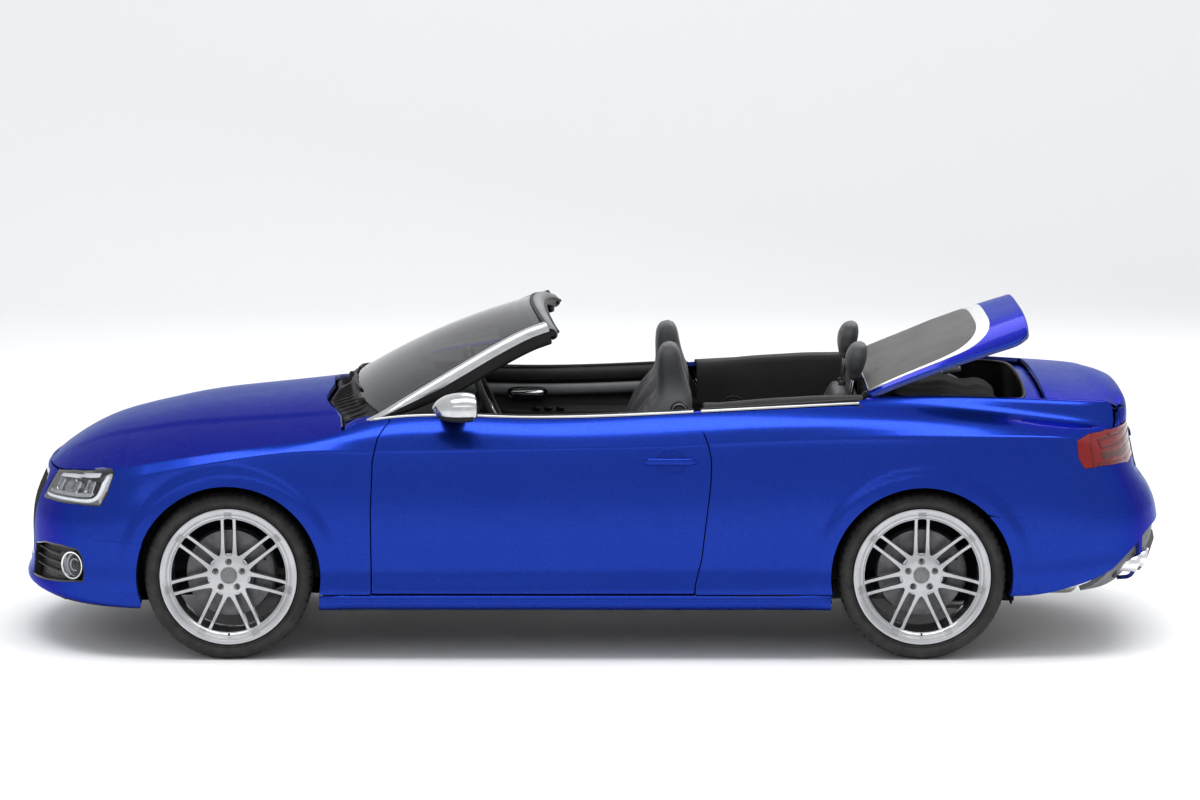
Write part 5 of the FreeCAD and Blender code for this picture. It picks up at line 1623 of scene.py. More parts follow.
# ------------------------------------------------------------------ rockers
def surf_panel(name, g, mats, u_of=None, mirror=False, up=(0, 1, 0), gap=.0, step=.02, rim=.012, fold=(.0015, .012), offset=0.0, trim=None, body="car_body", slot="paint", rep=()):
    """A panel over a whole grid of points, in arc-length coordinates."""
    g = np.array(g, float)
    sf = Surf(g).up(up)
    n, m = g.shape[:2]
    a = np.concatenate([[0], np.cumsum(np.linalg.norm(np.diff(g[:, m // 2], axis=0), axis=1))])
    b = np.concatenate([[0], np.cumsum(np.linalg.norm(np.diff(g[n // 2], axis=0), axis=1))])

    def fn(u, v):
        return sf(np.interp(u, a, np.arange(n)), np.interp(v, b, np.arange(m)))
    out = [(0, 0), (0, b[-1]), (a[-1], b[-1]), (a[-1], 0)] if trim is None else [(p[0] * a[-1], p[1] * b[-1]) for p in trim]
    o = panel(name, out, fn, gap=gap, step=step, rim=rim, fold=fold, mirror=mirror, offset=offset)
    finish_piece(o, body, slot, rep, mats)
    o["fn_len"] = float(a[-1])
    return o, fn, a[-1], b[-1]


def build_rockers():
    xs = np.array([-1.078, -1.05, -.95, -.70, -.30, .10, .50, .80, .91, .948])
    fade = np.array([.45, .8, 1, 1, 1, 1, 1, 1, .8, .5])
    uv = uv_x(xs, [.139] * len(xs))
    P, N = skin(uv[:, 0], uv[:, 1])
    prof = [(-.004, .2615), (.002, .254), (.0075, .246), (.0105, .2385), (.0085, .231), (.0, .217), (-.016, .203), (-.050, .1965), (-.100, .1955)]
    g = [[(x, p[1] + o * (f if o > 0 else 1), z) for o, z in prof] for x, p, f in zip(xs, P, fade)]
    for side, mir in (("right", False), ("left", True)):
        surf_panel(side + "_rocker", g, ("cobalt_paint", "jamb_paint"), mirror=mir, fold=(.0015, .012))


# ------------------------------------------------------------------ lamps
LAMP = cat(lamp_low, xz(*LAMP_SIDE[2:]), lamp_top[1:], )


def skin_frame(uv, fwd=None, mir=False, depth=0.0, blend=0.0):
    P, N = skin(uv[:, 0], uv[:, 1])
    p, n = Vector(P[0]), Vector(N[0])
    if fwd is not None:
        n = (n * (1 - blend) + Vector(fwd) * blend).normalized()
    p = p - Vector(N[0]) * depth
    if mir:
        p.y, n.y = -p.y, -n.y
    return p, n


def place(o, p, n, up=(0, 0, 1)):
    """Turns an object built about the origin, +Z outward and +Y up, to a place and a direction."""
    z = Vector(n).normalized()
    x = Vector(up).cross(z).normalized()
    y = z.cross(x)
    m = Matrix((x, y, z)).transposed().to_4x4()
    m.translation = p
    o.data.transform(m)
    return o


def rounded_rect(w, h, r, n=6):
    pts = []
    for cx, cy, a0 in ((w / 2 - r, h / 2 - r, 0), (-w / 2 + r, h / 2 - r, 90), (-w / 2 + r, -h / 2 + r, 180), (w / 2 - r, -h / 2 + r, 270)):
        for i in range(n + 1):
            a = math.radians(a0 + 90 * i / n)
            pts.append((cx + r * math.cos(a), cy + r * math.sin(a)))
    return pts


def ring_loft(name, rings, m, close_first=False, close_last=False, angle=35):
    """Joins rings of equal counts, each a list of 3-D points."""
    verts, faces = [], []
    n = len(rings[0])
    for r in rings:
        verts += r
    for j in range(len(rings) - 1):
        for i in range(n):
            k = (i + 1) % n
            faces.append((j * n + i, j * n + k, (j + 1) * n + k, (j + 1) * n + i))
    if close_first:
        faces.append(tuple(range(n))[::-1])
    if close_last:
        faces.append(tuple((len(rings) - 1) * n + i for i in range(n)))
    o = mesh_obj(name, verts, faces)
    o.data.set_sharp_from_angle(angle=math.radians(angle))
    return paint_faces(o, m)


def projector(name, p, n, w, h):
    """Square bezel with a lens behind it."""
    def at(w_, h_, r_, z):
        return [(a, b, z) for a, b in rounded_rect(w_, h_, r_)]
    bez = ring_loft(name + "_bezel", [at(w + .006, h + .006, .008, -.030), at(w + .006, h + .006, .008, .004), at(w + .001, h + .001, .007, .006), at(w - .006, h - .006, .006, .001), at(w - .012, h - .012, .006, -.020)], "chrome", True)
    place(bez, p, n)
    finish_piece(bez, "car_body", "bright_steel")
    r = min(w, h) * .40
    dome = lathe(name + "_dome", [(0, .004), (r * .5, .002), (r * .85, -.005), (r, -.013), (r * 1.05, -.020)], 32, m="lamp_clear")
    place(dome, p, n)
    finish_piece(dome, "car_body", "lamp_glass")
    back = prism(name + "_back", rounded_rect(w - .008, h - .008, .006), "z", -.024, -.019, r=.001, m="alloy_shadow")
    place(back, p, n)
    finish_piece(back, "car_body", "black_trim")


def build_headlights():
    for side, mir in (("right", False), ("left", True)):
        L = resample(LAMP, .009)
        wall = panel(side + "_lamp_wall", inset(L, .0035), skin, holes=[inset(L, .0085)], step=.02, rim=.008, fold=(.001, .055), offset=-.003, mirror=mir)
        finish_piece(wall, "car_body", "lamp_glass", ("headlights",), ("black_gloss", "black_gloss"))
        bowl = panel(side + "_lamp_bowl", inset(L, .007), offset_fn(skin, -.052), step=.018, rim=.012, fold=(.001, 0), mirror=mir)
        finish_piece(bowl, "car_body", "lamp_glass", (), ("alloy_shadow",))
        lens = panel(side + "_lamp_lens", inset(L, .0028), skin, step=.016, rim=.009, fold=(.0012, .010), mirror=mir)
        finish_piece(lens, "car_body", "lamp_glass", (), ("lamp_clear", "lamp_clear"))
        # light strip along the foot of the lamp, sweeping up at its rear end
        path = cat(yz_front((.485, .609), (.54, .6085), (.60, .611), (.66, .614)), xz((-2.085, .616), (-2.03, .619), (-1.99, .626), (-1.966, .642), (-1.951, .668), (-1.938, .697), (-1.921, .722)))
        path = np.array(spl(path, 5))
        P, N = skin(path[:, 0], path[:, 1])
        P = P - N * .013
        tg = np.gradient(P, axis=0)
        tg /= np.linalg.norm(tg, axis=1)[:, None]
        B = np.cross(N, tg)
        wd = np.interp(np.arange(len(P)), [0, len(P) * .45, len(P) * .62, len(P) * .85, len(P) - 1], [.0055, .0065, .0085, .012, .007])
        verts, faces, k = [], [], 7
        for p, n, b, w_ in zip(P, N, B, wd):
            for a in np.linspace(0, math.pi, k):
                verts.append(p + b * (w_ * math.cos(a)) + n * (.006 * math.sin(a)))
        for i in range(len(P) - 1):
            for j in range(k - 1):
                faces.append((i * k + j, (i + 1) * k + j, (i + 1) * k + j + 1, i * k + j + 1))
        verts = np.array(verts)
        if mir:
            verts[:, 1] *= -1
            faces = [f[::-1] for f in faces]
        st = mesh_obj(side + "_light_strip", verts, faces)
        finish_piece(paint_faces(st, "led_white"), "car_body", "lamp_glass")
        # bright block behind the strip and a chrome lid over the projectors
        blk = panel(side + "_lamp_reflector", xz((-1.962, .618), (-1.932, .640), (-1.913, .690), (-1.903, .728), (-1.915, .738), (-1.936, .728), (-1.955, .685), (-1.972, .645)), offset_fn(skin, -.024), step=.012, rim=.008, fold=(.002, .012), mirror=mir)
        finish_piece(blk, "car_body", "lamp_glass", (), ("lamp_white", "chrome"))
        amb = panel(side + "_turn_lamp", xz((-1.952, .613), (-1.935, .625), (-1.922, .660), (-1.934, .668), (-1.950, .640)), offset_fn(skin, -.020), step=.012, rim=.008, fold=(.002, .008), mirror=mir)
        finish_piece(amb, "car_body", "lamp_glass", (), ("amber_lamp", "chrome"))
        hood = panel(side + "_lamp_hood", cat(yz_front((.52, .698), (.60, .708), (.68, .717)), xz((-2.06, .722), (-1.99, .727), (-1.955, .730), (-1.962, .716), (-2.00, .709), (-2.06, .704)), yz_front((.68, .701), (.60, .694), (.52, .686))), offset_fn(skin, -.014), step=.014, rim=.009, fold=(.002, .018), mirror=mir)
        finish_piece(hood, "car_body", "bright_steel", (), ("chrome", "black_gloss"))
        shelf = panel(side + "_lamp_shelf", cat(yz_front((.49, .622), (.60, .626), (.68, .630)), xz((-2.06, .632), (-2.00, .640), (-1.985, .652), (-2.02, .650), (-2.06, .645)), yz_front((.68, .643), (.60, .638), (.49, .632))), offset_fn(skin, -.020), step=.014, rim=.009, fold=(.002, .018), mirror=mir)
        finish_piece(shelf, "car_body", "bright_steel", (), ("satin_alu", "black_gloss"))
        for k_, (x_, z_, w_, h_) in enumerate(((-2.068, .672, .060, .050), (-2.005, .676, .054, .048))):
            p, n = skin_frame(xz((x_, z_)), (-1, 0, 0), False, .030, .35)
            if mir:
                p.y, n.y = -p.y, -n.y
            projector("%s_projector_%d" % (side, k_), p, n, w_, h_)
        p, n = skin_frame(yz_front((.555, .666)), (-1, 0, 0), False, .034, .5)
        if mir:
            p.y, n.y = -p.y, -n.y
        projector(side + "_projector_in", p, n, .062, .050)


TLAMP = cat(xz((1.957, .757), (1.930, .800), (1.925, .872), (1.977, .890), (2.05, .894)), yz_rear((.70, .895), (.57, .897), (.45, .898), (.340, .899), (.336, .745)), lamp_rear_low[::-1][1:-1])


def build_tail_lamps():
    for side, mir in (("right", False), ("left", True)):
        L = resample(TLAMP, .010)
        o = panel(side + "_tail_lens", inset(L, .0026), skin, step=.016, rim=.010, fold=(.002, .018), offset=.0005, mirror=mir)
        finish_piece(o, "car_body", "red_lens", ("tail_lights",), ("red_lamp", "black_plastic"))
        # lighter loop over the rear part, a smoked band under it and a bright foot
        loop_o = cat(xz((2.010, .868), (2.06, .874)), yz_rear((.70, .876), (.55, .880), (.40, .882), (.37, .868), (.385, .838), (.55, .832), (.68, .828)), xz((2.062, .826), (2.025, .830)))
        Lo = resample(loop_o, .008)
        ringp = panel(side + "_tail_loop", Lo, skin, holes=[inset(Lo, .0085)], step=.012, rim=.008, fold=(.0015, .003), offset=.0030, mirror=mir)
        finish_piece(ringp, "car_body", "red_lens", (), ("lens_red", "lens_red"))
        band = panel(side + "_tail_band", cat(xz((2.02, .812), (2.065, .813)), yz_rear((.68, .813), (.55, .816), (.40, .818), (.40, .792), (.55, .790), (.68, .787)), xz((2.065, .786), (2.035, .787))), skin, step=.014, rim=.009, fold=(.001, .003), offset=.0022, mirror=mir)
        finish_piece(band, "car_body", "red_lens", (), ("lens_smoke", "lens_smoke"))
        slit = panel(side + "_tail_split", xz((1.9905, .892), (1.9945, .893), (1.998, .757), (1.9935, .757)), skin, step=.012, rim=.008, fold=(.0008, .003), offset=.0016, mirror=mir)
        finish_piece(slit, "car_body", "red_lens", (), ("lens_red", "lens_red"))
        foot = panel(side + "_tail_foot", cat(xz((2.01, .776), (2.065, .775)), yz_rear((.68, .775), (.55, .776), (.38, .777), (.38, .760), (.55, .762), (.68, .765)), xz((2.065, .767), (2.01, .768))), skin, step=.014, rim=.009, fold=(.001, .003), offset=.0022, mirror=mir)
        finish_piece(foot, "car_body", "red_lens", (), ("lens_red", "lens_red"))


# ------------------------------------------------------------------ door handles, mirrors, belt strips
def build_handles():
    for side, mir in (("right", False), ("left", True)):
        cx, cz, rx, rz = .316, .793, .061, .050
        cup_uv = xz(*HANDLE_CUP)
        cc = xz((cx, cz))[0]

        def cup(u, v):
            P, N = skin(u, v)
            q = ((P[:, 0] - cx) / rx) ** 2 + ((P[:, 2] - cz) / rz) ** 2
            d = .026 * np.clip(1 - q, 0, 1) ** .55 + .0015
            return P - N * d[:, None], N
        o = panel(side + "_handle_cup", inset(resample(cup_uv, .006), .0003), cup, step=.008, rim=.006, fold=(.001, .004), mirror=mir)
        o.data.update()
        me = o.data
        me.normals_split_custom_set([(0, 0, 0)] * len(me.loops))
        finish_piece(o, side + "_door", "paint", (), ("cobalt_paint", "jamb_paint"))
        xs = np.array([.205, .212, .225, .250, .285, .320, .355, .382, .400, .411, .417])
        lift = np.array([.002, .008, .014, .021, .026, .0275, .026, .021, .014, .008, .002])
        hh = np.array([.006, .0105, .0125, .0128, .0125, .0122, .0125, .0128, .0125, .0105, .006])
        uv = xz(*[(x, .797) for x in xs])
        P, N = skin(uv[:, 0], uv[:, 1])
        rings = []
        for p, n, l, h_ in zip(P, N, lift, hh):
            n = Vector(n)
            up_ = Vector((0, 0, 1))
            t = 0.0065
            r = []
            for i in range(14):
                a = 2 * math.pi * i / 14
                ca, sa = math.copysign(abs(math.cos(a)) ** .7, math.cos(a)), math.copysign(abs(math.sin(a)) ** .8, math.sin(a))
                q = Vector(p) + n * (l + t * ca - .004) + up_ * (h_ * sa)
                if mir:
                    q.y = -q.y
                r.append(tuple(q))
            rings.append(r if not mir else r[::-1])
        h = ring_loft(side + "_handle_bar", rings, "cobalt_paint", True, True, 40)
        finish_piece(h, side + "_door", "paint")
        for k, x in enumerate((.2095, .413)):
            uvp = xz((x, .797))
            P, N = skin(uvp[:, 0], uvp[:, 1])
            base = panel("%s_handle_foot_%d" % (side, k), xz(*[(x + .0145 * math.cos(a), .797 + .0155 * math.sin(a)) for a in np.linspace(0, 2 * math.pi, 20, endpoint=False)]), skin, step=.008, rim=.005, fold=(.0015, .003), offset=.0022, mirror=mir)
            finish_piece(base, side + "_door", "paint", (), ("cobalt_paint", "jamb_paint"))


def build_mirrors():
    for side, sg in (("right", 1), ("left", -1)):
        body = side + "_door"
        # shell: rings from the back opening forward, each a rounded shape in (y, z)
        cy, cz = .963, 1.030
        spec = [  # x, half width, half height, centre y, centre z
            (-.462, .0780, .0480, .962, 1.0300), (-.470, .0805, .0505, .962, 1.0300), (-.492, .0820, .0530, .962, 1.0300), (-.520, .0810, .0525, .961, 1.0290),
            (-.548, .0775, .0495, .958, 1.0270), (-.574, .0705, .0440, .954, 1.0240), (-.594, .0600, .0365, .950, 1.0200), (-.609, .0450, .0270, .946, 1.0165), (-.618, .0250, .0150, .943, 1.0140), (-.6205, .006, .004, .942, 1.0135)]
        n = 36

        def ringpts(x, w_, h_, y0, z0):
            out = []
            for i in range(n):
                a = 2 * math.pi * i / n
                c, s_ = math.cos(a), math.sin(a)
                yy = y0 + w_ * math.copysign(abs(c) ** .72, c)
                zz = z0 + h_ * math.copysign(abs(s_) ** .78, s_) - .010 * (c * .5 + .5) * (h_ / .053)
                out.append((x + .012 * c * (1 if x > -.5 else .6), sg * yy, zz))
            return out if sg > 0 else out[::-1]
        rings = [ringpts(*q) for q in spec]
        cap = ring_loft(side + "_mirror_cap", rings, "mirror_cap", False, True, 60)
        finish_piece(cap, body, "satin_trim", (side + "_mirror",))
        rim = [ringpts(-.462, .0780, .0480, .962, 1.0300), ringpts(-.4575, .0755, .0455, .962, 1.0300), ringpts(-.4575, .0725, .0425, .962, 1.0300), ringpts(-.470, .0700, .0400, .962, 1.0300)]
        r = ring_loft(side + "_mirror_rim", rim, "black_plastic", False, False, 50)
        finish_piece(r, body, "black_trim")
        g = ring_loft(side + "_mirror_glass", [ringpts(-.4705, .0715, .0415, .962, 1.0300), ringpts(-.4675, .0695, .0395, .962, 1.0300), ringpts(-.4665, .035, .020, .962, 1.0300), ringpts(-.4662, .002, .001, .962, 1.0300)], "mirror_face", True, True, 50)
        finish_piece(g, body, "satin_trim")
        # dark underside bowl and foot to the belt
        low = []
        for x, w_, h_, y0, z0 in spec[1:8]:
            out = []
            for i in range(n):
                a = 2 * math.pi * i / n
                c, s_ = math.cos(a), math.sin(a)
                out.append((x + .008 * c, sg * (y0 + w_ * .93 * math.copysign(abs(c) ** .72, c)), z0 - h_ * .62 + h_ * .52 * s_ - .008 * (c * .5 + .5)))
            low.append(out if sg > 0 else out[::-1])
        o = ring_loft(side + "_mirror_bowl", low, "black_plastic", True, True, 60)
        finish_piece(o, body, "black_trim")
        foot = []
        for t in np.linspace(0, 1, 8):
            y0 = .905 + (.800 - .905) * t
            z0 = .998 + (.9675 - .998) * t ** 1.3
            w_ = .034 + .020 * t
            h_ = .013 + .003 * t
            out = []
            for i in range(20):
                a = 2 * math.pi * i / 20
                c, s_ = math.cos(a), math.sin(a)
                out.append((-.548 + w_ * math.copysign(abs(c) ** .8, c), sg * y0, z0 + h_ * math.copysign(abs(s_) ** .8, s_)))
            foot.append(out if sg < 0 else out[::-1])
        o = ring_loft(side + "_mirror_foot", foot, "black_plastic", True, True, 50)
        finish_piece(o, body, "black_trim")
        # points for a turn lamp along the cap's front; no lamp is built from them
        blink = []
        for a in np.linspace(-.15, 1.15, 12):
            ang = a
            x, w_, h_, y0, z0 = -.560, .0745, .047, .956, 1.026
            c, s_ = math.cos(ang - .6), math.sin(ang - .6)
            blink.append((x - .004 + .030 * (1 - abs(a - .5)) * 0, sg * (y0 + w_ * math.copysign(abs(c) ** .72, c)), z0 - .014 + .0))
        # sail panel between pillar and belt
        sail = [(-.742, .968), (-.700, .985), (-.640, 1.010), (-.575, 1.030), (-.555, 1.018), (-.560, .975), (-.575, .966)]
        s_ = prism(side + "_sail", sail, "y", sg * .764 if sg > 0 else -.776, sg * .776 if sg > 0 else -.764, r=.003, m="black_plastic")
        finish_piece(s_, body, "black_trim")


def belt_path(x0, x1, v, n, off=0.0, up_=0.0):
    xs = np.linspace(x0, x1, n)
    uv = uv_x(xs, [v] * n)
    P, N = skin(uv[:, 0], uv[:, 1])
    P = P + N * off
    P[:, 2] += up_
    return P


def build_belt_trim():
    sec = [(-.0085, -.004), (-.0085, .001), (-.0060, .0036), (.0, .0046), (.0060, .0036), (.0085, .001), (.0085, -.004)]
    for side, sg in (("right", 1), ("left", -1)):
        for nm, x0, x1, body in (("door", -.862, .404, side + "_door"), ("quarter", .436, 1.062, "car_body")):
            P = belt_path(x0, x1, .832, 40, .0038)
            P[:, 1] *= sg
            o = sweep("%s_belt_strip_%s" % (side, nm), P, sec, m="satin_alu", angle=50)
            finish_piece(o, body, "satin_trim")
            P = belt_path(x0 + .002, x1 - .002, .853, 40, .004)
            P[:, 1] *= sg
            o = sweep("%s_belt_seal_%s" % (side, nm), P, [(-.010, -.005), (-.010, .003), (-.004, .007), (.006, .007), (.010, .003), (.010, -.005)], m="seal_rubber", angle=50)
            finish_piece(o, body, "black_trim")


# ------------------------------------------------------------------ windscreen, its frame, cowl and wipers
GB = [(-.835, .740, .960), (-.905, .560, .988), (-.965, .300, 1.012), (-.985, 0, 1.020)]
GH = [(-.200, .532, 1.292), (-.216, .400, 1.313), (-.242, .210, 1.333), (-.252, 0, 1.340)]
GB_ALL = [(x, -y, z) for x, y, z in GB[:-1]] + GB[::-1]
GH_ALL = [(x, -y, z) for x, y, z in GH[:-1]] + GH[::-1]


def glass_grid():
    nb, rows = 7, []
    for t in np.linspace(0, 1, nb):
        row = []
        for b, h in zip(GB_ALL, GH_ALL):
            b, h = np.array(b), np.array(h)
            p = b + (h - b) * t
            p = p + np.array([-.30, 0, .95]) * .018 * 4 * t * (1 - t) * (1.9 - 1.1 * abs(float(b[1])) / .745)
            row.append(tuple(p))
        rows.append(row)
    return rows


def build_screen():
    g = glass_grid()
    gl, fn, la, lb = surf_panel("windscreen", g, ("screen_glass", "screen_glass"), up=(-.4, 0, 1), gap=.004, step=.05, rim=.03, fold=(.001, .004), body="car_body", slot="clear_glass", rep=("windscreen_glass",))
    # black printed edge just inside the glass
    inner = [(.07 * la, .045 * lb), (.07 * la, .955 * lb), (.955 * la, .955 * lb), (.955 * la, .045 * lb)]
    o = panel("windscreen_edge_print", [(.004, .004), (.004, lb - .004), (la - .004, lb - .004), (la - .004, .004)], offset_fn(fn, -.0052), holes=[inner], step=.05, rim=.03, fold=(.0005, .001))
    finish_piece(o, "car_body", "black_trim", (), ("black_gloss", "black_gloss"))
    # pillars: section carried from foot to header
    G = [(-.905, .727, .934), (-.860, .738, .955), (-.760, .712, 1.013), (-.640, .682, 1.082), (-.520, .648, 1.150), (-.380, .604, 1.227), (-.270, .566, 1.279), (-.196, .538, 1.303)]
    G = np.array(spl(G, 6))
    sec = [(-.004, .003, 0), (.012, .006, 0), (.028, .0065, 0), (.041, .003, 0), (.050, -.005, 0), (.0545, -.014, 0), (.0555, -.025, 0), (.0535, -.034, 0), (.050, -.037, 0),
           (.048, -.040, 1), (.0475, -.058, 1), (.042, -.078, 1), (.028, -.088, 1), (.012, -.088, 1), (.004, -.080, 1), (-.006, -.050, 1), (-.010, -.016, 1), (-.008, -.002, 1)]
    for side, sg in (("right", 1), ("left", -1)):
        verts, faces, mi = [], [], []
        k = len(sec)
        for i, p in enumerate(G):
            a, b = G[max(i - 1, 0)], G[min(i + 1, len(G) - 1)]
            t = (b - a) / np.linalg.norm(b - a)
            upv = np.array([-.40, 0.0, .917])
            upv = upv - t * (upv @ t)
            upv /= np.linalg.norm(upv)
            s_ = np.cross(t, upv) * -1
            if s_[1] < 0:
                s_ = -s_
            dep = float(np.interp(p[0], [-.905, -.85, -.78, -.62], [.16, .22, .50, 1.0]))
            wid = float(np.interp(p[0], [-.905, -.86, -.80, -.70], [.75, .95, 1.0, 1.0]))
            for a_, b_, _m in sec:
                q = p + s_ * a_ * wid + upv * (b_ * (dep if b_ < 0 else 1))
                verts.append((q[0], sg * q[1], q[2]))
        for i in range(len(G) - 1):
            for j in range(k):
                j2 = (j + 1) % k
                f = (i * k + j, (i + 1) * k + j, (i + 1) * k + j2, i * k + j2)
                faces.append(f if sg > 0 else f[::-1])
                mi.append(1 if (sec[j][2] or sec[j2][2]) and j != k - 1 else 0)
        faces.append(tuple(range(k)) if sg < 0 else tuple(range(k))[::-1])
        mi.append(1)
        n0 = (len(G) - 1) * k
        faces.append(tuple(n0 + q for q in range(k))[::-1] if sg < 0 else tuple(n0 + q for q in range(k)))
        mi.append(1)
        o = mesh_obj(side + "_pillar", verts, faces, mi)
        bm = bmesh.new()
        bm.from_mesh(o.data)
        bmesh.ops.recalc_face_normals(bm, faces=bm.faces[:])
        bm.to_mesh(o.data)
        bm.free()
        o.data.set_sharp_from_angle(angle=math.radians(32))
        finish_piece(o, "car_body", "satin_trim", ("windscreen_frame",), ("satin_alu", "seal_rubber"))
        # seal line between glass and pillar
        P = G + np.array([0, 0, .0])
        P = np.array([(p[0], sg * (p[1] - .004), p[2] + .003) for p in G[4:]])
        o = sweep(side + "_screen_seal", P, [(-.006, -.003), (-.006, .003), (.004, .0045), (.006, .001), (.006, -.003)], m="seal_rubber")
        finish_piece(o, "car_body", "black_trim")
        # latch horn at the end of the header
        horn = [(-.205, 1.284), (-.155, 1.278), (-.136, 1.266), (-.134, 1.256), (-.158, 1.252), (-.215, 1.222)]
        h = prism(side + "_header_horn", horn, "y", (sg * .520) if sg > 0 else -.566, .566 if sg > 0 else -.520, r=.005, segs=3, m="black_plastic")
        finish_piece(h, "car_body", "black_trim")
    # header: front edge at the glass, rear edge dipping forward in the middle
    ys = np.array([-.566, -.545, -.50, -.40, -.21, 0, .21, .40, .50, .545, .566])
    hx = np.interp(np.abs(ys), [0, .21, .40, .52, .566], [-.252, -.240, -.214, -.190, -.180])
    hz = np.interp(np.abs(ys), [0, .21, .40, .52, .566], [1.340, 1.333, 1.314, 1.294, 1.283])
    rx = np.interp(np.abs(ys), [0, .21, .40, .50, .545, .566], [-.193, -.186, -.165, -.148, -.138, -.135])
    top, low = [], []
    for f, lift in ((-.03, .000), (.08, .0055), (.35, .010), (.65, .007), (.90, -.004), (1.0, -.014)):
        top.append([(x + (r - x) * f, y, z + lift + (-.006 if abs(y) > .56 else 0)) for x, y, z, r in zip(hx, ys, hz, rx)])
    for f, lift in ((1.0, -.016), (.98, -.030), (.7, -.042), (.35, -.042), (.06, -.030), (0, -.014)):
        low.append([(x + (r - x) * f, y, z + lift) for x, y, z, r in zip(hx, ys, hz, rx)])
    surf_panel("header_cover", top, ("grey_plastic", "black_plastic"), up=(0, 0, 1), step=.03, rim=.016, fold=(.002, .008), slot="satin_trim")
    surf_panel("header_lining", low, ("grey_plastic", "cabin_soft"), up=(0, 0, -1), step=.03, rim=.016, fold=(.002, .006), slot="black_trim")
    P = [(x + .004, y, z + .004) for x, y, z in zip(hx[1:-1], ys[1:-1], hz[1:-1])]
    P = spl(P, 5)
    o = sweep("header_front_seal", P, [(-.007, -.004), (-.007, .003), (.005, .005), (.007, .0), (.007, -.004)], m="seal_rubber")
    finish_piece(o, "car_body", "black_trim")
    P = spl([(r + .003, y, z - .018) for r, y, z in zip(rx[1:-1], ys[1:-1], hz[1:-1])], 5)
    o = tube("header_rear_seal", P, .007, "seal_rubber", 10)
    finish_piece(o, "car_body", "black_trim")
    for sg in (-1, 1):
        v = [(-.205, 1.275), (-.150, 1.262), (-.300, 1.190), (-.330, 1.200)]
        yc = sg * .30
        g = []
        for t in np.linspace(0, 1, 5):
            g.append([(-.225 - .125 * t, yc + dy, 1.262 - .052 * t - .05 * abs(yc + dy) ** 2 * 2) for dy in (-.17, -.09, 0, .09, .17)])
        surf_panel("sun_visor_%d" % (sg + 1), g, ("cabin_soft", "cabin_soft"), up=(0, 0, -1), step=.03, rim=.02, fold=(.004, .010), slot="cabin_plastic")
    # interior mirror
    stem = tube("inner_mirror_stem", [(-.335, 0, 1.285), (-.315, 0, 1.262), (-.300, 0, 1.240)], .008, "black_plastic")
    finish_piece(stem, "car_body", "black_trim")
    base = rbox("inner_mirror_base", (-.375, -.022, 1.268), (-.322, .022, 1.296), .008, 3, "black_plastic")
    finish_piece(base, "car_body", "black_trim")
    mshape = prism("inner_mirror_back", [(y, z) for y, z in rounded_rect(.235, .062, .026, 8)], "x", -.014, .0, r=.005, segs=3, m="black_plastic")
    mshape.data.transform(Matrix.Translation((-.288, 0, 1.222)) @ Matrix.Rotation(math.radians(-8), 4, "Y"))
    finish_piece(mshape, "car_body", "black_trim")
    mg = prism("inner_mirror_glass", [(y, z) for y, z in rounded_rect(.222, .050, .022, 8)], "x", .0, .002, r=.0008, m="mirror_face")
    mg.data.transform(Matrix.Translation((-.288, 0, 1.222)) @ Matrix.Rotation(math.radians(-8), 4, "Y"))
    finish_piece(mg, "car_body", "satin_trim")


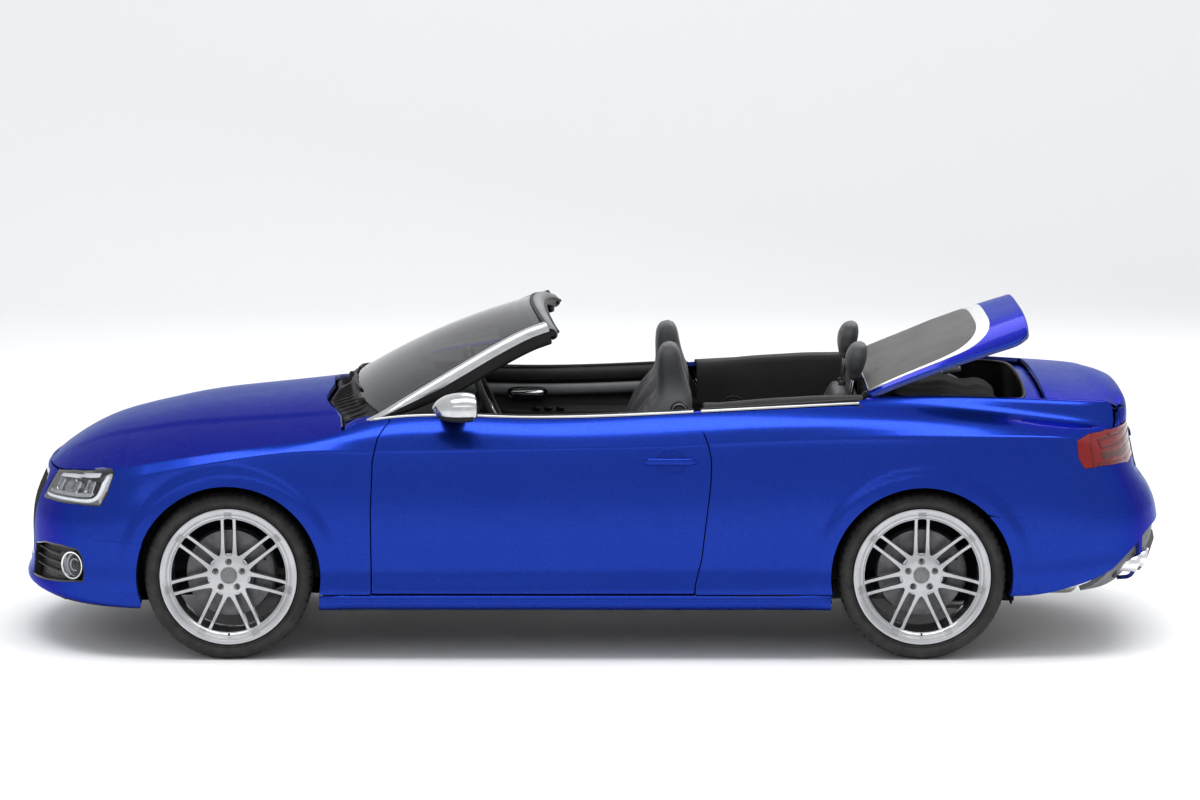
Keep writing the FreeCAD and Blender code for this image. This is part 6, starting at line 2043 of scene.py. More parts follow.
def build_cowl():
    ys = np.array([-.725, -.70, -.64, -.55, -.45, -.34, -.18, 0, .18, .34, .45, .55, .64, .70, .725])
    ay = np.abs(ys)
    fx = np.interp(ay, [0, .18, .34, .45, .55, .64, .74, .80], [-1.046, -1.056, -1.062, -1.048, -1.020, -.995, -.975, -.955])
    fz = np.array([float(bonnet_z(np.array([min(x, -.99)]), np.array([y]))[0]) for x, y in zip(fx, ys)]) - .008
    bx_ = np.interp(ay, [0, .30, .56, .745, .79], [-.975, -.955, -.895, -.828, -.815])
    bz_ = np.interp(ay, [0, .30, .56, .745, .79], [1.020, 1.012, .988, .958, .950])
    rows = []
    for f, dz in ((0, -.020), (.10, -.012), (.3, -.020), (.6, -.022), (.85, -.012), (1.0, -.004)):
        rows.append([(a + (b - a) * f, y, c + (d - c) * f + dz) for a, b, c, d, y in zip(fx, bx_, fz, bz_, ys)])
    surf_panel("cowl", rows, ("black_plastic", "black_plastic"), up=(0, 0, 1), step=.03, rim=.016, fold=(.002, .020), slot="black_trim")
    for k in range(26):
        y = -.62 + k * .0496
        if abs(y) < .03:
            continue
        a = abs(y)
        x0 = np.interp(a, [0, .18, .34, .45, .55, .64, .74, .80], [-1.046, -1.056, -1.062, -1.048, -1.020, -.995, -.975, -.955]) + .014
        x1 = np.interp(a, [0, .30, .56, .745, .79], [-.975, -.955, -.895, -.828, -.815]) - .012
        if x1 - x0 < .012:
            continue
        z0 = float(bonnet_z(np.array([-.99]), np.array([y]))[0]) - .026
        z1 = np.interp(a, [0, .30, .56, .745, .79], [1.020, 1.012, .988, .958, .950]) - .018
        o = sweep("cowl_rib_%02d" % k, [(x0, y, z0), ((x0 + x1) / 2, y, (z0 + z1) / 2), (x1, y, z1)], [(-.002, -.004), (.002, -.004), (.002, .004), (-.002, .004)], m="black_plastic")
        finish_piece(o, "car_body", "black_trim")
    # painted corners between the cowl, the fender and the pillar foot
    for side, mir in (("right", False), ("left", True)):
        rows = []
        for x in np.linspace(-.978, -.806, 9):
            ua, ub = xz((min(x, -.940), float(np.interp(x, [-.990, -.940], [.909, .933])))), uv_x([max(x, -.905)], [.858])
            pa, pb = skin(ua[:, 0], ua[:, 1])[0][0], skin(ub[:, 0], ub[:, 1])[0][0]
            k = float(np.clip((x + .940) / .035, 0, 1))
            e = pa * (1 - k) + pb * k
            yi = float(np.interp(x, [-.978, -.94, -.89, -.85, -.806], [.700, .695, .700, .728, .745]))
            rows.append([(x, e[1] + .001, e[2] - .002), (x, e[1] - .010, e[2] + .003), (x, (e[1] + yi) / 2, e[2] + .007), (x, yi + .006, e[2] + .008), (x, yi, e[2] + .004)])
        surf_panel(side + "_cowl_corner", rows, ("cobalt_paint", "jamb_paint"), mirror=mir, up=(0, 0, 1), step=.018, rim=.008, fold=(.002, .010), slot="paint")
    # wipers resting low on the glass
    for k, (py, tip) in enumerate(((-.52, .10), (.10, .66))):
        def gz(y, up_):
            t = up_
            b = np.array([np.interp(abs(y), [0, .30, .56, .745], [-.985, -.965, -.905, -.835]), y, np.interp(abs(y), [0, .30, .56, .745], [1.020, 1.012, .988, .958])])
            return b + np.array([.72, 0, .31]) * t
        piv = gz(py, -.015) + np.array([0, 0, .004])
        mid = gz(py + (tip - py) * .55, .004) + np.array([0, 0, .012])
        end = gz(tip - .20, .018) + np.array([0, 0, .016])
        arm = sweep("wiper_arm_%d" % k, spl([piv, (piv + mid) / 2 + np.array([0, 0, .004]), mid, end], 5), [(-.009, -.004), (.009, -.004), (.007, .004), (-.007, .004)], m="black_plastic")
        finish_piece(bevel(arm, .001), "car_body", "black_trim")
        cap = lathe("wiper_cap_%d" % k, [(0, .012), (.010, .011), (.014, .004), (.015, -.012)], 24, piv, (0, 0, 1), "black_plastic")
        finish_piece(cap, "car_body", "black_trim")
        bl = [gz(y, .016) + np.array([0, 0, .011]) for y in np.linspace(tip - .50, tip, 12)]
        o = sweep("wiper_blade_%d" % k, bl, [(-.005, -.012), (-.001, -.013), (.001, -.013), (.005, -.002), (.005, .006), (-.005, .006)], m="seal_rubber")
        finish_piece(o, "car_body", "black_trim")


# ------------------------------------------------------------------ wheels
WHEEL_AT = [("front_left", FX, -.785, .118), ("front_right", FX, .785, .118), ("rear_left", RX, -.778, .128), ("rear_right", RX, .778, .128)]


def to_wheel(o, x, y):
    """From the wheel's own axes (+Z out, +Y up) to its place."""
    s = -1 if y < 0 else 1
    o.data.transform(Matrix(((1, 0, 0, x), (0, 0, s, y), (0, 1, 0, WZ), (0, 0, 0, 1))))
    if s > 0:
        o.data.flip_normals()
    return o


def copy_obj(o, name):
    c = bpy.data.objects.new(name, o.data.copy())
    c.data.name = name
    scene.collection.objects.link(c)
    return c


def drop(o):
    me = o.data
    bpy.data.objects.remove(o)
    bpy.data.meshes.remove(me)


def smooth_by(o, deg):
    bm = bmesh.new()
    bm.from_mesh(o.data)
    bmesh.ops.remove_doubles(bm, verts=bm.verts[:], dist=1e-6)
    bmesh.ops.recalc_face_normals(bm, faces=bm.faces[:])
    bm.to_mesh(o.data)
    bm.free()
    o.data.polygons.foreach_set("use_smooth", [True] * len(o.data.polygons))
    o.data.set_sharp_from_angle(angle=math.radians(deg))
    return o


def tyre_mesh(name, w):
    half = [(.2600, w - .0300), (.2700, w - .0262), (.2745, w - .0225), (.2765, w - .0160), (.2790, w - .0105), (.2815, w - .0082), (.2835, w - .0100), (.2855, w - .0098), (.2880, w - .0050), (.2925, w - .0020),
            (.2990, w - .0002), (.3050, w - .0004), (.3095, w - .0022), (.3105, w - .0036), (.3125, w - .0036), (.3140, w - .0040), (.3180, w - .0082), (.3195, w - .0102), (.3208, w - .0110), (.3228, w - .0128),
            (.3268, w - .0190), (.3300, w - .0265), (.3322, w - .0360), (.3335, w - .0460)]
    g = []
    for zc in (.066 * w / .118, .022):
        g += [(.3335, zc + .0052), (.3328, zc + .0042), (.3262, zc + .0034), (.3262, zc - .0034), (.3328, zc - .0042), (.3335, zc - .0052)]
    half += g
    prof = half + [(r, -z) for r, z in half[::-1]]
    frac, deep = [0.0, 0.74, 0.80, 0.92, 0.98], [0, 0, 1, 1, 0]
    pitches = 62
    verts, faces = [], []
    n = len(prof)
    R_, Z_ = np.array([p[0] for p in prof]), np.array([p[1] for p in prof])
    zz = np.abs(Z_)
    shoulder = (zz > .074 * w / .118) & (R_ > .3260)
    lean = np.where(R_ > .325, np.clip(zz - .03, 0, 1) * .35, np.clip((w - .02) - .03, 0, 1) * .35) * np.sign(Z_)
    mid = (zz > .0275) & (zz < .0600 * w / .118) & (R_ > .333)
    for p in range(pitches):
        for f, d in zip(frac, deep):
            a = 2 * math.pi * (p + f) / pitches
            rr = R_ - shoulder * d * .0052 * np.clip((zz - .072) / .012, 0, 1) - mid * d * .0030
            aa = a + lean * .5
            for r_, a_, z_ in zip(rr, aa, Z_):
                verts.append((r_ * math.cos(a_), r_ * math.sin(a_), z_))
    m = pitches * 5
    for i in range(m):
        j = (i + 1) % m
        for k in range(n - 1):
            faces.append((i * n + k, j * n + k, j * n + k + 1, i * n + k + 1))
    o = mesh_obj(name, verts, faces)
    o.data.set_sharp_from_angle(angle=math.radians(38))
    return paint_faces(o, "tyre_rubber")


def wheel_face(name, w):
    add = w - .118
    zr = [(0, .0735), (.050, .0745), (.068, .0735), (.085, .0700), (.105, .0672), (.13, .0665), (.17, .0690), (.20, .0745), (.222, .0815), (.236, .0875), (.2465, .0915), (.26, .0925)]
    RR, ZZ = np.array([q[0] for q in zr]), np.array([q[1] for q in zr])

    def fn(u, v):
        r = np.hypot(u, v)
        z = np.interp(r, RR, ZZ) + add * np.clip(r / .235, 0, 1) ** 1.3
        dz = (np.interp(r + .004, RR, ZZ) - np.interp(r - .004, RR, ZZ)) / .008
        rs = np.maximum(r, 1e-6)
        N = np.stack([-dz * u / rs, -dz * v / rs, np.ones_like(u)], 1)
        N /= np.linalg.norm(N, axis=1)[:, None]
        return np.stack([u, v, z], 1), N
    fr = .0032
    ys = np.array([.066, .075, .085, .100, .130, .170, .205, .222, .2285])
    hw = np.array([.0135, .0128, .0110, .0092, .0080, .0073, .0071, .0076, .0088]) - fr
    off = .0236
    holes = []
    n = 7

    def rot(pts, a):
        c, s = math.cos(a), math.sin(a)
        return [(c * x - s * y, s * x + c * y) for x, y in pts]
    # narrow windows inside each pair
    narrow = []
    yn = np.linspace(.084, .2255, 16)
    hn = off - np.interp(yn, ys, hw)
    right = [(h_, y_) for h_, y_ in zip(hn, yn)]
    top = [(right[-1][0] * math.cos(t) , right[-1][1] + .0045 * math.sin(t)) for t in np.linspace(.3, math.pi - .3, 7)]
    bot = [(right[0][0] * math.cos(t), right[0][1] + .0075 * math.sin(t)) for t in np.linspace(math.pi + .25, 2 * math.pi - .25, 7)]
    narrow = right + top + [(-x, y) for x, y in right[::-1]] + bot
    # wide windows between neighbouring pairs, about the bisector
    half = math.pi / n
    yw = np.linspace(.070, .2262, 34)
    xr = off + np.interp(yw, ys, hw)
    edge = rot(list(zip(xr, yw)), half)
    edge = [(x, y) for x, y in edge if x < -.0004]
    # fillet at the apex and at the outer corners
    a0 = edge[0]
    edge2 = [e for e in edge if math.hypot(*e) > .0885]
    apx = math.hypot(*edge2[0])
    end = edge2[-1]
    ang_e = math.atan2(end[1], end[0])
    ro = .2285
    outer = []
    a1 = ang_e - math.radians(1.6)
    outer = [(ro * math.cos(t), ro * math.sin(t)) for t in np.linspace(a1, math.pi - a1, 30)]
    left = edge2
    right_ = [(-x, y) for x, y in edge2[::-1]]
    wtip = [(edge2[0][0] * .55, edge2[0][1] - .0035), (0, edge2[0][1] - .0048), (-edge2[0][0] * .55, edge2[0][1] - .0035)]
    wide = left + outer + right_ + wtip[::-1]
    for k in range(n):
        a = 2 * math.pi * k / n
        holes.append(np.array(rot(narrow, a)))
        holes.append(np.array(rot(wide, a + half)))
    for k in range(5):
        a = math.pi / 2 + 2 * math.pi * k / 5
        holes.append(np.array([(.0555 * math.cos(a) + .0150 * math.cos(t), .0555 * math.sin(a) + .0150 * math.sin(t)) for t in np.linspace(0, 2 * math.pi, 28, endpoint=False)]))
    out = [(.2455 * math.cos(t), .2455 * math.sin(t)) for t in np.linspace(0, 2 * math.pi, 200, endpoint=False)]
    o = panel(name, out, fn, holes=holes, step=.010, rim=.0048, fold=(fr, .024))
    o.data.materials.append(M["alloy_silver"])
    o.data.materials.append(M["alloy_silver"])
    return o


def barrel(name, w):
    p = [(.2725, w - .0212), (.2725, w - .0135), (.2715, w - .0112), (.2690, w - .0105), (.2600, w - .0118), (.2520, w - .0150), (.2492, w - .0172), (.2482, w - .0205), (.2470, w - .0215),
         (.2458, w - .0215), (.2440, w - .0240), (.2395, w - .0255), (.2350, w - .0262), (.2312, w - .0300), (.2302, w - .0400), (.2290, w - .0700), (.2265, w - .1000), (.2250, .0), (.2265, .04 - w), (.2295, .025 - w), (.2340, .014 - w), (.2500, .0115 - w),
         (.2700, .0105 - w), (.2722, .0120 - w), (.2725, .0212 - w), (.2660, .0240 - w), (.2590, .0300 - w), (.2570, .06 - w), (.2420, .0), (.2570, w - .0650), (.2590, w - .0300), (.2660, w - .0240)]
    o = lathe(name, p, 128, m="alloy_silver", closed=True, angle=32)
    return o


def build_wheels():
    made = {}
    for nm, x, y, w in WHEEL_AT:
        if w not in made:
            t = tyre_mesh("tyre_%d" % (w * 1000), w)
            parts_ = [barrel("barrel_%d" % (w * 1000), w), wheel_face("face_%d" % (w * 1000), w)]
            # back face of the hub and stem of the valve
            hub = lathe("hub_b", [(.0202, .041), (.066, .041), (.078, .046), (.086, .052), (.0862, .058), (.05, .060)], 48, m="alloy_silver", angle=30)
            parts_.append(hub)
            stem = tube("stem", [(0, -.2335, w - .035), (0, -.2335, w - .022), (0, -.2335, w - .0185)], .0042, "black_plastic", 12)
            parts_.append(stem)
            for k in range(7):
                a = math.pi / 2 + 2 * math.pi * k / 7
                # thin plate of darker alloy lying on the lip between the two spoke ends: painted shade standing for a
                # shallow pocket
                pk = []
                for rr_, zz_ in ((.2330, w - .0250), (.2400, w - .0242), (.2460, w - .0202), (.2520, w - .0140), (.2565, w - .0122)):
                    pk.append([((rr_) * math.cos(a + t_) , (rr_) * math.sin(a + t_), zz_ + .0012) for t_ in np.linspace(-.062, .062, 9)])
                q = []
                vs_ = [v for row in pk for v in row]
                for i in range(4):
                    for j in range(8):
                        q.append((i * 9 + j, (i + 1) * 9 + j, (i + 1) * 9 + j + 1, i * 9 + j + 1))
                pko = mesh_obj("pocket_%d" % k, vs_, q)
                so = pko.modifiers.new("s", "SOLIDIFY")
                so.thickness = .0022
                so.offset = -1
                apply_mods(pko)
                smooth_by(pko, 40)
                pko.data.materials.clear()
                pko.data.materials.append(M["alloy_shadow"])
                parts_.append(pko)
            r = join(parts_, "rimset_%d" % (w * 1000))
            # bolts and cap
            extras = []
            cap = lathe("cap", [(0, .0805), (.012, .0803), (.026, .0790), (.0305, .0770), (.0322, .0740), (.0325, .070)], 48, m="wheel_cap", angle=40)
            extras.append(cap)
            lip = lathe("caplip", [(.0325, .0720), (.0330, .0765), (.0340, .0772), (.0352, .0765), (.0356, .0720)], 48, m="alloy_silver", angle=40)
            extras.append(lip)
            for k in range(5):
                a = math.pi / 2 + 2 * math.pi * k / 5
                cx, cy = .0555 * math.cos(a), .0555 * math.sin(a)
                floor = lathe("seat", [(0, .0570), (.0152, .0570), (.0152, .0535), (0, .0535)], 24, (cx, cy, 0), m="cast_dark", angle=40)
                hexp = [(cx + .0092 * math.cos(math.radians(60 * q + 30)), cy + .0092 * math.sin(math.radians(60 * q + 30))) for q in range(6)]
                hx = prism("bolt", hexp, "z", .0560, .0665, r=.0012, segs=2, m="cast_dark")
                wsh = lathe("washer", [(0, .0600), (.0115, .0600), (.0128, .0585), (.0132, .0560)], 24, (cx, cy, 0), m="bright_steel", angle=40)
                extras += [floor, hx, wsh]
            e = join(extras, "bolts_%d" % (w * 1000))
            made[w] = (t, r, e)
        t, r, e = made[w]
        body = nm + "_wheel"
        finish_piece(to_wheel(copy_obj(t, nm + "_tyre_tread"), x, y), body, "tyre_rubber", (nm + "_tyre",))
        finish_piece(to_wheel(copy_obj(r, nm + "_wheel_rim"), x, y), body, "wheel_alloy", (nm + "_rim",))
        finish_piece(to_wheel(copy_obj(e, nm + "_wheel_bolts"), x, y), body, "wheel_alloy")
    for v in made.values():
        for o in v:
            drop(o)


def build_brakes():
    """Vented discs, hats and calipers."""
    def disc_plate(name, z0, z1, r0, r1):
        out = [(r1 * math.cos(t), r1 * math.sin(t)) for t in np.linspace(0, 2 * math.pi, 160, endpoint=False)]
        inn = [(r0 * math.cos(t), r0 * math.sin(t)) for t in np.linspace(0, 2 * math.pi, 96, endpoint=False)]

        def fn(u, v):
            N = np.zeros((len(u), 3))
            N[:, 2] = 1 if z1 > z0 else -1
            return np.stack([u, v, np.full_like(u, z1)], 1), N
        o = panel(name, out, fn, holes=[np.array(inn)], step=.018, rim=.006, fold=(.0006, abs(z1 - z0)))
        o.data.materials.append(M["disc_steel"])
        o.data.materials.append(M["disc_steel"])
        return o
    items = [disc_plate("dp1", -.010, -.0006, .088, .1714), disc_plate("dp2", -.020, -.0294, .088, .1714)]
    for k in range(40):
        a = 2 * math.pi * k / 40
        b = rbox("vane", (.092, -.0022, -.0205), (.168, .0022, -.0095), .0005, 1, "disc_steel")
        b.data.transform(Matrix.Rotation(a, 4, "Z"))
        items.append(b)
    hat = lathe("hat", [(.0202, .0310), (.0202, .0396), (.074, .0396), (.0795, .0385), (.0825, .0350), (.0838, .0290), (.0842, .0010), (.0890, -.0008), (.0890, -.0100), (.0760, -.0105), (.0745, .0300), (.0700, .0312)], 72, m="cast_dark", closed=True, angle=35)
    items.append(hat)
    ds = join(items, "disc_set")
    sec = [(-.043, .005), (-.043, .017), (-.030, .0205), (.015, .0205), (.034, .015), (.041, .004), (.0420, -.020), (.041, -.044), (.033, -.056), (.010, -.060), (-.034, -.060), (-.043, -.054), (-.043, -.040), (-.036, -.0385), (.026, -.0385), (.031, -.034), (.032, -.017), (.031, .001), (.026, .0055), (-.036, .0055)]
    path = [(.145 * math.cos(a), .145 * math.sin(a), 0) for a in np.linspace(math.radians(-27), math.radians(27), 15)]
    cal = sweep("cal", path, sec, up=(0, 0, 1), m="caliper_dark", angle=35)
    bevel(cal, .0015, 2, 40)
    pist = []
    for a in (-13, 13):
        c = (.137 * math.cos(math.radians(a)), .137 * math.sin(math.radians(a)), -.060)
        pist.append(lathe("pist", [(0, -.008), (.018, -.008), (.021, -.006), (.022, .002)], 28, c, (0, 0, 1), "caliper_dark"))
    pin = []
    for a in (-22, 22):
        c0 = Vector((.152 * math.cos(math.radians(a)), .152 * math.sin(math.radians(a)), 0))
        pin.append(tube("pin", [c0 + Vector((0, 0, -.064)), c0 + Vector((0, 0, .0205))], .005, "bright_steel", 12))
    carrier = rbox("carrier", (.030, -.045, -.0595), (.115, .045, -.0475), .004, 2, "cast_dark")
    cs = join([cal, carrier] + pist + pin, "caliper_set")
    hubc = lathe("hubc", [(.0, -.108), (.034, -.106), (.046, -.098), (.048, -.060), (.046, -.053), (.032, -.052), (.030, -.0515), (.0198, -.0515), (.0198, .064), (.017, .066), (0, .066)], 40, m="cast_dark", angle=35)
    upr = prism("upr", [(-.020, -.150), (.020, -.150), (.026, -.110), (.045, -.050), (.052, 0), (.045, .050), (.026, .110), (.020, .150), (-.020, .150), (-.030, .100), (-.048, .040), (-.052, 0), (-.048, -.040), (-.030, -.100)], "z", -.106, -.058, r=.006, segs=2, m="cast_dark")
    shield = lathe("shield", [(.052, -.050), (.100, -.0475), (.165, -.0455), (.178, -.043), (.1785, -.040), (.165, -.0435), (.100, -.0455), (.052, -.048)], 72, m="underseal", closed=True, angle=35, arc=(38, 322))
    joints_ = []
    for yy in (-.150, .150):
        joints_.append(lathe("bj", [(0, .020), (.012, .019), (.019, .010), (.020, 0), (.017, -.012), (.010, -.018), (0, -.019)], 24, (0, yy, -.082), (0, 0, 1), "seal_rubber"))
    ks = join([hubc, upr, shield] + joints_, "carrier_set")
    for nm, x, y, w in WHEEL_AT:
        finish_piece(to_wheel(copy_obj(ds, nm + "_disc_vented"), x, y), nm + "_wheel", "disc_iron", (nm + "_brake_disc",))
        side = "left" if y < 0 else "right"
        body = side + "_knuckle" if nm.startswith("front") else "car_body"
        rep = (side + "_knuckle",) if nm.startswith("front") else ("rear_axle",)
        finish_piece(to_wheel(copy_obj(cs, nm + "_caliper"), x, y), body, "cast_metal", rep if nm != "rear_right" else ())
        finish_piece(to_wheel(copy_obj(ks, nm + "_hub_carrier"), x, y), body, "cast_metal")
    for o in (ds, cs, ks):
        drop(o)


# ------------------------------------------------------------------ seats
def bump1(x, c, w):
    return np.exp(-((x - c) / w) ** 2)


def loft_body(name, rings, caps=True):
    """Closed skin through equal rings of points, ends pulled to their centres."""
    n = len(rings[0])
    verts = [p for r in rings for p in r]
    faces = []
    for j in range(len(rings) - 1):
        for i in range(n):
            k = (i + 1) % n
            faces.append((j * n + i, j * n + k, (j + 1) * n + k, (j + 1) * n + i))
    if caps:
        for j, rv in ((0, True), (len(rings) - 1, False)):
            c = tuple(np.mean(np.array(rings[j]), 0))
            verts.append(c)
            q = len(verts) - 1
            for i in range(n):
                k = (i + 1) % n
                f = (j * n + k, j * n + i, q) if rv else (j * n + i, j * n + k, q)
                faces.append(f)
    o = mesh_obj(name, verts, faces)
    bm = bmesh.new()
    bm.from_mesh(o.data)
    bmesh.ops.recalc_face_normals(bm, faces=bm.faces[:])
    bm.to_mesh(o.data)
    bm.free()
    return o


def se(c, p):
    return math.copysign(abs(c) ** p, c)


def seat_back(name, yc, tab, seams=(), bolster=(), insert=.58, n=72, rows=90, body="car_body", rep=(), crown=.004, fill=.95):
    """tab columns: z, front x, rear x, half width.  seams: heights of sewn channels."""
    T = np.array(tab)
    zs = np.linspace(T[0, 0], T[-1, 0], rows)
    cols = natural(T[:, 0], T[:, 1:])(zs) if callable(natural(T[:, 0], T[:, 1:])) else None
    rings, seam_pts = [], {-1: [], 1: []}
    BZ = np.array(bolster) if len(bolster) else np.array([[0, 0], [9, 0]])
    for i, z in enumerate(zs):
        f, r, w = cols[i]
        end = min((z - zs[0]) / .02, (zs[-1] - z) / .014, 1.0)
        k = math.sqrt(max(1 - (1 - end) ** 2, .0004))
        xm = (f + r) / 2
        df, dr = (xm - f) * (.3 + .7 * k), (r - xm) * (.3 + .7 * k)
        ww = w * (.55 + .45 * k)
        b = float(np.interp(z, BZ[:, 0], BZ[:, 1])) * k
        ringp = []
        for q in range(n):
            a = 2 * math.pi * q / n
            c, s = math.cos(a), math.sin(a)
            y = ww * se(c, .62)
            u = abs(y) / ww
            if s >= 0:
                x = xm - df * se(s, .50)
                m = s ** .25
                d = b * float(bump1(u, .82, .16)) * m
                ch = 0.0
                if u < insert:
                    for z0 in seams:
                        ch += .0065 * float(bump1(z, z0, .0048))
                ch += .006 * float(bump1(u, insert, .022)) * (1 if b > .004 else 0)
                x += -d + ch * m - crown * m * (1 - u * u)
            else:
                x = xm + dr * se(-s, .50)
                x += .004 * float(bump1(u, .86, .02)) * -1
            ringp.append((x, yc + y, z))
        rings.append(ringp)
    o = loft_body(name, rings)
    o.data.materials.append(M["grey_leather"])
    o.data.materials.append(M["black_leather"])
    for p in o.data.polygons:
        c = p.center
        i = int(np.clip((c.z - zs[0]) / (zs[-1] - zs[0]) * (rows - 1), 0, rows - 1))
        w = cols[i][2]
        xm = (cols[i][0] + cols[i][1]) / 2
        if abs(c.y - yc) < w * insert and c.x < xm and (b is not None) and float(np.interp(c.z, BZ[:, 0], BZ[:, 1])) > .008:
            p.material_index = 1
    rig.padded(o, fill)
    finish_piece(o, body, "black_leather", rep)
    return o, zs, cols


def seat_base(name, yc, tab, seams=(), insert=.58, rows=90, n=72, rep=(), bolster=.03, fill=.95, side="x"):
    """tab columns: x, top z, bottom z, half width."""
    T = np.array(tab)
    xs = np.linspace(T[0, 0], T[-1, 0], rows)
    cols = natural(T[:, 0], T[:, 1:])(xs)
    rings = []
    for i, x in enumerate(xs):
        t, bt, w = cols[i]
        end = min((x - xs[0]) / .035, (xs[-1] - x) / .02, 1.0)
        k = math.sqrt(max(1 - (1 - end) ** 2, .0004))
        zm = (t + bt) / 2
        up_, dn = (t - zm) * (.35 + .65 * k), (zm - bt) * (.5 + .5 * k)
        ww = w * (.80 + .20 * k)
        bo = bolster * k * float(np.clip((x - xs[0]) / .12, .25, 1))
        rp = []
        for q in range(n):
            a = 2 * math.pi * q / n
            c, s = math.cos(a), math.sin(a)
            y = ww * se(c, .60)
            u = abs(y) / ww
            if s >= 0:
                m = s ** .25
                z = zm + up_ * se(s, .5) + bo * float(bump1(u, .84, .15)) * m + .004 * (1 - u * u) * m
                if u < insert:
                    for x0 in seams:
                        z -= .0065 * float(bump1(x, x0, .0048)) * m
                z -= .006 * float(bump1(u, insert, .022)) * m * (1 if bolster else 0)
            else:
                z = zm - dn * se(-s, .4)
            rp.append((x, yc + y, z))
        rings.append(rp)
    o = loft_body(name, rings)
    o.data.materials.append(M["grey_leather"])
    o.data.materials.append(M["black_leather"])
    for p in o.data.polygons:
        c = p.center
        i = int(np.clip((c.x - xs[0]) / (xs[-1] - xs[0]) * (rows - 1), 0, rows - 1))
        if abs(c.y - yc) < cols[i][2] * insert and p.normal.z > .4 and c.z > (cols[i][0] + cols[i][1]) / 2:
            p.material_index = 1
    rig.padded(o, fill)
    finish_piece(o, "car_body", "black_leather", rep)
    return o, xs, cols


def stitches(name, pts, length=.0045, r=.0009, gap=.0025):
    """A row of short threads lying along a line."""
    P = [Vector(p) for p in pts]
    d = [0.0]
    for a, b in zip(P, P[1:]):
        d.append(d[-1] + (b - a).length)
    A = np.array([tuple(p) for p in P])

    def at(s):
        return np.array([np.interp(s, d, A[:, i]) for i in range(3)])
    verts, faces = [], []
    s = 0.0
    while s + length < d[-1]:
        a, b = at(s), at(s + length)
        t = (b - a) / np.linalg.norm(b - a)
        e1 = np.cross(t, (0, 0, 1.0))
        if np.linalg.norm(e1) < .2:
            e1 = np.cross(t, (0, 1.0, 0))
        e1 /= np.linalg.norm(e1)
        e2 = np.cross(t, e1)
        k = len(verts)
        for p, sc in ((a, .5), (a * .75 + b * .25, 1), (a * .25 + b * .75, 1), (b, .5)):
            for q in range(5):
                an = 2 * math.pi * q / 5
                verts.append(p + (e1 * math.cos(an) + e2 * math.sin(an)) * r * sc)
        for j in range(3):
            for q in range(5):
                faces.append((k + j * 5 + q, k + j * 5 + (q + 1) % 5, k + (j + 1) * 5 + (q + 1) % 5, k + (j + 1) * 5 + q))
        faces.append(tuple(k + q for q in range(5))[::-1])
        faces.append(tuple(k + 15 + q for q in range(5)))
        s += length + gap
    o = mesh_obj(name, verts, faces)
    finish_piece(paint_faces(o, "stitch_thread"), "car_body", "black_leather")
    return o


FRONT_BACK = [(.425, .060, .250, .200), (.47, .062, .290, .226), (.60, .098, .325, .236), (.72, .137, .358, .237), (.82, .170, .384, .234), (.90, .203, .400, .226), (.96, .234, .407, .208), (1.00, .257, .403, .176),
              (1.035, .268, .393, .146), (1.07, .270, .381, .130), (1.11, .269, .370, .122), (1.15, .271, .362, .114), (1.18, .278, .353, .100), (1.205, .296, .338, .078)]
FRONT_CUSH = [(-.476, .425, .350, .205), (-.455, .452, .330, .220), (-.40, .462, .322, .230), (-.25, .452, .318, .233), (-.05, .438, .318, .233), (.06, .436, .318, .230), (.115, .430, .325, .215)]


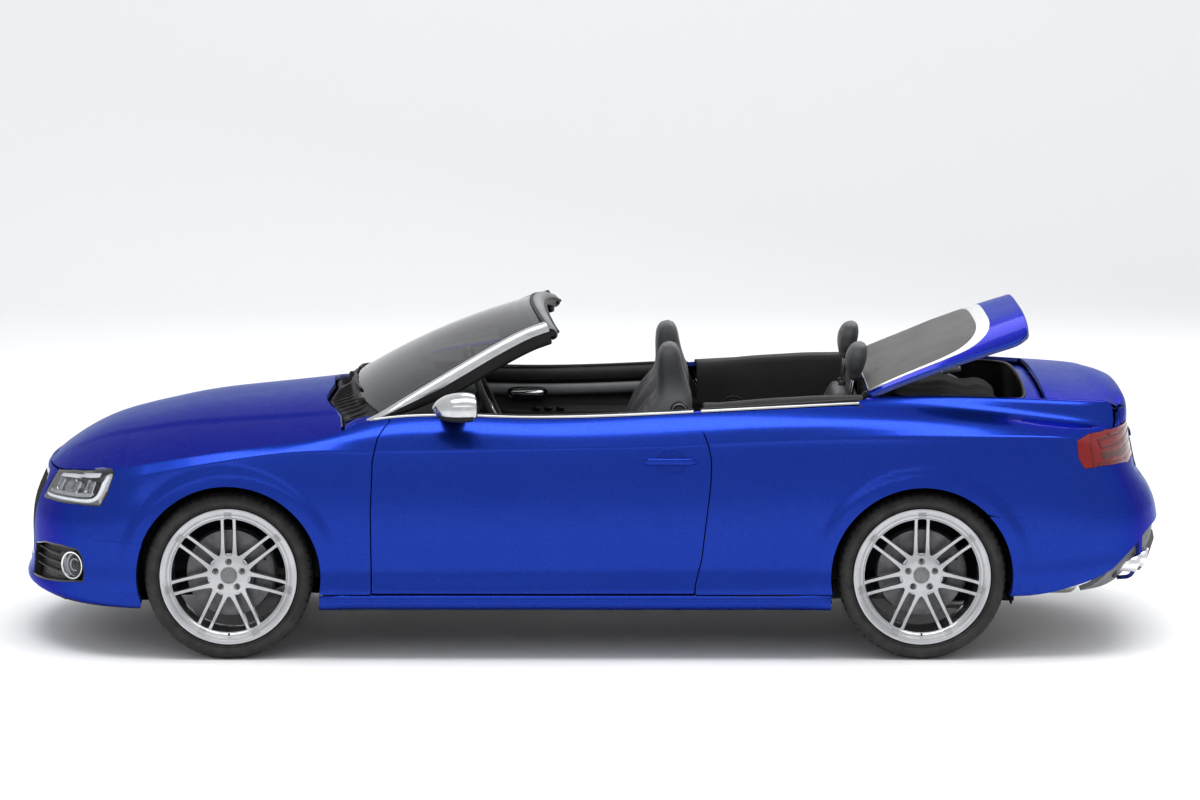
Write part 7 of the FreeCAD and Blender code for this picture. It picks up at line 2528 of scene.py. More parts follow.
def build_front_seats():
    for side, sg in (("left", -1), ("right", 1)):
        yc = sg * .361
        o, zs, cols = seat_back(side + "_seat_back", yc, FRONT_BACK, seams=(.56, .625, .69, .755, .82, .885, .945), bolster=[(.43, 0), (.50, .022), (.62, .038), (.80, .042), (.90, .034), (.97, .012), (1.01, 0)], rep=("front_seats",) if sg < 0 else ())
        c, xs, cc = seat_base(side + "_seat_cushion", yc, FRONT_CUSH, seams=(-.36, -.29, -.22, -.15, -.08, -.01), bolster=.036)
        for s2 in (-1, 1):
            line = []
            for z in np.linspace(.52, .985, 40):
                i = int((z - zs[0]) / (zs[-1] - zs[0]) * (len(zs) - 1))
                f, r, w = cols[i]
                line.append((f + .0035 - .0015, yc + s2 * w * .625, z))
            dg = o.data
            bm = bmesh.new()
            bm.from_mesh(dg)
            tree = BVHTree.FromBMesh(bm)
            bm.free()
            hit = []
            for p in line:
                h = tree.ray_cast(Vector((p[0] - .25, p[1], p[2])), Vector((1, 0, 0)))
                if h[0]:
                    hit.append(h[0] - Vector((.0006, 0, 0)))
            stitches("%s_seat_stitch_%d" % (side, s2 + 1), hit)
            bm = bmesh.new()
            bm.from_mesh(c.data)
            tree = BVHTree.FromBMesh(bm)
            bm.free()
            hit = []
            for x in np.linspace(-.43, .04, 40):
                h = tree.ray_cast(Vector((x, yc + s2 * .233 * .63, .8)), Vector((0, 0, -1)))
                if h[0]:
                    hit.append(h[0] + Vector((0, 0, .0006)))
            stitches("%s_cushion_stitch_%d" % (side, s2 + 1), hit)
        # hard back panel with a net pocket
        def back_fn(u, v):
            i = np.interp(v, zs, np.arange(len(zs)))
            r = np.interp(i, np.arange(len(zs)), cols[:, 1])
            w = np.interp(i, np.arange(len(zs)), cols[:, 2])
            q = np.clip(np.abs(u) / w, 0, 1)
            f = np.interp(i, np.arange(len(zs)), cols[:, 0])
            xm = (f + r) / 2
            cc_ = q ** (1 / .62)
            x = xm + (r - xm) * np.sqrt(np.clip(1 - cc_ ** 2, 0, 1)) ** .50 + .0035
            dz = .01
            r2 = np.interp(v + dz, zs, cols[:, 1]) - np.interp(v - dz, zs, cols[:, 1])
            N = np.stack([np.ones_like(u), u * 1.2, -r2 / (2 * dz)], 1)
            N /= np.linalg.norm(N, axis=1)[:, None]
            return np.stack([x, yc + u, v], 1), N
        bp = panel(side + "_seat_shell", rounded_at(0, .69, .36, .44, .06), back_fn, step=.03, rim=.016, fold=(.003, .008), offset=.001)
        finish_piece(bp, "car_body", "black_leather", (), ("black_plastic", "black_plastic"))
        pk = panel(side + "_seat_pocket", rounded_at(0, .60, .30, .22, .04), back_fn, step=.03, rim=.014, fold=(.004, .010), offset=.008)
        finish_piece(pk, "car_body", "black_leather", (), ("black_leather", "black_leather"))
        hem = tube(side + "_pocket_hem", [(float(back_fn(np.array([u]), np.array([.708]))[0][0, 0]) + .010, yc + u, .708) for u in np.linspace(-.145, .145, 15)], .005, "black_leather", 8)
        finish_piece(hem, "car_body", "black_leather")
        # shoulder release disc, lower side cover, rails and base
        yo = yc + sg * .2085
        d1 = lathe(side + "_seat_disc", [(0, .016), (.014, .0155), (.018, .013), (.0195, .009), (.024, .009), (.034, .0085), (.0375, .006), (.039, .0), (.039, -.02)], 40, (.352, yo - sg * .006, .952), (0, sg, 0), "black_plastic", angle=35)
        finish_piece(d1, "car_body", "black_leather")
        d2 = lathe(side + "_seat_disc_ring", [(.0255, .0088), (.0262, .0100), (.0285, .0104), (.0305, .0100), (.0312, .0086)], 40, (.352, yo - sg * .006, .952), (0, sg, 0), "satin_alu", angle=35)
        finish_piece(d2, "car_body", "black_leather")
        for s2 in (-1, 1):
            y0, y1 = sorted((yc + s2 * .222, yc + s2 * .236))
            cov = prism("%s_seat_side_%d" % (side, s2 + 1), spl([(-.42, .285), (-.44, .330), (-.40, .352), (-.10, .340), (.06, .352), (.175, .440), (.215, .450), (.225, .400), (.18, .330), (.10, .285)], 4, True), "y", y0, y1, r=.005, m="black_plastic")
            finish_piece(cov, "car_body", "black_leather")
            ra = rbox("%s_seat_rail_%d" % (side, s2 + 1), (-.42, yc + s2 * .190 - .019, .196), (.26, yc + s2 * .190 + .019, .226), .005, 2, "cast_dark")
            finish_piece(ra, "car_body", "black_leather")
            sl = rbox("%s_seat_slide_%d" % (side, s2 + 1), (-.36, yc + s2 * .190 - .012, .222), (.20, yc + s2 * .190 + .012, .300), .004, 2, "black_plastic")
            finish_piece(sl, "car_body", "black_leather")
            for x_ in (-.40, .24):
                ft = lathe("%s_rail_bolt_%d_%d" % (side, s2 + 1, int(x_ * 100)), [(0, .012), (.009, .011), (.011, .008), (.014, .003), (.015, 0)], 20, (x_, yc + s2 * .190, .226), (0, 0, 1), "bright_steel")
                finish_piece(ft, "car_body", "black_leather")
        pan = prism(side + "_seat_pan", [(-.43, .296), (-.44, .330), (.10, .330), (.20, .36), (.21, .33), (.12, .296)], "y", yc - .215, yc + .215, r=.008, m="underseal")
        finish_piece(pan, "car_body", "black_leather")
        # belt buckle beside the tunnel
        bk = rbox(side + "_buckle", (.062, sg * .104 - .012, .44), (.086, sg * .104 + .012, .545), .005, 3, "black_plastic")
        finish_piece(bk, "car_body", "black_leather")
        bb = rbox(side + "_buckle_button", (.064, sg * .104 - .009, .543), (.084, sg * .104 + .009, .549), .002, 2, "lens_red")
        finish_piece(bb, "car_body", "black_leather")


def rounded_at(cu, cv, w, h, r):
    return [(cu + a, cv + b) for a, b in rounded_rect(w, h, r)]


REAR_BACK = [(.475, .905, 1.030, .205), (.52, .915, 1.045, .222), (.60, .930, 1.056, .228), (.72, .955, 1.064, .230), (.84, .980, 1.068, .229), (.91, .996, 1.068, .222), (.945, 1.010, 1.066, .205)]
REAR_CUSH = [(.592, .470, .420, .205), (.615, .498, .408, .220), (.66, .512, .405, .228), (.76, .500, .404, .230), (.86, .482, .404, .228), (.905, .478, .410, .215)]


def build_rear_seats():
    for side, sg in (("left", -1), ("right", 1)):
        yc = sg * .2785
        o, zs, cols = seat_back(side + "_rear_back", yc, REAR_BACK, seams=(.60, .67, .74, .81, .875), bolster=[(.48, 0), (.56, .018), (.75, .024), (.88, .018), (.94, .004)], rep=("rear_seats",) if sg < 0 else (), rows=60)
        seat_base(side + "_rear_cushion", yc, REAR_CUSH, seams=(.675, .735, .795), bolster=.022, rows=50)
        # head restraint: leaning egg on two posts
        rings = []
        T = np.array([(1.052, 1.066, .010, .060), (1.058, 1.063, .018, .084), (1.078, 1.062, .029, .103), (1.105, 1.065, .037, .111), (1.135, 1.069, .0415, .112), (1.163, 1.074, .0405, .106), (1.184, 1.079, .034, .092), (1.198, 1.083, .023, .068), (1.205, 1.085, .010, .034)])
        fine = natural(T[:, 0], T[:, 1:])(np.linspace(T[0, 0], T[-1, 0], 30))
        for z, (xc, hx, hy) in zip(np.linspace(T[0, 0], T[-1, 0], 30), fine):
            rp = []
            for q in range(48):
                a = 2 * math.pi * q / 48
                c, s = math.cos(a), math.sin(a)
                y = max(hy, .004) * se(c, .75)
                x = xc - max(hx, .003) * se(s, .85)
                if s > 0:
                    x += .003 * float(bump1(abs(y), .062, .004))
                rp.append((x, sg * .35 + y, z))
            rings.append(rp)
        h = loft_body(side + "_rear_head_pad", rings)
        paint_faces(h, "grey_leather")
        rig.padded(h, .95)
        finish_piece(h, "car_body", "black_leather")
        for s2 in (-1, 1):
            po = tube("%s_rear_post_%d" % (side, s2 + 1), [(1.046, sg * .35 + s2 * .055, .925), (1.050, sg * .35 + s2 * .055, .985), (1.062, sg * .35 + s2 * .055, 1.075)], .0065, "chrome", 14)
            finish_piece(po, "car_body", "black_leather")
            co = lathe("%s_rear_collar_%d" % (side, s2 + 1), [(.0068, .010), (.012, .009), (.016, .004), (.018, -.004), (.018, -.02)], 24, (1.046, sg * .35 + s2 * .055, .952), (0, 0, 1), "black_plastic")
            finish_piece(co, "car_body", "black_leather")
    mid = prism("rear_centre_pad", spl([(.60, .420), (.61, .480), (.66, .500), (.78, .496), (.86, .50), (.905, .56), (.955, .74), (1.000, .90), (1.03, .925), (1.06, .92), (1.062, .80), (1.04, .56), (1.00, .43), (.80, .405)], 4, True), "y", -.046, .046, r=.012, segs=3, m="grey_leather")
    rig.padded(mid, .95)
    finish_piece(mid, "car_body", "black_leather")
    for s2 in (-1, 1):
        seam = [(x, s2 * .030, z) for x, z in spl([(.64, .5035), (.70, .5045), (.78, .5015), (.85, .502), (.885, .535), (.915, .60), (.95, .72), (.985, .845), (1.003, .905)], 5)]
    tr = rbox("rear_centre_tray", (.70, -.030, .497), (.80, .030, .5075), .004, 2, "black_plastic")
    finish_piece(tr, "car_body", "black_leather")
    for k in (-1, 1):
        cup = lathe("rear_cup_%d" % (k + 1), [(.0, .004), (.018, .004), (.021, .0075), (.0235, .0085), (.025, .007)], 32, (.75 + k * .024, 0, .5015), (0, 0, 1), "satin_alu")
        finish_piece(cup, "car_body", "black_leather")
    # shelf between the seat backs and the compartment
    g = []
    for x, z in ((1.050, .936), (1.062, .962), (1.072, .975), (1.084, .972), (1.090, .950)):
        g.append([(x, y, z - .0) for y in np.linspace(-.545, .545, 13)])
    surf_panel("seat_shelf", g, ("cabin_soft", "cabin_soft"), up=(0, 0, 1), step=.03, rim=.012, fold=(.002, .006), slot="black_leather")


# ------------------------------------------------------------------ dashboard, console, wheel
def build_dash():
    # top pad: rows from the windscreen back to the driver
    ys = np.array([-.722, -.70, -.64, -.56, -.48, -.37, -.26, -.18, -.08, 0, .08, .18, .30, .44, .58, .68, .722])
    hood = np.array([max(0, 1 - ((y + .37) / .165) ** 2) ** .5 if abs(y + .37) < .165 else 0 for y in ys])
    sec = [(-.984, .880, 0), (-.960, .896, 0), (-.900, .908, 0), (-.830, .912, 0), (-.760, .936, .2), (-.700, .940, .6), (-.640, .926, 1), (-.590, .906, 1), (-.562, .894, 1), (-.548, .876, .9), (-.545, .862, .5)]
    g = []
    for x, z, hf in sec:
        row = []
        for y, h in zip(ys, hood):
            zz = z + .022 * h * hf
            xx = x + .030 * h * hf * (1 if x > -.70 else 0)
            e = max(0, abs(y) - .66) / .06
            wl = np.interp(abs(y), [0, .60, .722], [0, 0, 1])
            row.append((xx - .02 * wl * (x > -.8), y, zz - .010 * e))
        g.append(row)
    surf_panel("dash_top", g, ("cabin_soft", "cabin_soft"), up=(0, 0, 1), step=.028, rim=.014, fold=(.003, .01), slot="cabin_plastic", rep=("dashboard",))
    # face with a metal strip across
    def strip(name, rows, m, slot="cabin_plastic", up=(1, 0, .1), ys_=(-.700, -.56, -.37, -.2, 0, .2, .4, .56, .700), offs=0.0, fold=(.0015, .006)):
        gg = [[(x + offs - .020 * max(0, (abs(y) - .5) / .22) ** 2, y, z) for y in ys_] for x, z in rows]
        surf_panel(name, gg, (m, m), up=up, step=.03, rim=.014, fold=fold, slot=slot)
    strip("dash_face_upper", [(-.548, .868), (-.553, .850), (-.560, .832), (-.566, .816)], "cabin_soft")
    strip("dash_trim", [(-.565, .815), (-.5615, .805), (-.562, .780), (-.567, .768), (-.572, .764)], "satin_alu", "satin_trim")
    strip("dash_face_lower", [(-.573, .764), (-.580, .74), (-.600, .70), (-.622, .665), (-.640, .643), (-.70, .630), (-.80, .625)], "cabin_soft")
    for sg in (-1, 1):
        end = prism("dash_end_%d" % (sg + 1), [(-.984, .64), (-.984, .868), (-.90, .898), (-.83, .902), (-.760, .918), (-.66, .908), (-.60, .880), (-.585, .80), (-.60, .74), (-.66, .645)], "y", sg * .7235 - .004, sg * .7235 + .0005, r=.002, m="cabin_soft")
        finish_piece(end, "car_body", "cabin_plastic")
    # air vents: two at the ends, two in the middle
    for k, (y, w) in enumerate(((-.625, .085), (-.088, .105), (.088, .105), (.625, .085))):
        xo = -.562 - .020 * max(0, (abs(y) - .5) / .22) ** 2
        fr = rounded_rect(w, .058, .010)
        o = ring_loft("vent_frame_%d" % k, [[(xo + .001, y + a * 1.10, .792 + b * 1.16) for a, b in fr], [(xo + .008, y + a * 1.06, .792 + b * 1.10) for a, b in fr], [(xo + .0085, y + a * 1.0, .792 + b) for a, b in fr], [(xo - .006, y + a * .97, .792 + b * .95) for a, b in fr]], "satin_alu", False, False, 30)
        finish_piece(o, "car_body", "satin_trim")
        bk = rbox("vent_back_%d" % k, (xo - .002, y - w / 2 + .002, .766), (xo + .0015, y + w / 2 - .002, .818), .001, 1, "black_gloss")
        finish_piece(bk, "car_body", "cabin_plastic")
        for j in range(5):
            zz = .772 + j * .0102
            sl = sweep("vent_slat_%d_%d" % (k, j), [(xo + .004, y - w / 2 + .004, zz), (xo + .004, y + w / 2 - .004, zz)], [(-.0035, -.0006), (.0035, .0004), (.0035, .0012), (-.0035, .0006)], m="black_plastic")
            finish_piece(sl, "car_body", "cabin_plastic")
    # instruments under the hood
    ip = prism("instrument_panel", [(y - .37, z) for y, z in rounded_rect(.27, .088, .030, 8)], "x", -.580, -.572, r=.002, m="black_gloss")
    ip.data.transform(Matrix.Translation((0, 0, .872)) @ Matrix.Translation((-.576, 0, 0)) @ Matrix.Rotation(math.radians(-14), 4, "Y") @ Matrix.Translation((.576, 0, 0)))
    finish_piece(ip, "car_body", "cabin_plastic")
    for k, dy in enumerate((-.075, .075)):
        c = Vector((-.566, -.37 + dy, .872))
        ax = Vector((math.cos(math.radians(14)), 0, math.sin(math.radians(14))))
        o = lathe("dial_ring_%d" % k, [(.0355, -.002), (.0360, .006), (.0385, .0075), (.0405, .006), (.041, -.002)], 48, c, ax, "chrome")
        finish_piece(o, "car_body", "cabin_plastic")
        o = lathe("dial_face_%d" % k, [(0, .0012), (.030, .0010), (.0360, .0002)], 48, c, ax, "dial_face")
        finish_piece(o, "car_body", "cabin_plastic")
        for j in range(25):
            a = math.radians(-225 + 270 * j / 24)
            u_ = Vector((0, math.cos(a), 0)) + Vector((-math.sin(math.radians(14)), 0, math.cos(math.radians(14)))) * math.sin(a)
            L = .006 if j % 3 == 0 else .0035
            t_ = tube("dial_tick_%d_%02d" % (k, j), [c + ax * .0016 + u_ * (.0335 - L), c + ax * .0016 + u_ * .0335], .0006, "button_ink", 6)
            finish_piece(t_, "car_body", "cabin_plastic")
        a = math.radians(-200 + 60 * k)
        u_ = Vector((0, math.cos(a), 0)) + Vector((-math.sin(math.radians(14)), 0, math.cos(math.radians(14)))) * math.sin(a)
        nd = tube("dial_needle_%d" % k, [c + ax * .004 - u_ * .006, c + ax * .004 + u_ * .028], .0010, "lens_red", 8)
        finish_piece(nd, "car_body", "cabin_plastic")
        hb = lathe("dial_hub_%d" % k, [(0, .0065), (.004, .006), (.0055, .003), (.006, .001)], 20, c, ax, "black_plastic")
        finish_piece(hb, "car_body", "cabin_plastic")
    # screen in the middle
    sc = prism("screen_frame", [(y, z) for y, z in rounded_rect(.205, .100, .012, 6)], "x", -.600, -.572, r=.004, segs=3, m="black_plastic")
    sc.data.transform(Matrix.Translation((0, 0, .878)) @ Matrix.Translation((-.58, 0, 0)) @ Matrix.Rotation(math.radians(-10), 4, "Y") @ Matrix.Translation((.58, 0, 0)))
    finish_piece(sc, "car_body", "cabin_plastic")
    sg_ = prism("screen_glass_panel", [(y, z) for y, z in rounded_rect(.180, .078, .004, 4)], "x", -.5725, -.5712, r=.0005, m="black_gloss")
    sg_.data.transform(Matrix.Translation((0, 0, .878)) @ Matrix.Translation((-.58, 0, 0)) @ Matrix.Rotation(math.radians(-10), 4, "Y") @ Matrix.Translation((.58, 0, 0)))
    finish_piece(sg_, "car_body", "cabin_plastic")
    # glove box and pedals
    gb = [[(-.577 - .0, y, .748), (-.590, y, .715), (-.612, y, .682), (-.632, y, .655)] for y in (.20, .32, .44, .56)]
    gg = [[gb[j][i] for j in range(4)] for i in range(4)]
    surf_panel("glove_box", gg, ("cabin_soft", "cabin_soft"), up=(1, 0, 0), step=.03, rim=.012, fold=(.002, .010), offset=.005, slot="cabin_plastic")
    lt = rbox("glove_latch", (-.588, .345, .726), (-.577, .415, .738), .003, 2, "satin_alu")
    finish_piece(lt, "car_body", "cabin_plastic")
    for k, (y, w, h) in enumerate(((-.44, .062, .050), (-.355, .062, .050), (-.25, .045, .105))):
        arm = tube("pedal_arm_%d" % k, [(-.80, y, .64), (-.79, y, .50), (-.775, y, .36), (-.765, y, .335)] if k < 2 else [(-.84, y, .42), (-.815, y, .33), (-.80, y, .28)], .007, "cast_dark", 10)
        finish_piece(arm, "car_body", "cabin_plastic")
        pad = prism("pedal_pad_%d" % k, rounded_rect(w, h, .010), "z", -.004, .004, r=.002, m="seal_rubber")
        z0 = .335 if k < 2 else .275
        pad.data.transform(Matrix.Translation((-.760, y, z0)) @ Matrix.Rotation(math.radians(62), 4, "Y") @ Matrix.Rotation(math.radians(90), 4, "Z"))
        finish_piece(pad, "car_body", "cabin_plastic")
        for j in range(4):
            rb = rbox("pedal_rib_%d_%d" % (k, j), (-.0045, -w * .38, -.0012), (.0045, w * .38, .0012), .0008, 1, "satin_alu")
            rb.data.transform(Matrix.Translation((-.760, y, z0)) @ Matrix.Rotation(math.radians(62), 4, "Y") @ Matrix.Translation(((-1.5 + j) * h * .22, 0, .0048)))
            finish_piece(rb, "car_body", "cabin_plastic")


def build_console():
    ys = np.array([-.1075, -.100, -.075, -.04, 0, .04, .075, .100, .1075])
    drop_ = np.array([-.060, -.012, -.003, 0, 0, 0, -.003, -.012, -.060])
    prof = [(-.625, .655), (-.60, .640), (-.55, .602), (-.46, .556), (-.38, .530), (-.25, .524), (-.10, .524), (.02, .526)]
    g = [[(x, y, z + d) for y, d in zip(ys, drop_)] for x, z in prof]
    surf_panel("console_top", g, ("grey_plastic", "grey_plastic"), up=(0, 0, 1), step=.024, rim=.012, fold=(.002, .008), slot="cabin_plastic", rep=("centre_console",))
    for sg in (-1, 1):
        side = [(-.88, .335), (-.64, .600), (-.60, .596), (-.55, .560), (-.46, .515), (-.38, .490), (.275, .486), (.296, .335)]
        o = prism("console_side_%d" % (sg + 1), side, "y", sg * .1035 - .004, sg * .1035 + .004, r=.003, m="carpet")
        finish_piece(o, "car_body", "cabin_plastic")
    arm = prism("armrest", spl([(.03, .520), (.035, .575), (.06, .592), (.16, .598), (.25, .592), (.272, .575), (.274, .520)], 5, True), "y", -.095, .095, r=.014, segs=4, m="black_leather")
    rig.padded(arm, .95)
    finish_piece(arm, "car_body", "cabin_plastic")
    back = prism("console_rear", [(.262, .335), (.262, .52), (.292, .518), (.299, .44), (.300, .335)], "y", -.106, .106, r=.006, segs=3, m="black_plastic")
    finish_piece(back, "car_body", "cabin_plastic")
    for k in range(4):
        sl = rbox("console_vent_%d" % k, (.297, -.060, .452 + k * .012), (.301, .060, .4585 + k * .012), .0015, 1, "black_gloss")
        finish_piece(sl, "car_body", "cabin_plastic")
    # gear lever
    gtr = lathe("gear_gaiter", [(.050, -.002), (.046, .006), (.038, .018), (.034, .028), (.026, .040), (.022, .052), (.016, .066), (.012, .072)], 40, (-.36, 0, .530), (.10, 0, 1), "black_leather")
    finish_piece(gtr, "car_body", "cabin_plastic")
    fr = ring_loft("gear_frame", [[(-.36 + a * 1.0, b, .528) for a, b in rounded_rect(.150, .125, .030)], [(-.36 + a, b, .5345) for a, b in rounded_rect(.147, .122, .030)], [(-.36 + a, b, .5345) for a, b in rounded_rect(.136, .111, .026)], [(-.36 + a, b, .529) for a, b in rounded_rect(.132, .107, .025)]], "satin_alu", False, False, 30)
    finish_piece(fr, "car_body", "cabin_plastic")
    st = tube("gear_stalk", [(-.353, 0, .598), (-.347, 0, .632)], .008, "chrome", 16)
    finish_piece(st, "car_body", "cabin_plastic")
    kn = lathe("gear_knob", [(0, .046), (.012, .045), (.020, .040), (.0245, .030), (.0248, .020), (.021, .008), (.0145, .001), (.010, 0)], 40, (-.347, 0, .630), (.08, 0, 1), "black_leather")
    finish_piece(kn, "car_body", "cabin_plastic")
    kr = lathe("gear_knob_ring", [(.0100, -.002), (.0150, -.001), (.0172, .003), (.0150, .0065), (.012, .006)], 40, (-.347, 0, .630), (.08, 0, 1), "satin_alu")
    finish_piece(kr, "car_body", "cabin_plastic")
    for k, x in enumerate((-.23, -.145)):
        cp = lathe("cup_ring_%d" % k, [(.043, .001), (.0425, .005), (.0400, .0062), (.0375, .004), (.0370, -.002)], 40, (x, 0, .5245), (0, 0, 1), "satin_alu")
        finish_piece(cp, "car_body", "cabin_plastic")
        cb = lathe("cup_well_%d" % k, [(0, .0010), (.030, .0010), (.0375, .0018)], 40, (x, 0, .5245), (0, 0, 1), "black_gloss")
        finish_piece(cb, "car_body", "cabin_plastic")
    hb = rbox("parking_switch", (-.085, .030, .522), (-.045, .062, .531), .003, 2, "black_gloss")
    finish_piece(hb, "car_body", "cabin_plastic")
    rt = rbox("roof_switch", (-.085, -.062, .522), (-.045, -.030, .533), .003, 2, "satin_alu")
    finish_piece(rt, "car_body", "cabin_plastic")
    # radio and climate controls up the slope
    n = Vector((.62, 0, .78)).normalized()
    for k in range(2):
        c = Vector((-.585, -.060 + k * .120, .640))
        kb = lathe("climate_knob_%d" % k, [(0, .018), (.014, .0178), (.0175, .016), (.0185, .010), (.020, .002), (.022, 0), (.022, -.012)], 36, c, n, "satin_alu")
        finish_piece(kb, "car_body", "cabin_plastic")
    for j in range(5):
        b = rbox("climate_button_%d" % j, (-.0055, -.008, -.003), (.0055, .008, .003), .0015, 2, "black_plastic")
        b.data.transform(Matrix.Translation((-.584, -.036 + j * .018, .640)) @ Matrix.Rotation(math.radians(38.5), 4, "Y"))
        finish_piece(b, "car_body", "cabin_plastic")
    rad = prism("radio_panel", [(y, z) for y, z in rounded_rect(.190, .052, .006)], "x", -.006, .003, r=.0015, m="black_gloss")
    rad.data.transform(Matrix.Translation((-.588, 0, .712)) @ Matrix.Rotation(math.radians(-22), 4, "Y"))
    finish_piece(rad, "car_body", "cabin_plastic")
    for j in range(6):
        b = rbox("radio_button_%d" % j, (-.002, -.0095, -.0042), (.0022, .0095, .0042), .001, 2, "black_plastic")
        b.data.transform(Matrix.Translation((-.5835, -.067 + j * .0268, .706)) @ Matrix.Rotation(math.radians(-22), 4, "Y"))
        finish_piece(b, "car_body", "cabin_plastic")


def build_steering():
    t = math.radians(24)
    ax = Vector((math.cos(t), 0, math.sin(t)))
    upv = Vector((-math.sin(t), 0, math.cos(t)))
    lat = Vector((0, 1, 0))
    C = Vector((-.400, -.370, .925))
    Mx = Matrix((lat, upv, ax)).transposed().to_4x4()
    Mx.translation = C

    def put(o, m, body="steering_wheel", rep=()):
        o.data.transform(Mx)
        if m:
            paint_faces(o, m)
        return finish_piece(o, body, "black_leather", rep)
    n, R0 = 128, .170
    verts, faces = [], []
    k = 20
    for i in range(n):
        a = 2 * math.pi * i / n
        grip = 1 + .13 * (bump1(abs(math.sin(a)), .35, .18)) * (1 if True else 0)
        for j in range(k):
            b = 2 * math.pi * j / k
            rr = .0148 * grip
            r = R0 + rr * math.cos(b)
            z = .0152 * grip * math.sin(b)
            seam = .0008 if j == k // 2 else 0
            r += seam
            verts.append((r * math.cos(a), r * math.sin(a), z))
    for i in range(n):
        for j in range(k):
            i2, j2 = (i + 1) % n, (j + 1) % k
            faces.append((i * k + j, i2 * k + j, i2 * k + j2, i * k + j2))
    rim = mesh_obj("steering_rim", verts, faces)
    put(rim, "black_leather", rep=("steering_wheel",))
    hub = prism("steering_pad", spl([(-.062, .028), (-.055, .048), (0, .056), (.055, .048), (.062, .028), (.052, -.030), (.030, -.056), (0, -.062), (-.030, -.056), (-.052, -.030)], 5, True), "z", -.030, .006, r=.010, segs=4)
    put(hub, "cabin_soft")
    bead = lathe("steering_centre_ring", [(.0250, .0055), (.0256, .0075), (.0270, .0082), (.0284, .0075), (.029, .0055)], 48, (0, -.002, 0), (0, 0, 1))
    put(bead, "satin_alu")
    back = lathe("steering_back", [(.060, -.028), (.055, -.038), (.040, -.044), (.034, -.046), (.0, -.046)], 48, (0, 0, 0), (0, 0, 1))
    put(back, "black_plastic")
    for kx, pts, w0, w1 in (("l", [(-.052, .012, -.010), (-.090, .010, -.012), (-.130, .008, -.008), (-.160, .006, -.001)], .022, .014), ("r", [(.052, .012, -.010), (.090, .010, -.012), (.130, .008, -.008), (.160, .006, -.001)], .022, .014), ("b", [(0, -.055, -.012), (0, -.090, -.013), (0, -.130, -.008), (0, -.160, -.001)], .030, .016)):
        P = spl(pts, 5)
        sc_ = [(1 + (w1 / w0 - 1) * i / (len(P) - 1), 1) for i in range(len(P))]
        o = sweep("steering_spoke_" + kx, P, [(w0 * math.cos(a_), .0065 * math.sin(a_)) for a_ in np.linspace(0, 2 * math.pi, 16, endpoint=False)], up=(0, 0, 1), scales=sc_)
        put(o, "satin_alu" if kx == "b" else "black_plastic")
    for sg in (-1, 1):
        for j in range(3):
            b = rbox("steering_button_%d_%d" % (sg + 1, j), (sg * .082 - .009, -.002 + j * .0095 - .0035, -.006), (sg * .082 + .009, -.002 + j * .0095 + .0035, .0005), .0015, 2)
            put(b, "grey_plastic")
    # stalks and shroud stay with the car
    sh = prism("column_shroud", spl([(-.045, -.035), (-.050, .020), (-.030, .045), (.030, .045), (.050, .020), (.045, -.035), (.020, -.052), (-.020, -.052)], 4, True), "z", -.185, -.058, r=.010, segs=3)
    put(sh, "black_plastic", "car_body")
    for sg in (-1, 1):
        stk = tube("column_stalk_%d" % (sg + 1), spl([(sg * .040, .005, -.085), (sg * .080, .012, -.080), (sg * .120, .020, -.068), (sg * .140, .024, -.062)], 5), .0065, None, 12, scales=[1.0 + .25 * (i / 15) for i in range(16)])
        put(stk, "black_plastic", "car_body")


# ------------------------------------------------------------------ plain sheets and small helpers for the rest of the cabin and the underside
def grid_mesh(name, g, m, up=None, mirror=False, thick=0.0, angle=35, closed=False):
    """Sheet through a grid of points without smoothing across its corners."""
    g = np.array(g, float)
    n, k = g.shape[:2]
    verts = g.reshape(-1, 3).copy()
    faces = []
    for i in range(n - 1):
        for j in range(k if closed else k - 1):
            j2 = (j + 1) % k
            faces.append((i * k + j, i * k + j2, (i + 1) * k + j2, (i + 1) * k + j))
    if up is not None:
        i, j = (n - 1) // 2, (k - 1) // 2
        a, b, c = verts[i * k + j], verts[i * k + (j + 1) % k], verts[(i + 1) * k + j]
        if (np.cross(b - a, c - a) * np.array(up)).sum() < 0:
            faces = [f[::-1] for f in faces]
    if mirror:
        verts[:, 1] *= -1
        faces = [f[::-1] for f in faces]
    o = mesh_obj(name, verts, faces)
    if thick:
        s = o.modifiers.new("s", "SOLIDIFY")
        s.thickness, s.offset = thick, -1
        apply_mods(o)
    o.data.set_sharp_from_angle(angle=math.radians(angle))
    return paint_faces(o, m)


def fine(pts, step):
    """Straight runs between points cut into short lengths."""
    out = []
    for a, b in zip(pts[:-1], pts[1:]):
        a, b = np.array(a, float), np.array(b, float)
        k = max(1, int(math.ceil(np.linalg.norm(b - a) / step)))
        out += [tuple(a + (b - a) * i / k) for i in range(k)]
    return out + [tuple(pts[-1])]


def ease(a):
    a = np.clip(a, 0, 1)
    return a * a * (3 - 2 * a)


def skin_y(x, z):
    uv = to_uv([(x, z)], (0, 2))
    return float(skin_pts(uv[:, 0], uv[:, 1])[0][1])


def belt_pts(xs):
    uv = uv_x(xs, [.86] * len(xs))
    return skin_pts(uv[:, 0], uv[:, 1])


def both_sides(o, body, slot, rep=()):
    """Fixes a piece made for y > 0 and its mirror image; body and nodes may hold %s for the side."""
    c = flip_y(o, o.name.replace("right", "left") if "right" in o.name else "left_" + o.name)
    if "right" not in o.name:
        o.name = "right_" + o.name
    for q, side in ((o, "right"), (c, "left")):
        finish_piece(q, body % side if "%s" in body else body, slot, tuple(r % side if "%s" in r else r for r in rep) if side == "right" or any("%s" in r for r in rep) else ())
    return o, c


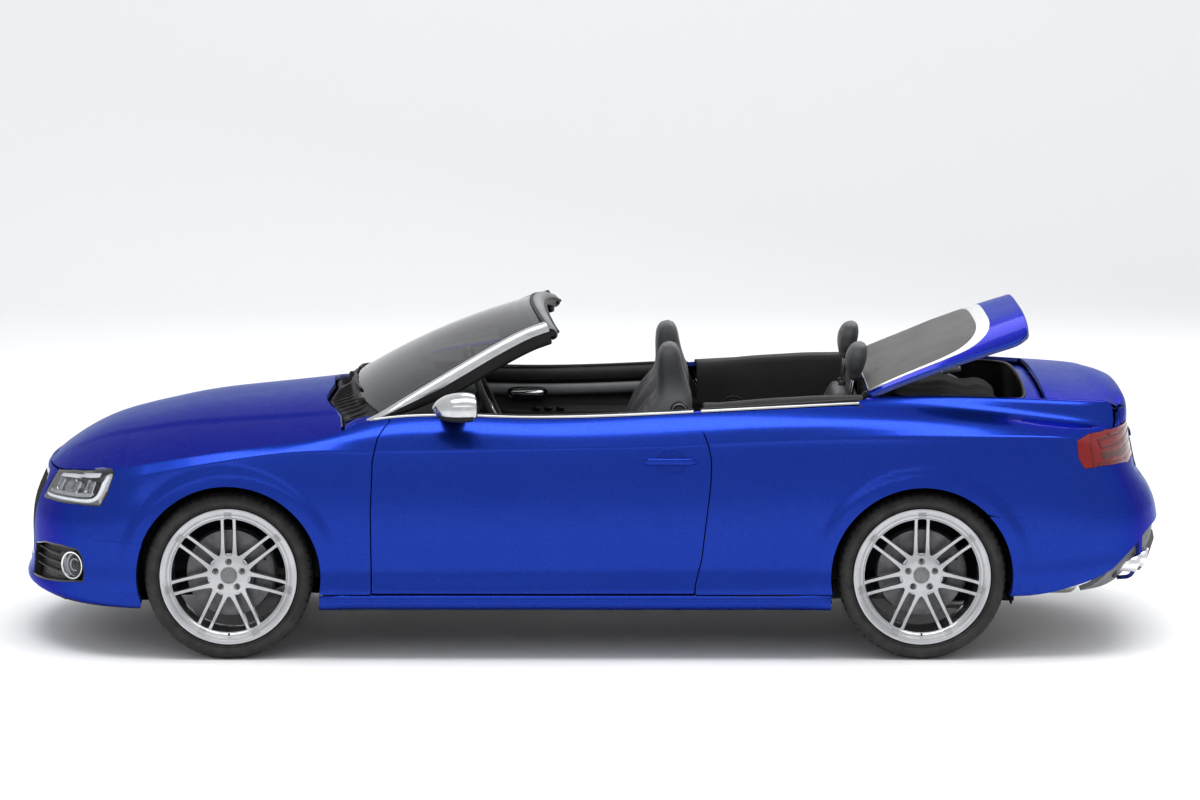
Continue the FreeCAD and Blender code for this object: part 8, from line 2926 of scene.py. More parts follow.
# ------------------------------------------------------------------ door linings
CARD = [(-.862, .276), (-.864, .60), (-.856, .80), (-.838, .880), (-.812, .918), (-.790, .932), (-.30, .938), (.30, .950), (.392, .948),
        (.416, .922), (.454, .858), (.465, .80), (.463, .72), (.446, .567), (.427, .404), (.403, .276)]


def card_y(x, z):
    arm = ease((x + .43) / .10) * ease((.36 - x) / .10) * ease((z - .655) / .055) * ease((.792 - z) / .020)
    pocket = ease((x + .58) / .08) * ease((.22 - x) / .10) * ease((z - .315) / .025) * ease((.44 - z) / .05)
    front = ease((-.50 - x) / .05)
    roll = .010 * ease((z - .80) / .03) * (1 - front)
    return .742 - .046 * arm - .024 * pocket + roll


def build_door_trim():
    def fn(u, v):
        u, v = np.asarray(u, float), np.asarray(v, float)
        e = .002
        y = card_y(u, v)
        dx = (card_y(u + e, v) - card_y(u - e, v)) / (2 * e)
        dz = (card_y(u, v + e) - card_y(u, v - e)) / (2 * e)
        N = np.stack([dx, -np.ones_like(y), dz], 1)
        return np.stack([u, y, v], 1), N / np.linalg.norm(N, axis=1)[:, None]

    def to_skin(Q, e, NN, pos):
        p = pos.copy()
        uv = to_uv(p[:, [0, 2]], (0, 2))
        p[:, 1] = skin_pts(uv[:, 0], uv[:, 1])[:, 1] - .010
        p[:, 0], p[:, 2] = Q[:, 0], Q[:, 2]
        return p
    xs = np.linspace(-.80, .405, 16)
    B = belt_pts(xs)
    pad = [[(x, b[1] - .012, b[2] + .001), (x, b[1] - .03, b[2] + .006), (x, .752, b[2] + .004), (x, .738, b[2] - .008), (x, .732, b[2] - .030), (x, .734, b[2] - .050), (x, .742, b[2] - .056)] for x, b in zip(xs, B)]
    for side, mir in (("right", False), ("left", True)):
        body, sg = side + "_door", (-1 if mir else 1)
        o = panel(side + "_door_card", CARD, fn, step=.018, rim=.010, fold=(.004, .05), mirror=mir, fold_end=to_skin)
        finish_piece(o, body, "cabin_plastic", (), ("cabin_soft", "jamb_paint"))
        surf_panel(side + "_door_top_pad", pad, ("black_leather", "cabin_soft"), mirror=mir, up=(0, -.4, 1), fold=(.003, .006), body=body, slot="black_leather", step=.018)
        band = [[(x, .7420, b[2] - .066), (x, .7335, b[2] - .072), (x, .7280, b[2] - .090), (x, .7335, b[2] - .112), (x, .7420, b[2] - .118)] for x, b in zip(xs[1:-1], B[1:-1])]
        surf_panel(side + "_door_band", band, ("grey_plastic", "cabin_soft"), mirror=mir, up=(0, -1, 0), fold=(.002, .004), body=body, slot="satin_trim", step=.018)
        # inner handle: a cup with a bright lever across it
        cup = ring_loft(side + "_door_handle_cup", [[(-.275 + (.086 - d) * math.copysign(abs(math.cos(a)) ** .5, math.cos(a)), sg * y, .853 + (.027 - d) * math.copysign(abs(math.sin(a)) ** .6, math.sin(a)))
                        for a in np.linspace(0, 2 * math.pi, 40, endpoint=False)] for d, y in ((.0, .7300), (.0, .7245), (.004, .7225), (.008, .7245), (.010, .7290))], "black_gloss", False, True)
        finish_piece(cup, body, "black_trim")
        lever = sweep(side + "_door_handle_lever", [(-.345, sg * .7265, .853), (-.335, sg * .719, .853), (-.27, sg * .7155, .854), (-.222, sg * .717, .854), (-.208, sg * .722, .853)],
                      [(-.004, -.009), (.002, -.010), (.005, -.004), (.005, .004), (.002, .010), (-.004, .009)], m="chrome")
        finish_piece(bevel(lever, .0015), body, "bright_steel")
        # speaker, pocket lip, switches on the armrest
        sp = lathe(side + "_door_speaker_ring", [(.082, -.004), (.082, .004), (.078, .006), (.074, .0045), (.072, .001)], 48, (-.62, sg * .742, .42), (0, -sg, 0), "black_plastic")
        finish_piece(sp, body, "black_trim")
        sm_ = lathe(side + "_door_speaker_mesh", [(0, .0038), (.03, .0035), (.055, .0025), (.073, .0008)], 40, (-.62, sg * .742, .42), (0, -sg, 0), "honeycomb")
        finish_piece(sm_, body, "black_trim")
        for k, xk in enumerate((-.235, -.185, -.135)):
            b = rbox("%s_window_switch_%d" % (side, k), (xk - .018, min(sg * .700, sg * .725), .786), (xk + .018, max(sg * .700, sg * .725), .796), .004, m="black_gloss")
            finish_piece(b, body, "black_trim")
        pull = sweep(side + "_armrest_seam", [(x, sg * (card_y(np.array([x]), np.array([.735]))[0] - .001), .735) for x in np.linspace(-.40, .32, 30)], ring(.0022, 8), m="stitch_thread")
        finish_piece(pull, body, "cabin_plastic")
        # catch on the door's rear face
        latch = rbox(side + "_door_latch", (.452, min(sg * .780, sg * .835), .585), (.4585, max(sg * .780, sg * .835), .665), .003, m="bright_steel")
        finish_piece(latch, body, "bright_steel")


def build_side_trim():
    xs = np.array([.450, .470, .490, .505, .56, .63, .70, .77, .84, .91, .98, 1.03, 1.075])
    zt = np.interp(xs, [.505, .70, .90, 1.07], [1.003, 1.020, 1.032, 1.034])
    B = belt_pts(xs)
    g = [[(x, .628, .42), (x, .628, .60), (x, .627, .70), (x, .633, .72), (x, .632, .80), (x, .628, .82), (x, .629, .90), (x, .632, .95), (x, .640, t - .02), (x, .655, t - .006),
          (x, .690, t), (x, .725, t - .010), (x, .752, t - .030), (x, .770, min(b[2] + .004, t - .034))] for x, t, b in zip(xs, zt, B)]
    for side, mir in (("right", False), ("left", True)):
        sg = -1 if mir else 1
        surf_panel(side + "_side_lining", g, ("cabin_soft", "cabin_soft"), mirror=mir, up=(0, -1, .3), fold=(.006, .012), step=.018, slot="cabin_plastic", rep=("rear_side_panels",))
        sp = lathe(side + "_side_speaker_ring", [(.055, -.004), (.055, .004), (.051, .006), (.048, .0045), (.047, .001)], 40, (.60, sg * .629, .80), (0, -sg, 0), "black_plastic")
        finish_piece(sp, "car_body", "black_trim")
        sm_ = lathe(side + "_side_speaker_mesh", [(0, .0035), (.02, .0033), (.035, .0025), (.048, .0008)], 32, (.60, sg * .629, .80), (0, -sg, 0), "honeycomb")
        finish_piece(sm_, "car_body", "black_trim")
        strip = sweep(side + "_side_strip", [(x, sg * .6262, .79 + .02 * (x - .66)) for x in np.linspace(.67, .94, 12)], [(-.003, -.010), (.003, -.010), (.003, .010), (-.003, .010)], m="satin_alu")
        finish_piece(bevel(strip, .0015), "car_body", "satin_trim")
        belt = sweep(side + "_belt_webbing", [(.99, sg * .6240, .93), (.985, sg * .6235, .80), (.965, sg * .6230, .62), (.955, sg * .6225, .50)], [(-.0008, -.022), (.0008, -.022), (.0008, .022), (-.0008, .022)], up=(1, 0, 0), m="black_leather")
        finish_piece(belt, "car_body", "black_leather")
        # door post and its jamb, hinge pillar and a striker
        rear = np.array(fine([(x + .014, z) for x, z in DOOR_R], .03))
        g2 = [[(x, y, z) for y in (.632, .68, .73, .78)] + [(x + .002, skin_y(x, z) - .016, z)] for x, z in rear]
        grid = grid_mesh(side + "_lock_post", g2, "black_plastic", up=(-1, 0, 0), mirror=mir)
        finish_piece(grid, "car_body", "black_trim")
        front = np.array(fine([(x - .016, z) for x, z in DOOR_F[:-1]], .03))
        g3 = [[(x, y, z) for y in (.700, .74, .79)] + [(x - .001, skin_y(x, z) - .016, z)] for x, z in front]
        grid = grid_mesh(side + "_hinge_pillar", g3, "jamb_paint", up=(1, 0, 0), mirror=mir)
        finish_piece(grid, "car_body", "paint")
        gs = tube(side + "_shut_seal", [(x - .006, sg * (skin_y(x, z) - .026), z) for x, z in rear], .009, "seal_rubber", 8)
        finish_piece(gs, "car_body", "black_trim")
        for nm, a0, a1, y0 in (("front", -1.86, -1.50, .448), ("rear", 1.44, 1.70, .585)):
            w0, w1 = sorted((sg * y0, sg * (y0 + .004)))
            finish_piece(rbox("%s_%s_splash_wall" % (side, nm), (a0, w0, .185), (a1, w1, .43), .0015, m="liner_felt"), "car_body", "black_trim")
        loop_ = tube(side + "_striker", spl([(.470, sg * .800, .600), (.458, sg * .800, .602), (.452, sg * .800, .625), (.458, sg * .800, .648), (.470, sg * .800, .650)], 5), .0045, "bright_steel", 8)
        finish_piece(loop_, "car_body", "bright_steel")
        seal = tube(side + "_door_seal", spl([(-.874, sg * .748, .86), (-.880, sg * .748, .72), (-.883, sg * .748, .50), (-.880, sg * .748, .30), (-.860, sg * .748, .268), (-.40, sg * .748, .2655), (.10, sg * .748, .2655), (.392, sg * .748, .268), (.420, sg * .748, .30), (.448, sg * .748, .42), (.468, sg * .748, .58), (.484, sg * .748, .74), (.480, sg * .748, .85)], 6), .0055, "seal_rubber", 8)
        finish_piece(seal, "car_body", "black_trim")


# ------------------------------------------------------------------ floor covering, sills
def build_carpets():
    sec = [(.112, .336), (.1125, .20), (.125, .1885), (.585, .1885), (.5985, .20), (.599, .437), (.606, .4425)]
    sec = fine(sec, .08)
    xs = np.linspace(-.98, .555, 26)
    for side, mir in (("right", False), ("left", True)):
        sg = -1 if mir else 1
        o = grid_mesh(side + "_carpet", [[(x, y, z) for y, z in sec] for x in xs], "carpet", up=(0, 0, 1), mirror=mir, angle=50)
        finish_piece(o, "car_body", "cabin_plastic")
        fw = grid_mesh(side + "_toe_board", [[(x, y, z) for y in np.linspace(.112, .599, 9)] for x, z in ((-.90, .1895), (-.955, .215), (-1.005, .30), (-1.012, .45), (-1.012, .62))], "carpet", up=(1, 0, .5), mirror=mir, angle=50)
        finish_piece(fw, "car_body", "cabin_plastic")
        heel = grid_mesh(side + "_heel_board", [[(.5555, y, z) for y in np.linspace(.112, .599, 8)] for z in (.189, .26, .33, .405)], "carpet", up=(-1, 0, 0), mirror=mir)
        finish_piece(heel, "car_body", "cabin_plastic")
        sill = grid_mesh(side + "_sill_cap", [[(x, y, z) for y, z in ((.606, .4430), (.722, .4430), (.7275, .4375), (.7290, .42), (.7290, .30), (.734, .2640), (.76, .2622), (.80, .2620), (.872, .2620))] for x in np.linspace(-.90, .42, 24)], "jamb_paint", up=(0, 0, 1), mirror=mir, angle=50)
        finish_piece(sill, "car_body", "paint")
        scuff = rbox(side + "_scuff_plate", (-.62, min(sg * .628, sg * .706), .4432), (.28, max(sg * .628, sg * .706), .4462), .0012, m="satin_alu")
        finish_piece(scuff, "car_body", "satin_trim")
        for nm, x0, x1 in (("front", -.88, -.46), ("rear", .12, .50)):
            pts = [(x0 + (x1 - x0) * .5 + (x1 - x0) * .5 * math.copysign(abs(math.cos(a)) ** .35, math.cos(a)), .355 + .205 * math.copysign(abs(math.sin(a)) ** .35, math.sin(a))) for a in np.linspace(0, 2 * math.pi, 56, endpoint=False)]
            mt = prism("%s_%s_mat" % (side, nm), [(x, sg * y) for x, y in pts], "z", .1892, .1945, r=.002, m="carpet")
            finish_piece(mt, "car_body", "cabin_plastic")
            edge = tube("%s_%s_mat_edge" % (side, nm), [(x, sg * y, .1935) for x, y in pts], .0032, "stitch_thread", 6, closed=True)
            finish_piece(edge, "car_body", "cabin_plastic")
    # pedals on the driver's side
    for k, (y, w, z0) in enumerate(((-.33, .055, .33), (-.43, .055, .33), (-.245, .045, .30))):
        pad = rbox("pedal_%d" % k, (-.875, y - w / 2, z0 - .03), (-.862, y + w / 2, z0 + .03), .004, m="seal_rubber")
        finish_piece(pad, "car_body", "black_trim")
        arm = tube("pedal_arm_%d" % k, spl([(-.872, y, z0), (-.915, y, z0 + .10), (-.94, y, z0 + .22)], 6), .007, "cast_dark", 8)
        finish_piece(arm, "car_body", "cast_metal")


# ------------------------------------------------------------------ roof compartment and boot
def build_compartment():
    rim_ = resample(np.array(lid_out(.018, 1.112, TUB_X, 0)), .03)
    zr = deck_z(rim_[:, 0], rim_[:, 1]) - .022
    cx, cy = 1.44, 0.0

    def scaled(f, z):
        return [(cx + (x - cx) * f[0], cy + (y - cy) * f[1], z_) for (x, y), z_ in zip(rim_, z)]
    n = len(rim_)
    rings = [scaled((1, 1), zr), scaled((.985, .985), zr - .004), scaled((.975, .975), zr - .03), scaled((.955, .945), np.full(n, .86)), scaled((.95, .935), np.full(n, .80)), scaled((.93, .90), np.full(n, .728)), scaled((.5, .5), np.full(n, .7265)), scaled((.05, .05), np.full(n, .7265))]
    o = ring_loft("compartment_tub", rings, "liner_felt", False, True)
    bm = bmesh.new()
    bm.from_mesh(o.data)
    bmesh.ops.recalc_face_normals(bm, faces=bm.faces[:])
    floor_f = min(bm.faces, key=lambda f: f.calc_center_median().z + abs(f.calc_center_median().x - cx))
    if floor_f.normal.z < 0:
        bmesh.ops.reverse_faces(bm, faces=bm.faces[:])
    bm.to_mesh(o.data)
    bm.free()
    finish_piece(o, "car_body", "cabin_plastic")
    seal = tube("compartment_seal", [(x, y, z) for (x, y, z) in scaled((.992, .992), zr + .001)], .007, "seal_rubber", 8, closed=True)
    finish_piece(seal, "car_body", "black_trim")
    # painted ledge between the opening and the boot lid, just under the closed lid's rear edge
    inner = [(x, y) for x, y in lid_out(.004, 1.60, TUB_X, 0) if x > 1.62]
    outer = [(1.8115, -.60), (1.8115, .60)]
    side_r = [(x, float(deck_edge(x)) - .004) for x in np.linspace(1.64, 1.8115, 6)]
    full = side_r + [(1.8115, -y) for x, y in side_r[-1:]] + [(x, -y) for x, y in side_r[::-1][1:]] + [(x, y) for x, y in inner[::-1]]
    o = panel("compartment_ledge", full, height(lambda x, y: deck_z(x, y) - .0310), gap=.001, step=.022, rim=.012, fold=(.003, .012))
    finish_piece(o, "car_body", "paint", (), ("cobalt_paint", "jamb_paint"))
    # linkage arms of the soft top, hinge brackets of the lid
    for side, sg in (("right", 1), ("left", -1)):
        for nm, pts, r in (("main", [(1.33, .585, .80), (1.40, .590, .90), (1.47, .588, .955), (1.56, .580, .975)], .011), ("rear", [(1.30, .600, .92), (1.42, .602, .968), (1.54, .598, .930), (1.62, .590, .86)], .009)):
            P = [(x, sg * y, z) for x, y, z in spl(pts, 6)]
            s = sweep("%s_%s_link" % (side, nm), P, [(-.004, -r), (.004, -r), (.004, r), (-.004, r)], m="satin_alu")
            finish_piece(bevel(s, .0015), "car_body", "satin_trim")
        for k, (x, y, z) in enumerate(((1.33, .585, .80), (1.47, .588, .955), (1.42, .602, .968))):
            pv = lathe("%s_link_pivot_%d" % (side, k), [(0, .010), (.010, .010), (.013, .007), (.013, -.007), (.010, -.010), (0, -.010)], 20, (x, sg * y, z), (0, 1, 0), "bright_steel")
            finish_piece(pv, "car_body", "bright_steel")
        br = prism(side + "_lid_bracket", [(1.075, .985), (1.125, .985), (1.135, 1.012), (1.115, 1.040), (1.090, 1.040), (1.078, 1.018)], "y", sg * .615 - .012, sg * .615 + .012, r=.003, m="black_plastic")
        finish_piece(br, "car_body", "black_trim")
    # boot lined in carpet, seen with the boot lid open
    y0, x0, x1, z0, z1 = .53, 1.815, 2.085, .40, .94
    g = [[(x0, y, z1), (x0, y, z0), (x1 - .04, y, z0), (x1, y, z0 + .05), (x1 + .01, y, .655)] for y in np.linspace(-y0, y0, 12)]
    o = grid_mesh("boot_lining", g, "carpet", up=None, angle=50)
    bm = bmesh.new()
    bm.from_mesh(o.data)
    bmesh.ops.recalc_face_normals(bm, faces=bm.faces[:])
    if min(bm.faces, key=lambda f: f.calc_center_median().z).normal.z < 0:
        bmesh.ops.reverse_faces(bm, faces=bm.faces[:])
    bm.to_mesh(o.data)
    bm.free()
    finish_piece(o, "car_body", "cabin_plastic")
    for side, sg in (("right", 1), ("left", -1)):
        g = [[(x, sg * (y0 + .0), z) for x in np.linspace(x0, x1, 6)] for z in np.linspace(z0, z1, 6)]
        finish_piece(grid_mesh(side + "_boot_side", g, "carpet", up=(0, -sg, 0)), "car_body", "cabin_plastic")
    gut = sweep("boot_seal", spl([(1.90, -.555, .965), (2.03, -.545, .945), (2.095, -.50, .87), (2.125, -.36, .76), (2.15, -.30, .665), (2.165, 0, .660), (2.15, .30, .665), (2.125, .36, .76), (2.095, .50, .87), (2.03, .545, .945), (1.90, .555, .965)], 8), ring(.006, 8), m="seal_rubber")
    finish_piece(gut, "car_body", "black_trim")


# ------------------------------------------------------------------ folded soft top
def build_soft_top():
    t = .0016
    layers = [(1.19, 1.71, .785), (1.21, 1.71, .845), (1.20, 1.68, .905), (1.26, 1.60, .958)]
    path = []
    for i, (a, b, z) in enumerate(layers):
        xs = np.linspace(a, b, 22)
        zz = z + .006 * np.sin((xs - a) / (b - a) * math.pi * 3 + i) + .004 * np.sin((xs - a) * 37 + i * 2)
        run = list(zip(xs, zz))
        if i % 2:
            run = run[::-1]
        path += run
        if i + 1 < len(layers):
            z2 = layers[i + 1][2]
            na, nb, _ = layers[i + 1]
            side_ = 1 if i % 2 == 0 else -1
            xa = b if side_ > 0 else a
            xb = nb if side_ > 0 else na
            zc, r = (z + z2) / 2, (z2 - z) / 2
            for k in range(1, 8):
                q = -math.pi / 2 + math.pi * k / 8
                path.append(((xa + (xb - xa) * k / 8) + side_ * r * math.cos(q), zc + r * math.sin(q)))
    path = np.array(path)
    seg = np.concatenate([[0], np.cumsum(np.linalg.norm(np.diff(path, axis=0), axis=1))])
    length = float(seg[-1])
    ys = np.linspace(-.555, .555, 57)
    verts, faces = [], []
    for i, (x, z) in enumerate(path):
        s = seg[i]
        for y in ys:
            f = abs(y) / .555
            wave = .005 * math.sin(y * 17 + s * 5.1) + .0035 * math.sin(y * 41 - s * 7.3) - .010 * f ** 4
            verts.append((x + .006 * math.sin(y * 9 + s * 2), y * (1.0 - .035 * ease(np.array((z - .93) / .04))), z + wave))
    k = len(ys)
    for i in range(len(path) - 1):
        for j in range(k - 1):
            faces.append((i * k + j, i * k + j + 1, (i + 1) * k + j + 1, (i + 1) * k + j))
    o = mesh_obj("roof_cloth", verts, faces)
    paint_faces(o, "roof_cloth")
    area_ = sum(p.area for p in o.data.polygons)
    finish_piece(o, "car_body", "roof_cloth", ("folded_soft_top",))
    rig.sheet(o, flat=(1.11, round(area_ / 1.11, 3)), held="folded", area=round(area_, 4))
    print("SOFT TOP area %.3f length %.3f" % (area_, length))
    # bows across the folds and the rails beside them
    for i, (x, z) in enumerate(((1.30, .812), (1.50, .815), (1.33, .873), (1.56, .873), (1.42, .932))):
        P = [(x, y, z - .012 * (abs(y) / .575) ** 3) for y in np.linspace(-.575, .575, 21)]
        b = sweep("roof_bow_%d" % i, P, [(-.014, -.005), (.014, -.005), (.014, .005), (-.014, .005)], m="cast_dark")
        finish_piece(bevel(b, .002), "car_body", "cast_metal")
    for side, sg in (("right", 1), ("left", -1)):
        P = [(x, sg * .582, z) for x, z in ((1.22, .80), (1.40, .815), (1.60, .82), (1.69, .80))]
        b = sweep(side + "_roof_rail", spl(P, 5), [(-.007, -.011), (.007, -.011), (.007, .011), (-.007, .011)], m="cast_dark")
        finish_piece(bevel(b, .002), "car_body", "cast_metal")


# ------------------------------------------------------------------ wheelhouses and underside
def build_liners():
    reps = ("wheel_liners",)
    for side, sg in (("right", 1), ("left", -1)):
        for nm, cx, r, yi, yo in (("front", FX, .402, .470, .862), ("rear", RX, .375, .525, .868)):
            arc = arc_pts(cx, WZ, r, -18, 198, 54)
            g = []
            for i, (x, z) in enumerate(arc):
                rr = .004 * math.sin(i * .9)
                dx, dz = (x - cx) / r, (z - WZ) / r
                g.append([(x, sg * yo, z), (x - dx * .004, sg * (yo - .03), z - dz * .004), (x, sg * (yi + (yo - yi) * .55), z + rr), (x - dx * .010, sg * (yi + .02), z - dz * .010), (x - dx * .024, sg * yi, z - dz * .024)])
            o = grid_mesh("%s_%s_liner" % (side, nm), g, "liner_felt", angle=60)
            # the side facing the tyre is the outer one
            bm = bmesh.new()
            bm.from_mesh(o.data)
            f = bm.faces[len(bm.faces) // 2] if bm.faces.ensure_lookup_table() is None else None
            c = f.calc_center_median()
            want = Vector((cx - c.x, 0, WZ - c.z))
            if f.normal.dot(want) < 0:
                bmesh.ops.reverse_faces(bm, faces=bm.faces[:])
            bm.to_mesh(o.data)
            bm.free()
            finish_piece(o, "car_body", "underbody", reps)
            reps = ()
            # inner wall: a flat sheet closing the wheelhouse, open where shaft and arms pass
            wall = []
            for i, (x, z) in enumerate(arc_pts(cx, WZ, r - .022, -12, 192, 48)):
                wall.append([(x, sg * yi, z), (cx + (x - cx) * .62, sg * (yi - .002), WZ + (z - WZ) * .62), (cx + (x - cx) * .34, sg * (yi - .006), WZ + (z - WZ) * .34 + .01)])
            o = grid_mesh("%s_%s_wheelhouse_wall" % (side, nm), wall, "underseal", angle=60)
            bm = bmesh.new()
            bm.from_mesh(o.data)
            bm.faces.ensure_lookup_table()
            if bm.faces[10].normal.y * sg < 0:
                bmesh.ops.reverse_faces(bm, faces=bm.faces[:])
            bm.to_mesh(o.data)
            bm.free()
            finish_piece(o, "car_body", "underbody")
    # flaps closing the gap between the liners' ends and the sills and bumpers
    for side, sg in (("right", 1), ("left", -1)):
        for k, (x0, x1, z0, z1) in enumerate(((-1.865, -1.835, .205, .46), (-1.055, -1.030, .20, .40), (.925, .950, .20, .45), (1.672, 1.700, .262, .46))):
            f = rbox("%s_splash_flap_%d" % (side, k), (x0, min(sg * .50, sg * .84), z0), (x1, max(sg * .50, sg * .84), z1), .006, m="liner_felt")
            finish_piece(f, "car_body", "underbody")


def build_underside():
    build_liners()
    P = lambda name, *a, **k: finish_piece(bevel(rbox(name, *a, r=.010, m=k.get("m", "cast_dark")), .002) if False else rbox(name, *a, r=k.get("r", .012), m=k.get("m", "cast_dark")), "car_body", k.get("slot", "cast_metal"), k.get("rep", ()))
    P("front_crossmember", (FX - .055, -.43, .192), (FX + .055, .43, .248))
    P("rear_crossmember", (RX - .065, -.43, .192), (RX + .065, .43, .248))
    rack = lathe("steering_rack", [(0, -.36), (.018, -.36), (.024, -.33), (.024, .33), (.018, .36), (0, .36)], 28, (FX + .09, 0, .262), (0, 1, 0), "cast_dark")
    finish_piece(rack, "car_body", "cast_metal")
    for side, sg in (("right", 1), ("left", -1)):
        for nm, cx in (("front", FX), ("rear", RX)):
            arm = prism("%s_%s_lower_arm" % (side, nm), [(cx - .15, sg * .40), (cx - .11, sg * .40), (cx - .02, sg * .60), (cx + .02, sg * .60), (cx + .11, sg * .40), (cx + .15, sg * .40), (cx + .035, sg * .645), (cx - .035, sg * .645)], "z", .198, .220, r=.004, m="cast_dark")
            finish_piece(arm, "car_body", "cast_metal")
            y = .545 if nm == "front" else .500
            coil = []
            for i in range(121):
                a = i / 120 * 2 * math.pi * 5.5
                coil.append((cx + .052 * math.cos(a), sg * y + .052 * math.sin(a) * sg, .30 + .24 * i / 120))
            if nm == "rear":
                coil = [(x, y_ - sg * .10, z - .04) for x, y_, z in coil]
            s = tube("%s_%s_spring" % (side, nm), coil, .0065, "underseal", 8)
            finish_piece(s, "car_body", "cast_metal")
            yd = y if nm == "front" else y - .10
            d = lathe("%s_%s_damper" % (side, nm), [(0, 0), (.022, 0), (.024, .01), (.024, .22), (.018, .23), (.009, .24), (.009, .34), (0, .34)], 24, (cx, sg * yd, .235), (0, 0, 1), "cast_dark")
            finish_piece(d, "car_body", "cast_metal")
            sh = tube("%s_%s_shaft" % (side, nm), [(cx + (.0 if nm == "rear" else .0), sg * (.13 if nm == "rear" else .20), .30 if nm == "rear" else .315), (cx, sg * .30, .318), (cx, sg * (.60 if nm == "rear" else .585), WZ)], .016, "bright_steel", 14)
            finish_piece(sh, "car_body", "bright_steel")
            for yy, zz in ((.20, .312), (.56, .332)):
                pr = [(0.017, -.045), (.034, -.035), (.026, -.028), (.034, -.020), (.025, -.012), (.033, -.004), (.024, .004), (.030, .012), (.018, .030)]
                b = lathe("%s_%s_boot_%02d" % (side, nm, int(yy * 100)), pr, 28, (cx, sg * yy, zz), (0, sg, 0), "seal_rubber")
                finish_piece(b, "car_body", "black_trim")
        tr = tube(side + "_track_rod", [(FX + .09, sg * .36, .262), (FX + .10, sg * .60, .285)], .009, "bright_steel", 10)
        finish_piece(tr, "car_body", "bright_steel")
    # final drive with cooling fins
    df = ring_loft("final_drive", [[(RX + x, w * math.cos(a), .288 + h * math.sin(a)) for a in np.linspace(0, 2 * math.pi, 28, endpoint=False)] for x, w, h in ((-.17, .030, .030), (-.13, .055, .045), (-.08, .105, .060), (-.02, .118, .062), (.04, .112, .060), (.08, .080, .050), (.09, .04, .03))], "cast_dark", True, True)
    finish_piece(df, "car_body", "cast_metal")
    prop = tube("propeller_shaft", [(-.86, 0, .262), (.30, 0, .262), (RX - .17, 0, .286)], .026, "bright_steel", 20)
    finish_piece(prop, "car_body", "bright_steel")
    gb = ring_loft("gearbox", [[(x, w * math.cos(a), z + h * math.sin(a)) for a in np.linspace(0, 2 * math.pi, 24, endpoint=False)] for x, w, h, z in ((-1.10, .17, .11, .31), (-1.04, .17, .11, .31), (-.98, .12, .085, .29), (-.90, .085, .06, .27), (-.86, .05, .04, .262))], "cast_dark", True, True)
    finish_piece(gb, "car_body", "cast_metal")
    sump = rbox("oil_pan", (-1.66, -.20, .205), (-1.20, .20, .292), .03, 3, "cast_dark")
    finish_piece(sump, "car_body", "cast_metal")
    # exhaust run, replaces the plain one
    sg_rep = ("exhaust",)
    pipe = tube("exhaust_front_pipe", spl([(-1.20, .12, .25), (-1.08, .10, .14), (-.90, .06, .122), (-.30, .0, .120), (.60, .0, .120), (1.20, .0, .120), (1.46, .0, .122)], 8), .030, "bright_steel", 20)
    finish_piece(pipe, "car_body", "bright_steel", sg_rep)
    for nm, x0, x1, y0, z0, z1, r in (("centre_muffler", -.25, .15, .095, .098, .158, .028), ("cross_muffler", 1.44, 1.56, .30, .098, .150, .024), ("rear_silencer", 1.735, 1.955, .66, .222, .342, .045)):
        m_ = rbox(nm, (x0, -y0, z0), (x1, y0, z1), r, 4, "bright_steel")
        finish_piece(m_, "car_body", "bright_steel")
        for k, f in enumerate((.18, .5, .82)):
            if nm == "rear_silencer":
                yb = -y0 + 2 * y0 * f
                pts = [(x0 - .002 + (x1 - x0 + .004) * a, b) for a, b in ((0.15, z0 - .002), (.85, z0 - .002), (1, z0 + .03), (1, z1 - .03), (.85, z1 + .002), (.15, z1 + .002), (0, z1 - .03), (0, z0 + .03))]
                s = prism("%s_seam_%d" % (nm, k), pts, "y", yb - .004, yb + .004, r=.0015, m="bright_steel")
                finish_piece(s, "car_body", "bright_steel")
    for side, sg in (("right", 1), ("left", -1)):
        d = tube(side + "_exhaust_drop", spl([(1.50, sg * .06, .128), (1.58, sg * .07, .15), (1.66, sg * .10, .24), (1.76, sg * .14, .28)], 6), .026, "bright_steel", 16)
        finish_piece(d, "car_body", "bright_steel")
        for k, (y, x) in enumerate(((.515, 2.11), (.645, 2.06))):
            tp = tube("%s_tip_pipe_%d" % (side, k), [(1.94, sg * y, .300), (2.00, sg * y, .322), (x, sg * y, .346)], .027, "bright_steel", 16)
            finish_piece(tp, "car_body", "bright_steel")
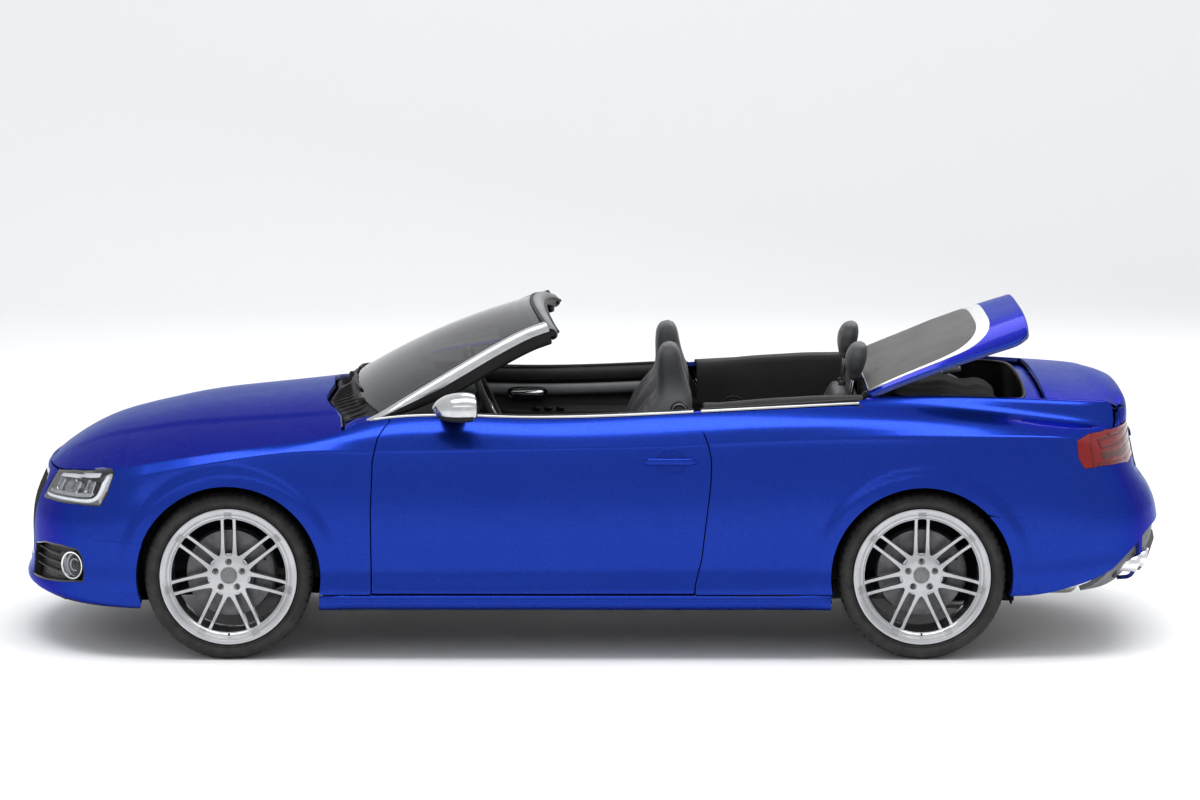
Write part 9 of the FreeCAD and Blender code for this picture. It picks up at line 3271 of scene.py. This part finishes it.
    # shields and covers under the floor
    for nm, x0, x1, y0, y1, z in (("nose_shield", -2.16, -1.70, -.62, .62, .196), ("gearbox_shield", -1.18, -.88, -.36, .36, .180), ("right_floor_cover", -.80, .86, .16, .60, .1635), ("left_floor_cover", -.80, .86, -.60, -.16, .1635)):
        pts = [((x0 + x1) / 2 + (x1 - x0) / 2 * math.copysign(abs(math.cos(a)) ** .3, math.cos(a)), (y0 + y1) / 2 + (y1 - y0) / 2 * math.copysign(abs(math.sin(a)) ** .3, math.sin(a))) for a in np.linspace(0, 2 * math.pi, 60, endpoint=False)]
        sh = prism(nm, pts, "z", z - .004, z, r=.0015, m="underseal")
        finish_piece(sh, "car_body", "underbody")
        for k in range(5):
            xr = x0 + (x1 - x0) * (k + .5) / 5
            rb_ = rbox("%s_rib_%d" % (nm, k), (xr - .010, y0 + .05, z - .009), (xr + .010, y1 - .05, z - .003), .002, m="underseal")
            finish_piece(rb_, "car_body", "underbody")
    heat = prism("tunnel_heat_shield", [(-.078, .176), (-.062, .205), (.062, .205), (.078, .176), (.078, .172), (.060, .199), (-.060, .199), (-.078, .172)], "x", -.84, 1.10, r=0, m="satin_alu")
    finish_piece(heat, "car_body", "cast_metal")
    tank = rbox("fuel_tank", (.93 - .02, -.46, .172), (1.17, .46, .25), .04, 4, "underseal")
    finish_piece(tank, "car_body", "underbody")


# ------------------------------------------------------------------ engine bay
def build_engine_bay():
    def add(o, slot="cast_metal"):
        return finish_piece(o, "car_body", slot)
    # ribbed cover on the block
    cov = rbox("engine_cover", (-1.70, -.24, .800), (-1.16, .24, .842), .016, 3, "black_plastic")
    add(cov, "black_trim")
    for k in range(9):
        y = -.18 + k * .045
        add(rbox("engine_cover_rib_%d" % k, (-1.62, y - .008, .840), (-1.24, y + .008, .850), .003, m="black_gloss"), "black_trim")
    for sg, side in ((1, "right"), (-1, "left")):
        add(rbox(side + "_cam_cover", (-1.66, min(sg * .255, sg * .315), .70), (-1.18, max(sg * .255, sg * .315), .795), .018, 3, "cast_dark"))
        tw = lathe(side + "_strut_tower", [(.125, -.22), (.112, -.02), (.095, .0), (.060, .006), (.040, .014), (.018, .014), (.018, .026), (0, .028)], 44, (FX + .02, sg * .60, .770), (0, 0, 1), "jamb_paint")
        add(tw, "paint")
        for a in range(3):
            q = a * 2.094
            add(lathe("%s_tower_nut_%d" % (side, a), [(.010, 0), (.010, .008), (.005, .010), (.005, .018), (0, .018)], 6, (FX + .02 + .072 * math.cos(q), sg * .60 + .072 * math.sin(q), .773), (0, 0, 1), "bright_steel"), "bright_steel")
        xs = np.linspace(-1.99, -1.03, 14)
        g = [[(x, sg * (np.interp(x, EDGE[:, 0], EDGE[:, 1]) - .050), np.interp(x, EDGE[:, 0], EDGE[:, 2]) - .030), (x, sg * (np.interp(x, EDGE[:, 0], EDGE[:, 1]) - .080), np.interp(x, EDGE[:, 0], EDGE[:, 2]) - .040),
              (x, sg * .56, .76 + .03 * (x + 2)), (x, sg * .462, .70), (x, sg * .462, .40)] for x in xs]
        gm = grid_mesh(side + "_inner_wing", g, "jamb_paint", up=None, angle=50)
        bm = bmesh.new()
        bm.from_mesh(gm.data)
        bm.faces.ensure_lookup_table()
        if bm.faces[len(bm.faces) // 2].normal.z < 0 and bm.faces[len(bm.faces) // 2].normal.y * sg > 0:
            bmesh.ops.reverse_faces(bm, faces=bm.faces[:])
        bm.to_mesh(gm.data)
        bm.free()
        add(gm, "paint")
        add(tube(side + "_bonnet_seal", [(x, sg * (np.interp(x, EDGE[:, 0], EDGE[:, 1]) - .060), np.interp(x, EDGE[:, 0], EDGE[:, 2]) - .026) for x in xs], .006, "seal_rubber", 8), "black_trim")
    add(rbox("radiator_pack", (-2.02, -.40, .30), (-1.93, .40, .66), .010, m="cast_dark"))
    for k in range(18):
        y = -.37 + k * .0435
        add(rbox("radiator_fin_%02d" % k, (-2.024, y - .003, .32), (-2.018, y + .003, .64), .001, m="bright_steel"))
    add(rbox("lock_panel", (-2.05, -.48, .662), (-1.90, .48, .690), .010, 3, "black_plastic"), "black_trim")
    add(rbox("battery_box", (-1.13, .28, .62), (-1.04, .52, .80), .012, 3, "black_plastic"), "black_trim")
    add(rbox("battery_lid", (-1.135, .275, .798), (-1.035, .525, .815), .006, 2, "grey_plastic"), "black_trim")
    add(rbox("air_box", (-1.84, .34, .58), (-1.66, .50, .745), .022, 3, "black_plastic"), "black_trim")
    add(tube("air_duct", spl([(-1.66, .42, .70), (-1.56, .40, .74), (-1.46, .34, .76), (-1.40, .26, .76)], 8), .030, "black_plastic", 18), "black_trim")
    tank = lathe("coolant_tank", [(0, -.05), (.060, -.045), (.072, -.02), (.072, .02), (.060, .045), (.022, .052), (.024, .070), (.020, .074), (0, .075)], 36, (-1.72, -.44, .70), (0, 0, 1), "lamp_white")
    add(tank, "black_trim")
    add(lathe("coolant_cap", [(0, .090), (.022, .089), (.026, .080), (.026, .066)], 24, (-1.72, -.44, .70), (0, 0, 1), "black_gloss"), "black_trim")
    for k, pts in enumerate(([(-1.93, -.30, .60), (-1.86, -.32, .68), (-1.78, -.26, .72), (-1.70, -.22, .74)], [(-1.93, .25, .62), (-1.86, .30, .70), (-1.78, .27, .74), (-1.70, .20, .76)], [(-1.70, -.44, .76), (-1.60, -.38, .79), (-1.50, -.30, .79), (-1.42, -.26, .76)])):
        add(tube("hose_%d" % k, spl(pts, 8), .017 if k < 2 else .010, "seal_rubber", 14), "black_trim")
    bulk = grid_mesh("bulkhead_trim", [[(-1.028, y, .40), (-1.030, y, .60), (-1.030, y, .80), (-1.024, y, .930)] for y in np.linspace(-.66, .66, 20)], "liner_felt", up=(-1, 0, 0))
    add(bulk, "black_trim")

BUILD = ["build_fenders", "build_door_skins", "build_quarters", "build_front_bumper", "build_grille", "build_rear_bumper", "build_bonnet",
         "build_roof_lid", "build_boot_lid", "build_rockers", "build_headlights", "build_tail_lamps", "build_handles", "build_mirrors", "build_belt_trim",
         "build_screen", "build_cowl", "build_wheels", "build_brakes", "build_front_seats", "build_rear_seats", "build_dash", "build_console", "build_steering",
         "build_door_trim", "build_side_trim", "build_compartment", "build_soft_top", "build_carpets", "build_underside", "build_engine_bay"]


# ------------------------------------------------------------------ assembly
NODE_MATERIAL = {
    "sills": "underseal", "floor_pan": "underseal", "front_subframe": "cast_dark", "rear_axle": "cast_dark", "engine_block": "cast_dark",
    "left_knuckle": "cast_dark", "right_knuckle": "cast_dark", "exhaust": "bright_steel", "wheel_liners": "liner_felt", "steering_column": "cabin_soft",
    "rear_side_panels": "cabin_soft", "centre_console": "cabin_soft", "dashboard": "cabin_soft"}

for fn_ in BUILD:
    if fn_ in globals():
        t_ = time.time()
        globals()[fn_]()
        print("built %-26s %.2f s" % (fn_, time.time() - t_))

for o in list(bpy.data.objects):
    if o.type == "MESH" and o.name in NODES and o.name in NODE_MATERIAL:
        o.data.materials.clear()
        o.data.materials.append(M[NODE_MATERIAL[o.name]])

# ------------------------------------------------------------------ studio
def floor_mesh():
    verts, faces = [], []
    prof = [(-14, 0), (11, 0)] + [(11 + 3 * math.sin(a), 3 - 3 * math.cos(a)) for a in np.linspace(0.1, math.pi / 2, 14)] + [(14, 16)]
    for x in (-26, 26):
        for y, z in prof:
            verts.append((x, y, z))
    n = len(prof)
    for i in range(n - 1):
        faces.append((i, n + i, n + i + 1, i + 1))
    o = mesh_obj("studio_floor", verts, faces)
    fm = mat("studio_white").set(rough=0.55, base=(0.92, 0.92, 0.925))
    v_ = fm.coords()
    fm.link(fm.grey(fm.noise(v_, 1.5, 3).outputs["Fac"], 0.5, 0.6), fm.b.inputs["Roughness"])
    o.data.materials.append(fm.m)
    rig.stage(o)


def area(name, loc, target, size, power, color=(1, 1, 1), shape="RECTANGLE"):
    l = bpy.data.lights.new(name, "AREA")
    l.shape = shape
    l.size, l.size_y = size
    l.energy = power
    l.color = color
    o = bpy.data.objects.new(name, l)
    o.location = loc
    o.rotation_euler = (Vector(target) - Vector(loc)).to_track_quat("-Z", "Y").to_euler()
    scene.collection.objects.link(o)
    return o


floor_mesh()
w = bpy.data.worlds.new("studio")
w.use_nodes = True
bg = w.node_tree.nodes["Background"]
bg.inputs["Color"].default_value = (0.97, 0.98, 1.0, 1)
bg.inputs["Strength"].default_value = 0.80
scene.world = w
scene.view_settings.view_transform = "Standard"
area("key_top", (0.0, -1.5, 8.0), (0, 0, 0.4), (10, 4), 620)
area("front_bank", (-2.5, -10, 4.5), (0, 0, 0.6), (10, 2), 70)
area("rear_fill", (3, 8, 6), (0, 0, 0.6), (9, 3), 300)

cam_data = bpy.data.cameras.new("view")
cam_data.sensor_width = 36
cam_data.lens = 153.69
cam_data.clip_end = 200
cam = bpy.data.objects.new("view", cam_data)
cam.location = (0.034, -20.92, 3.75)
cam.rotation_euler = (math.radians(90 - 7.7026), 0, 0)
scene.collection.objects.link(cam)
scene.camera = cam

lo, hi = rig.bounds()
with open("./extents.json", "w") as f:
    json.dump({"cad": [list(CAD_LO), list(CAD_HI)], "visual": [list(lo), list(hi)]}, f)
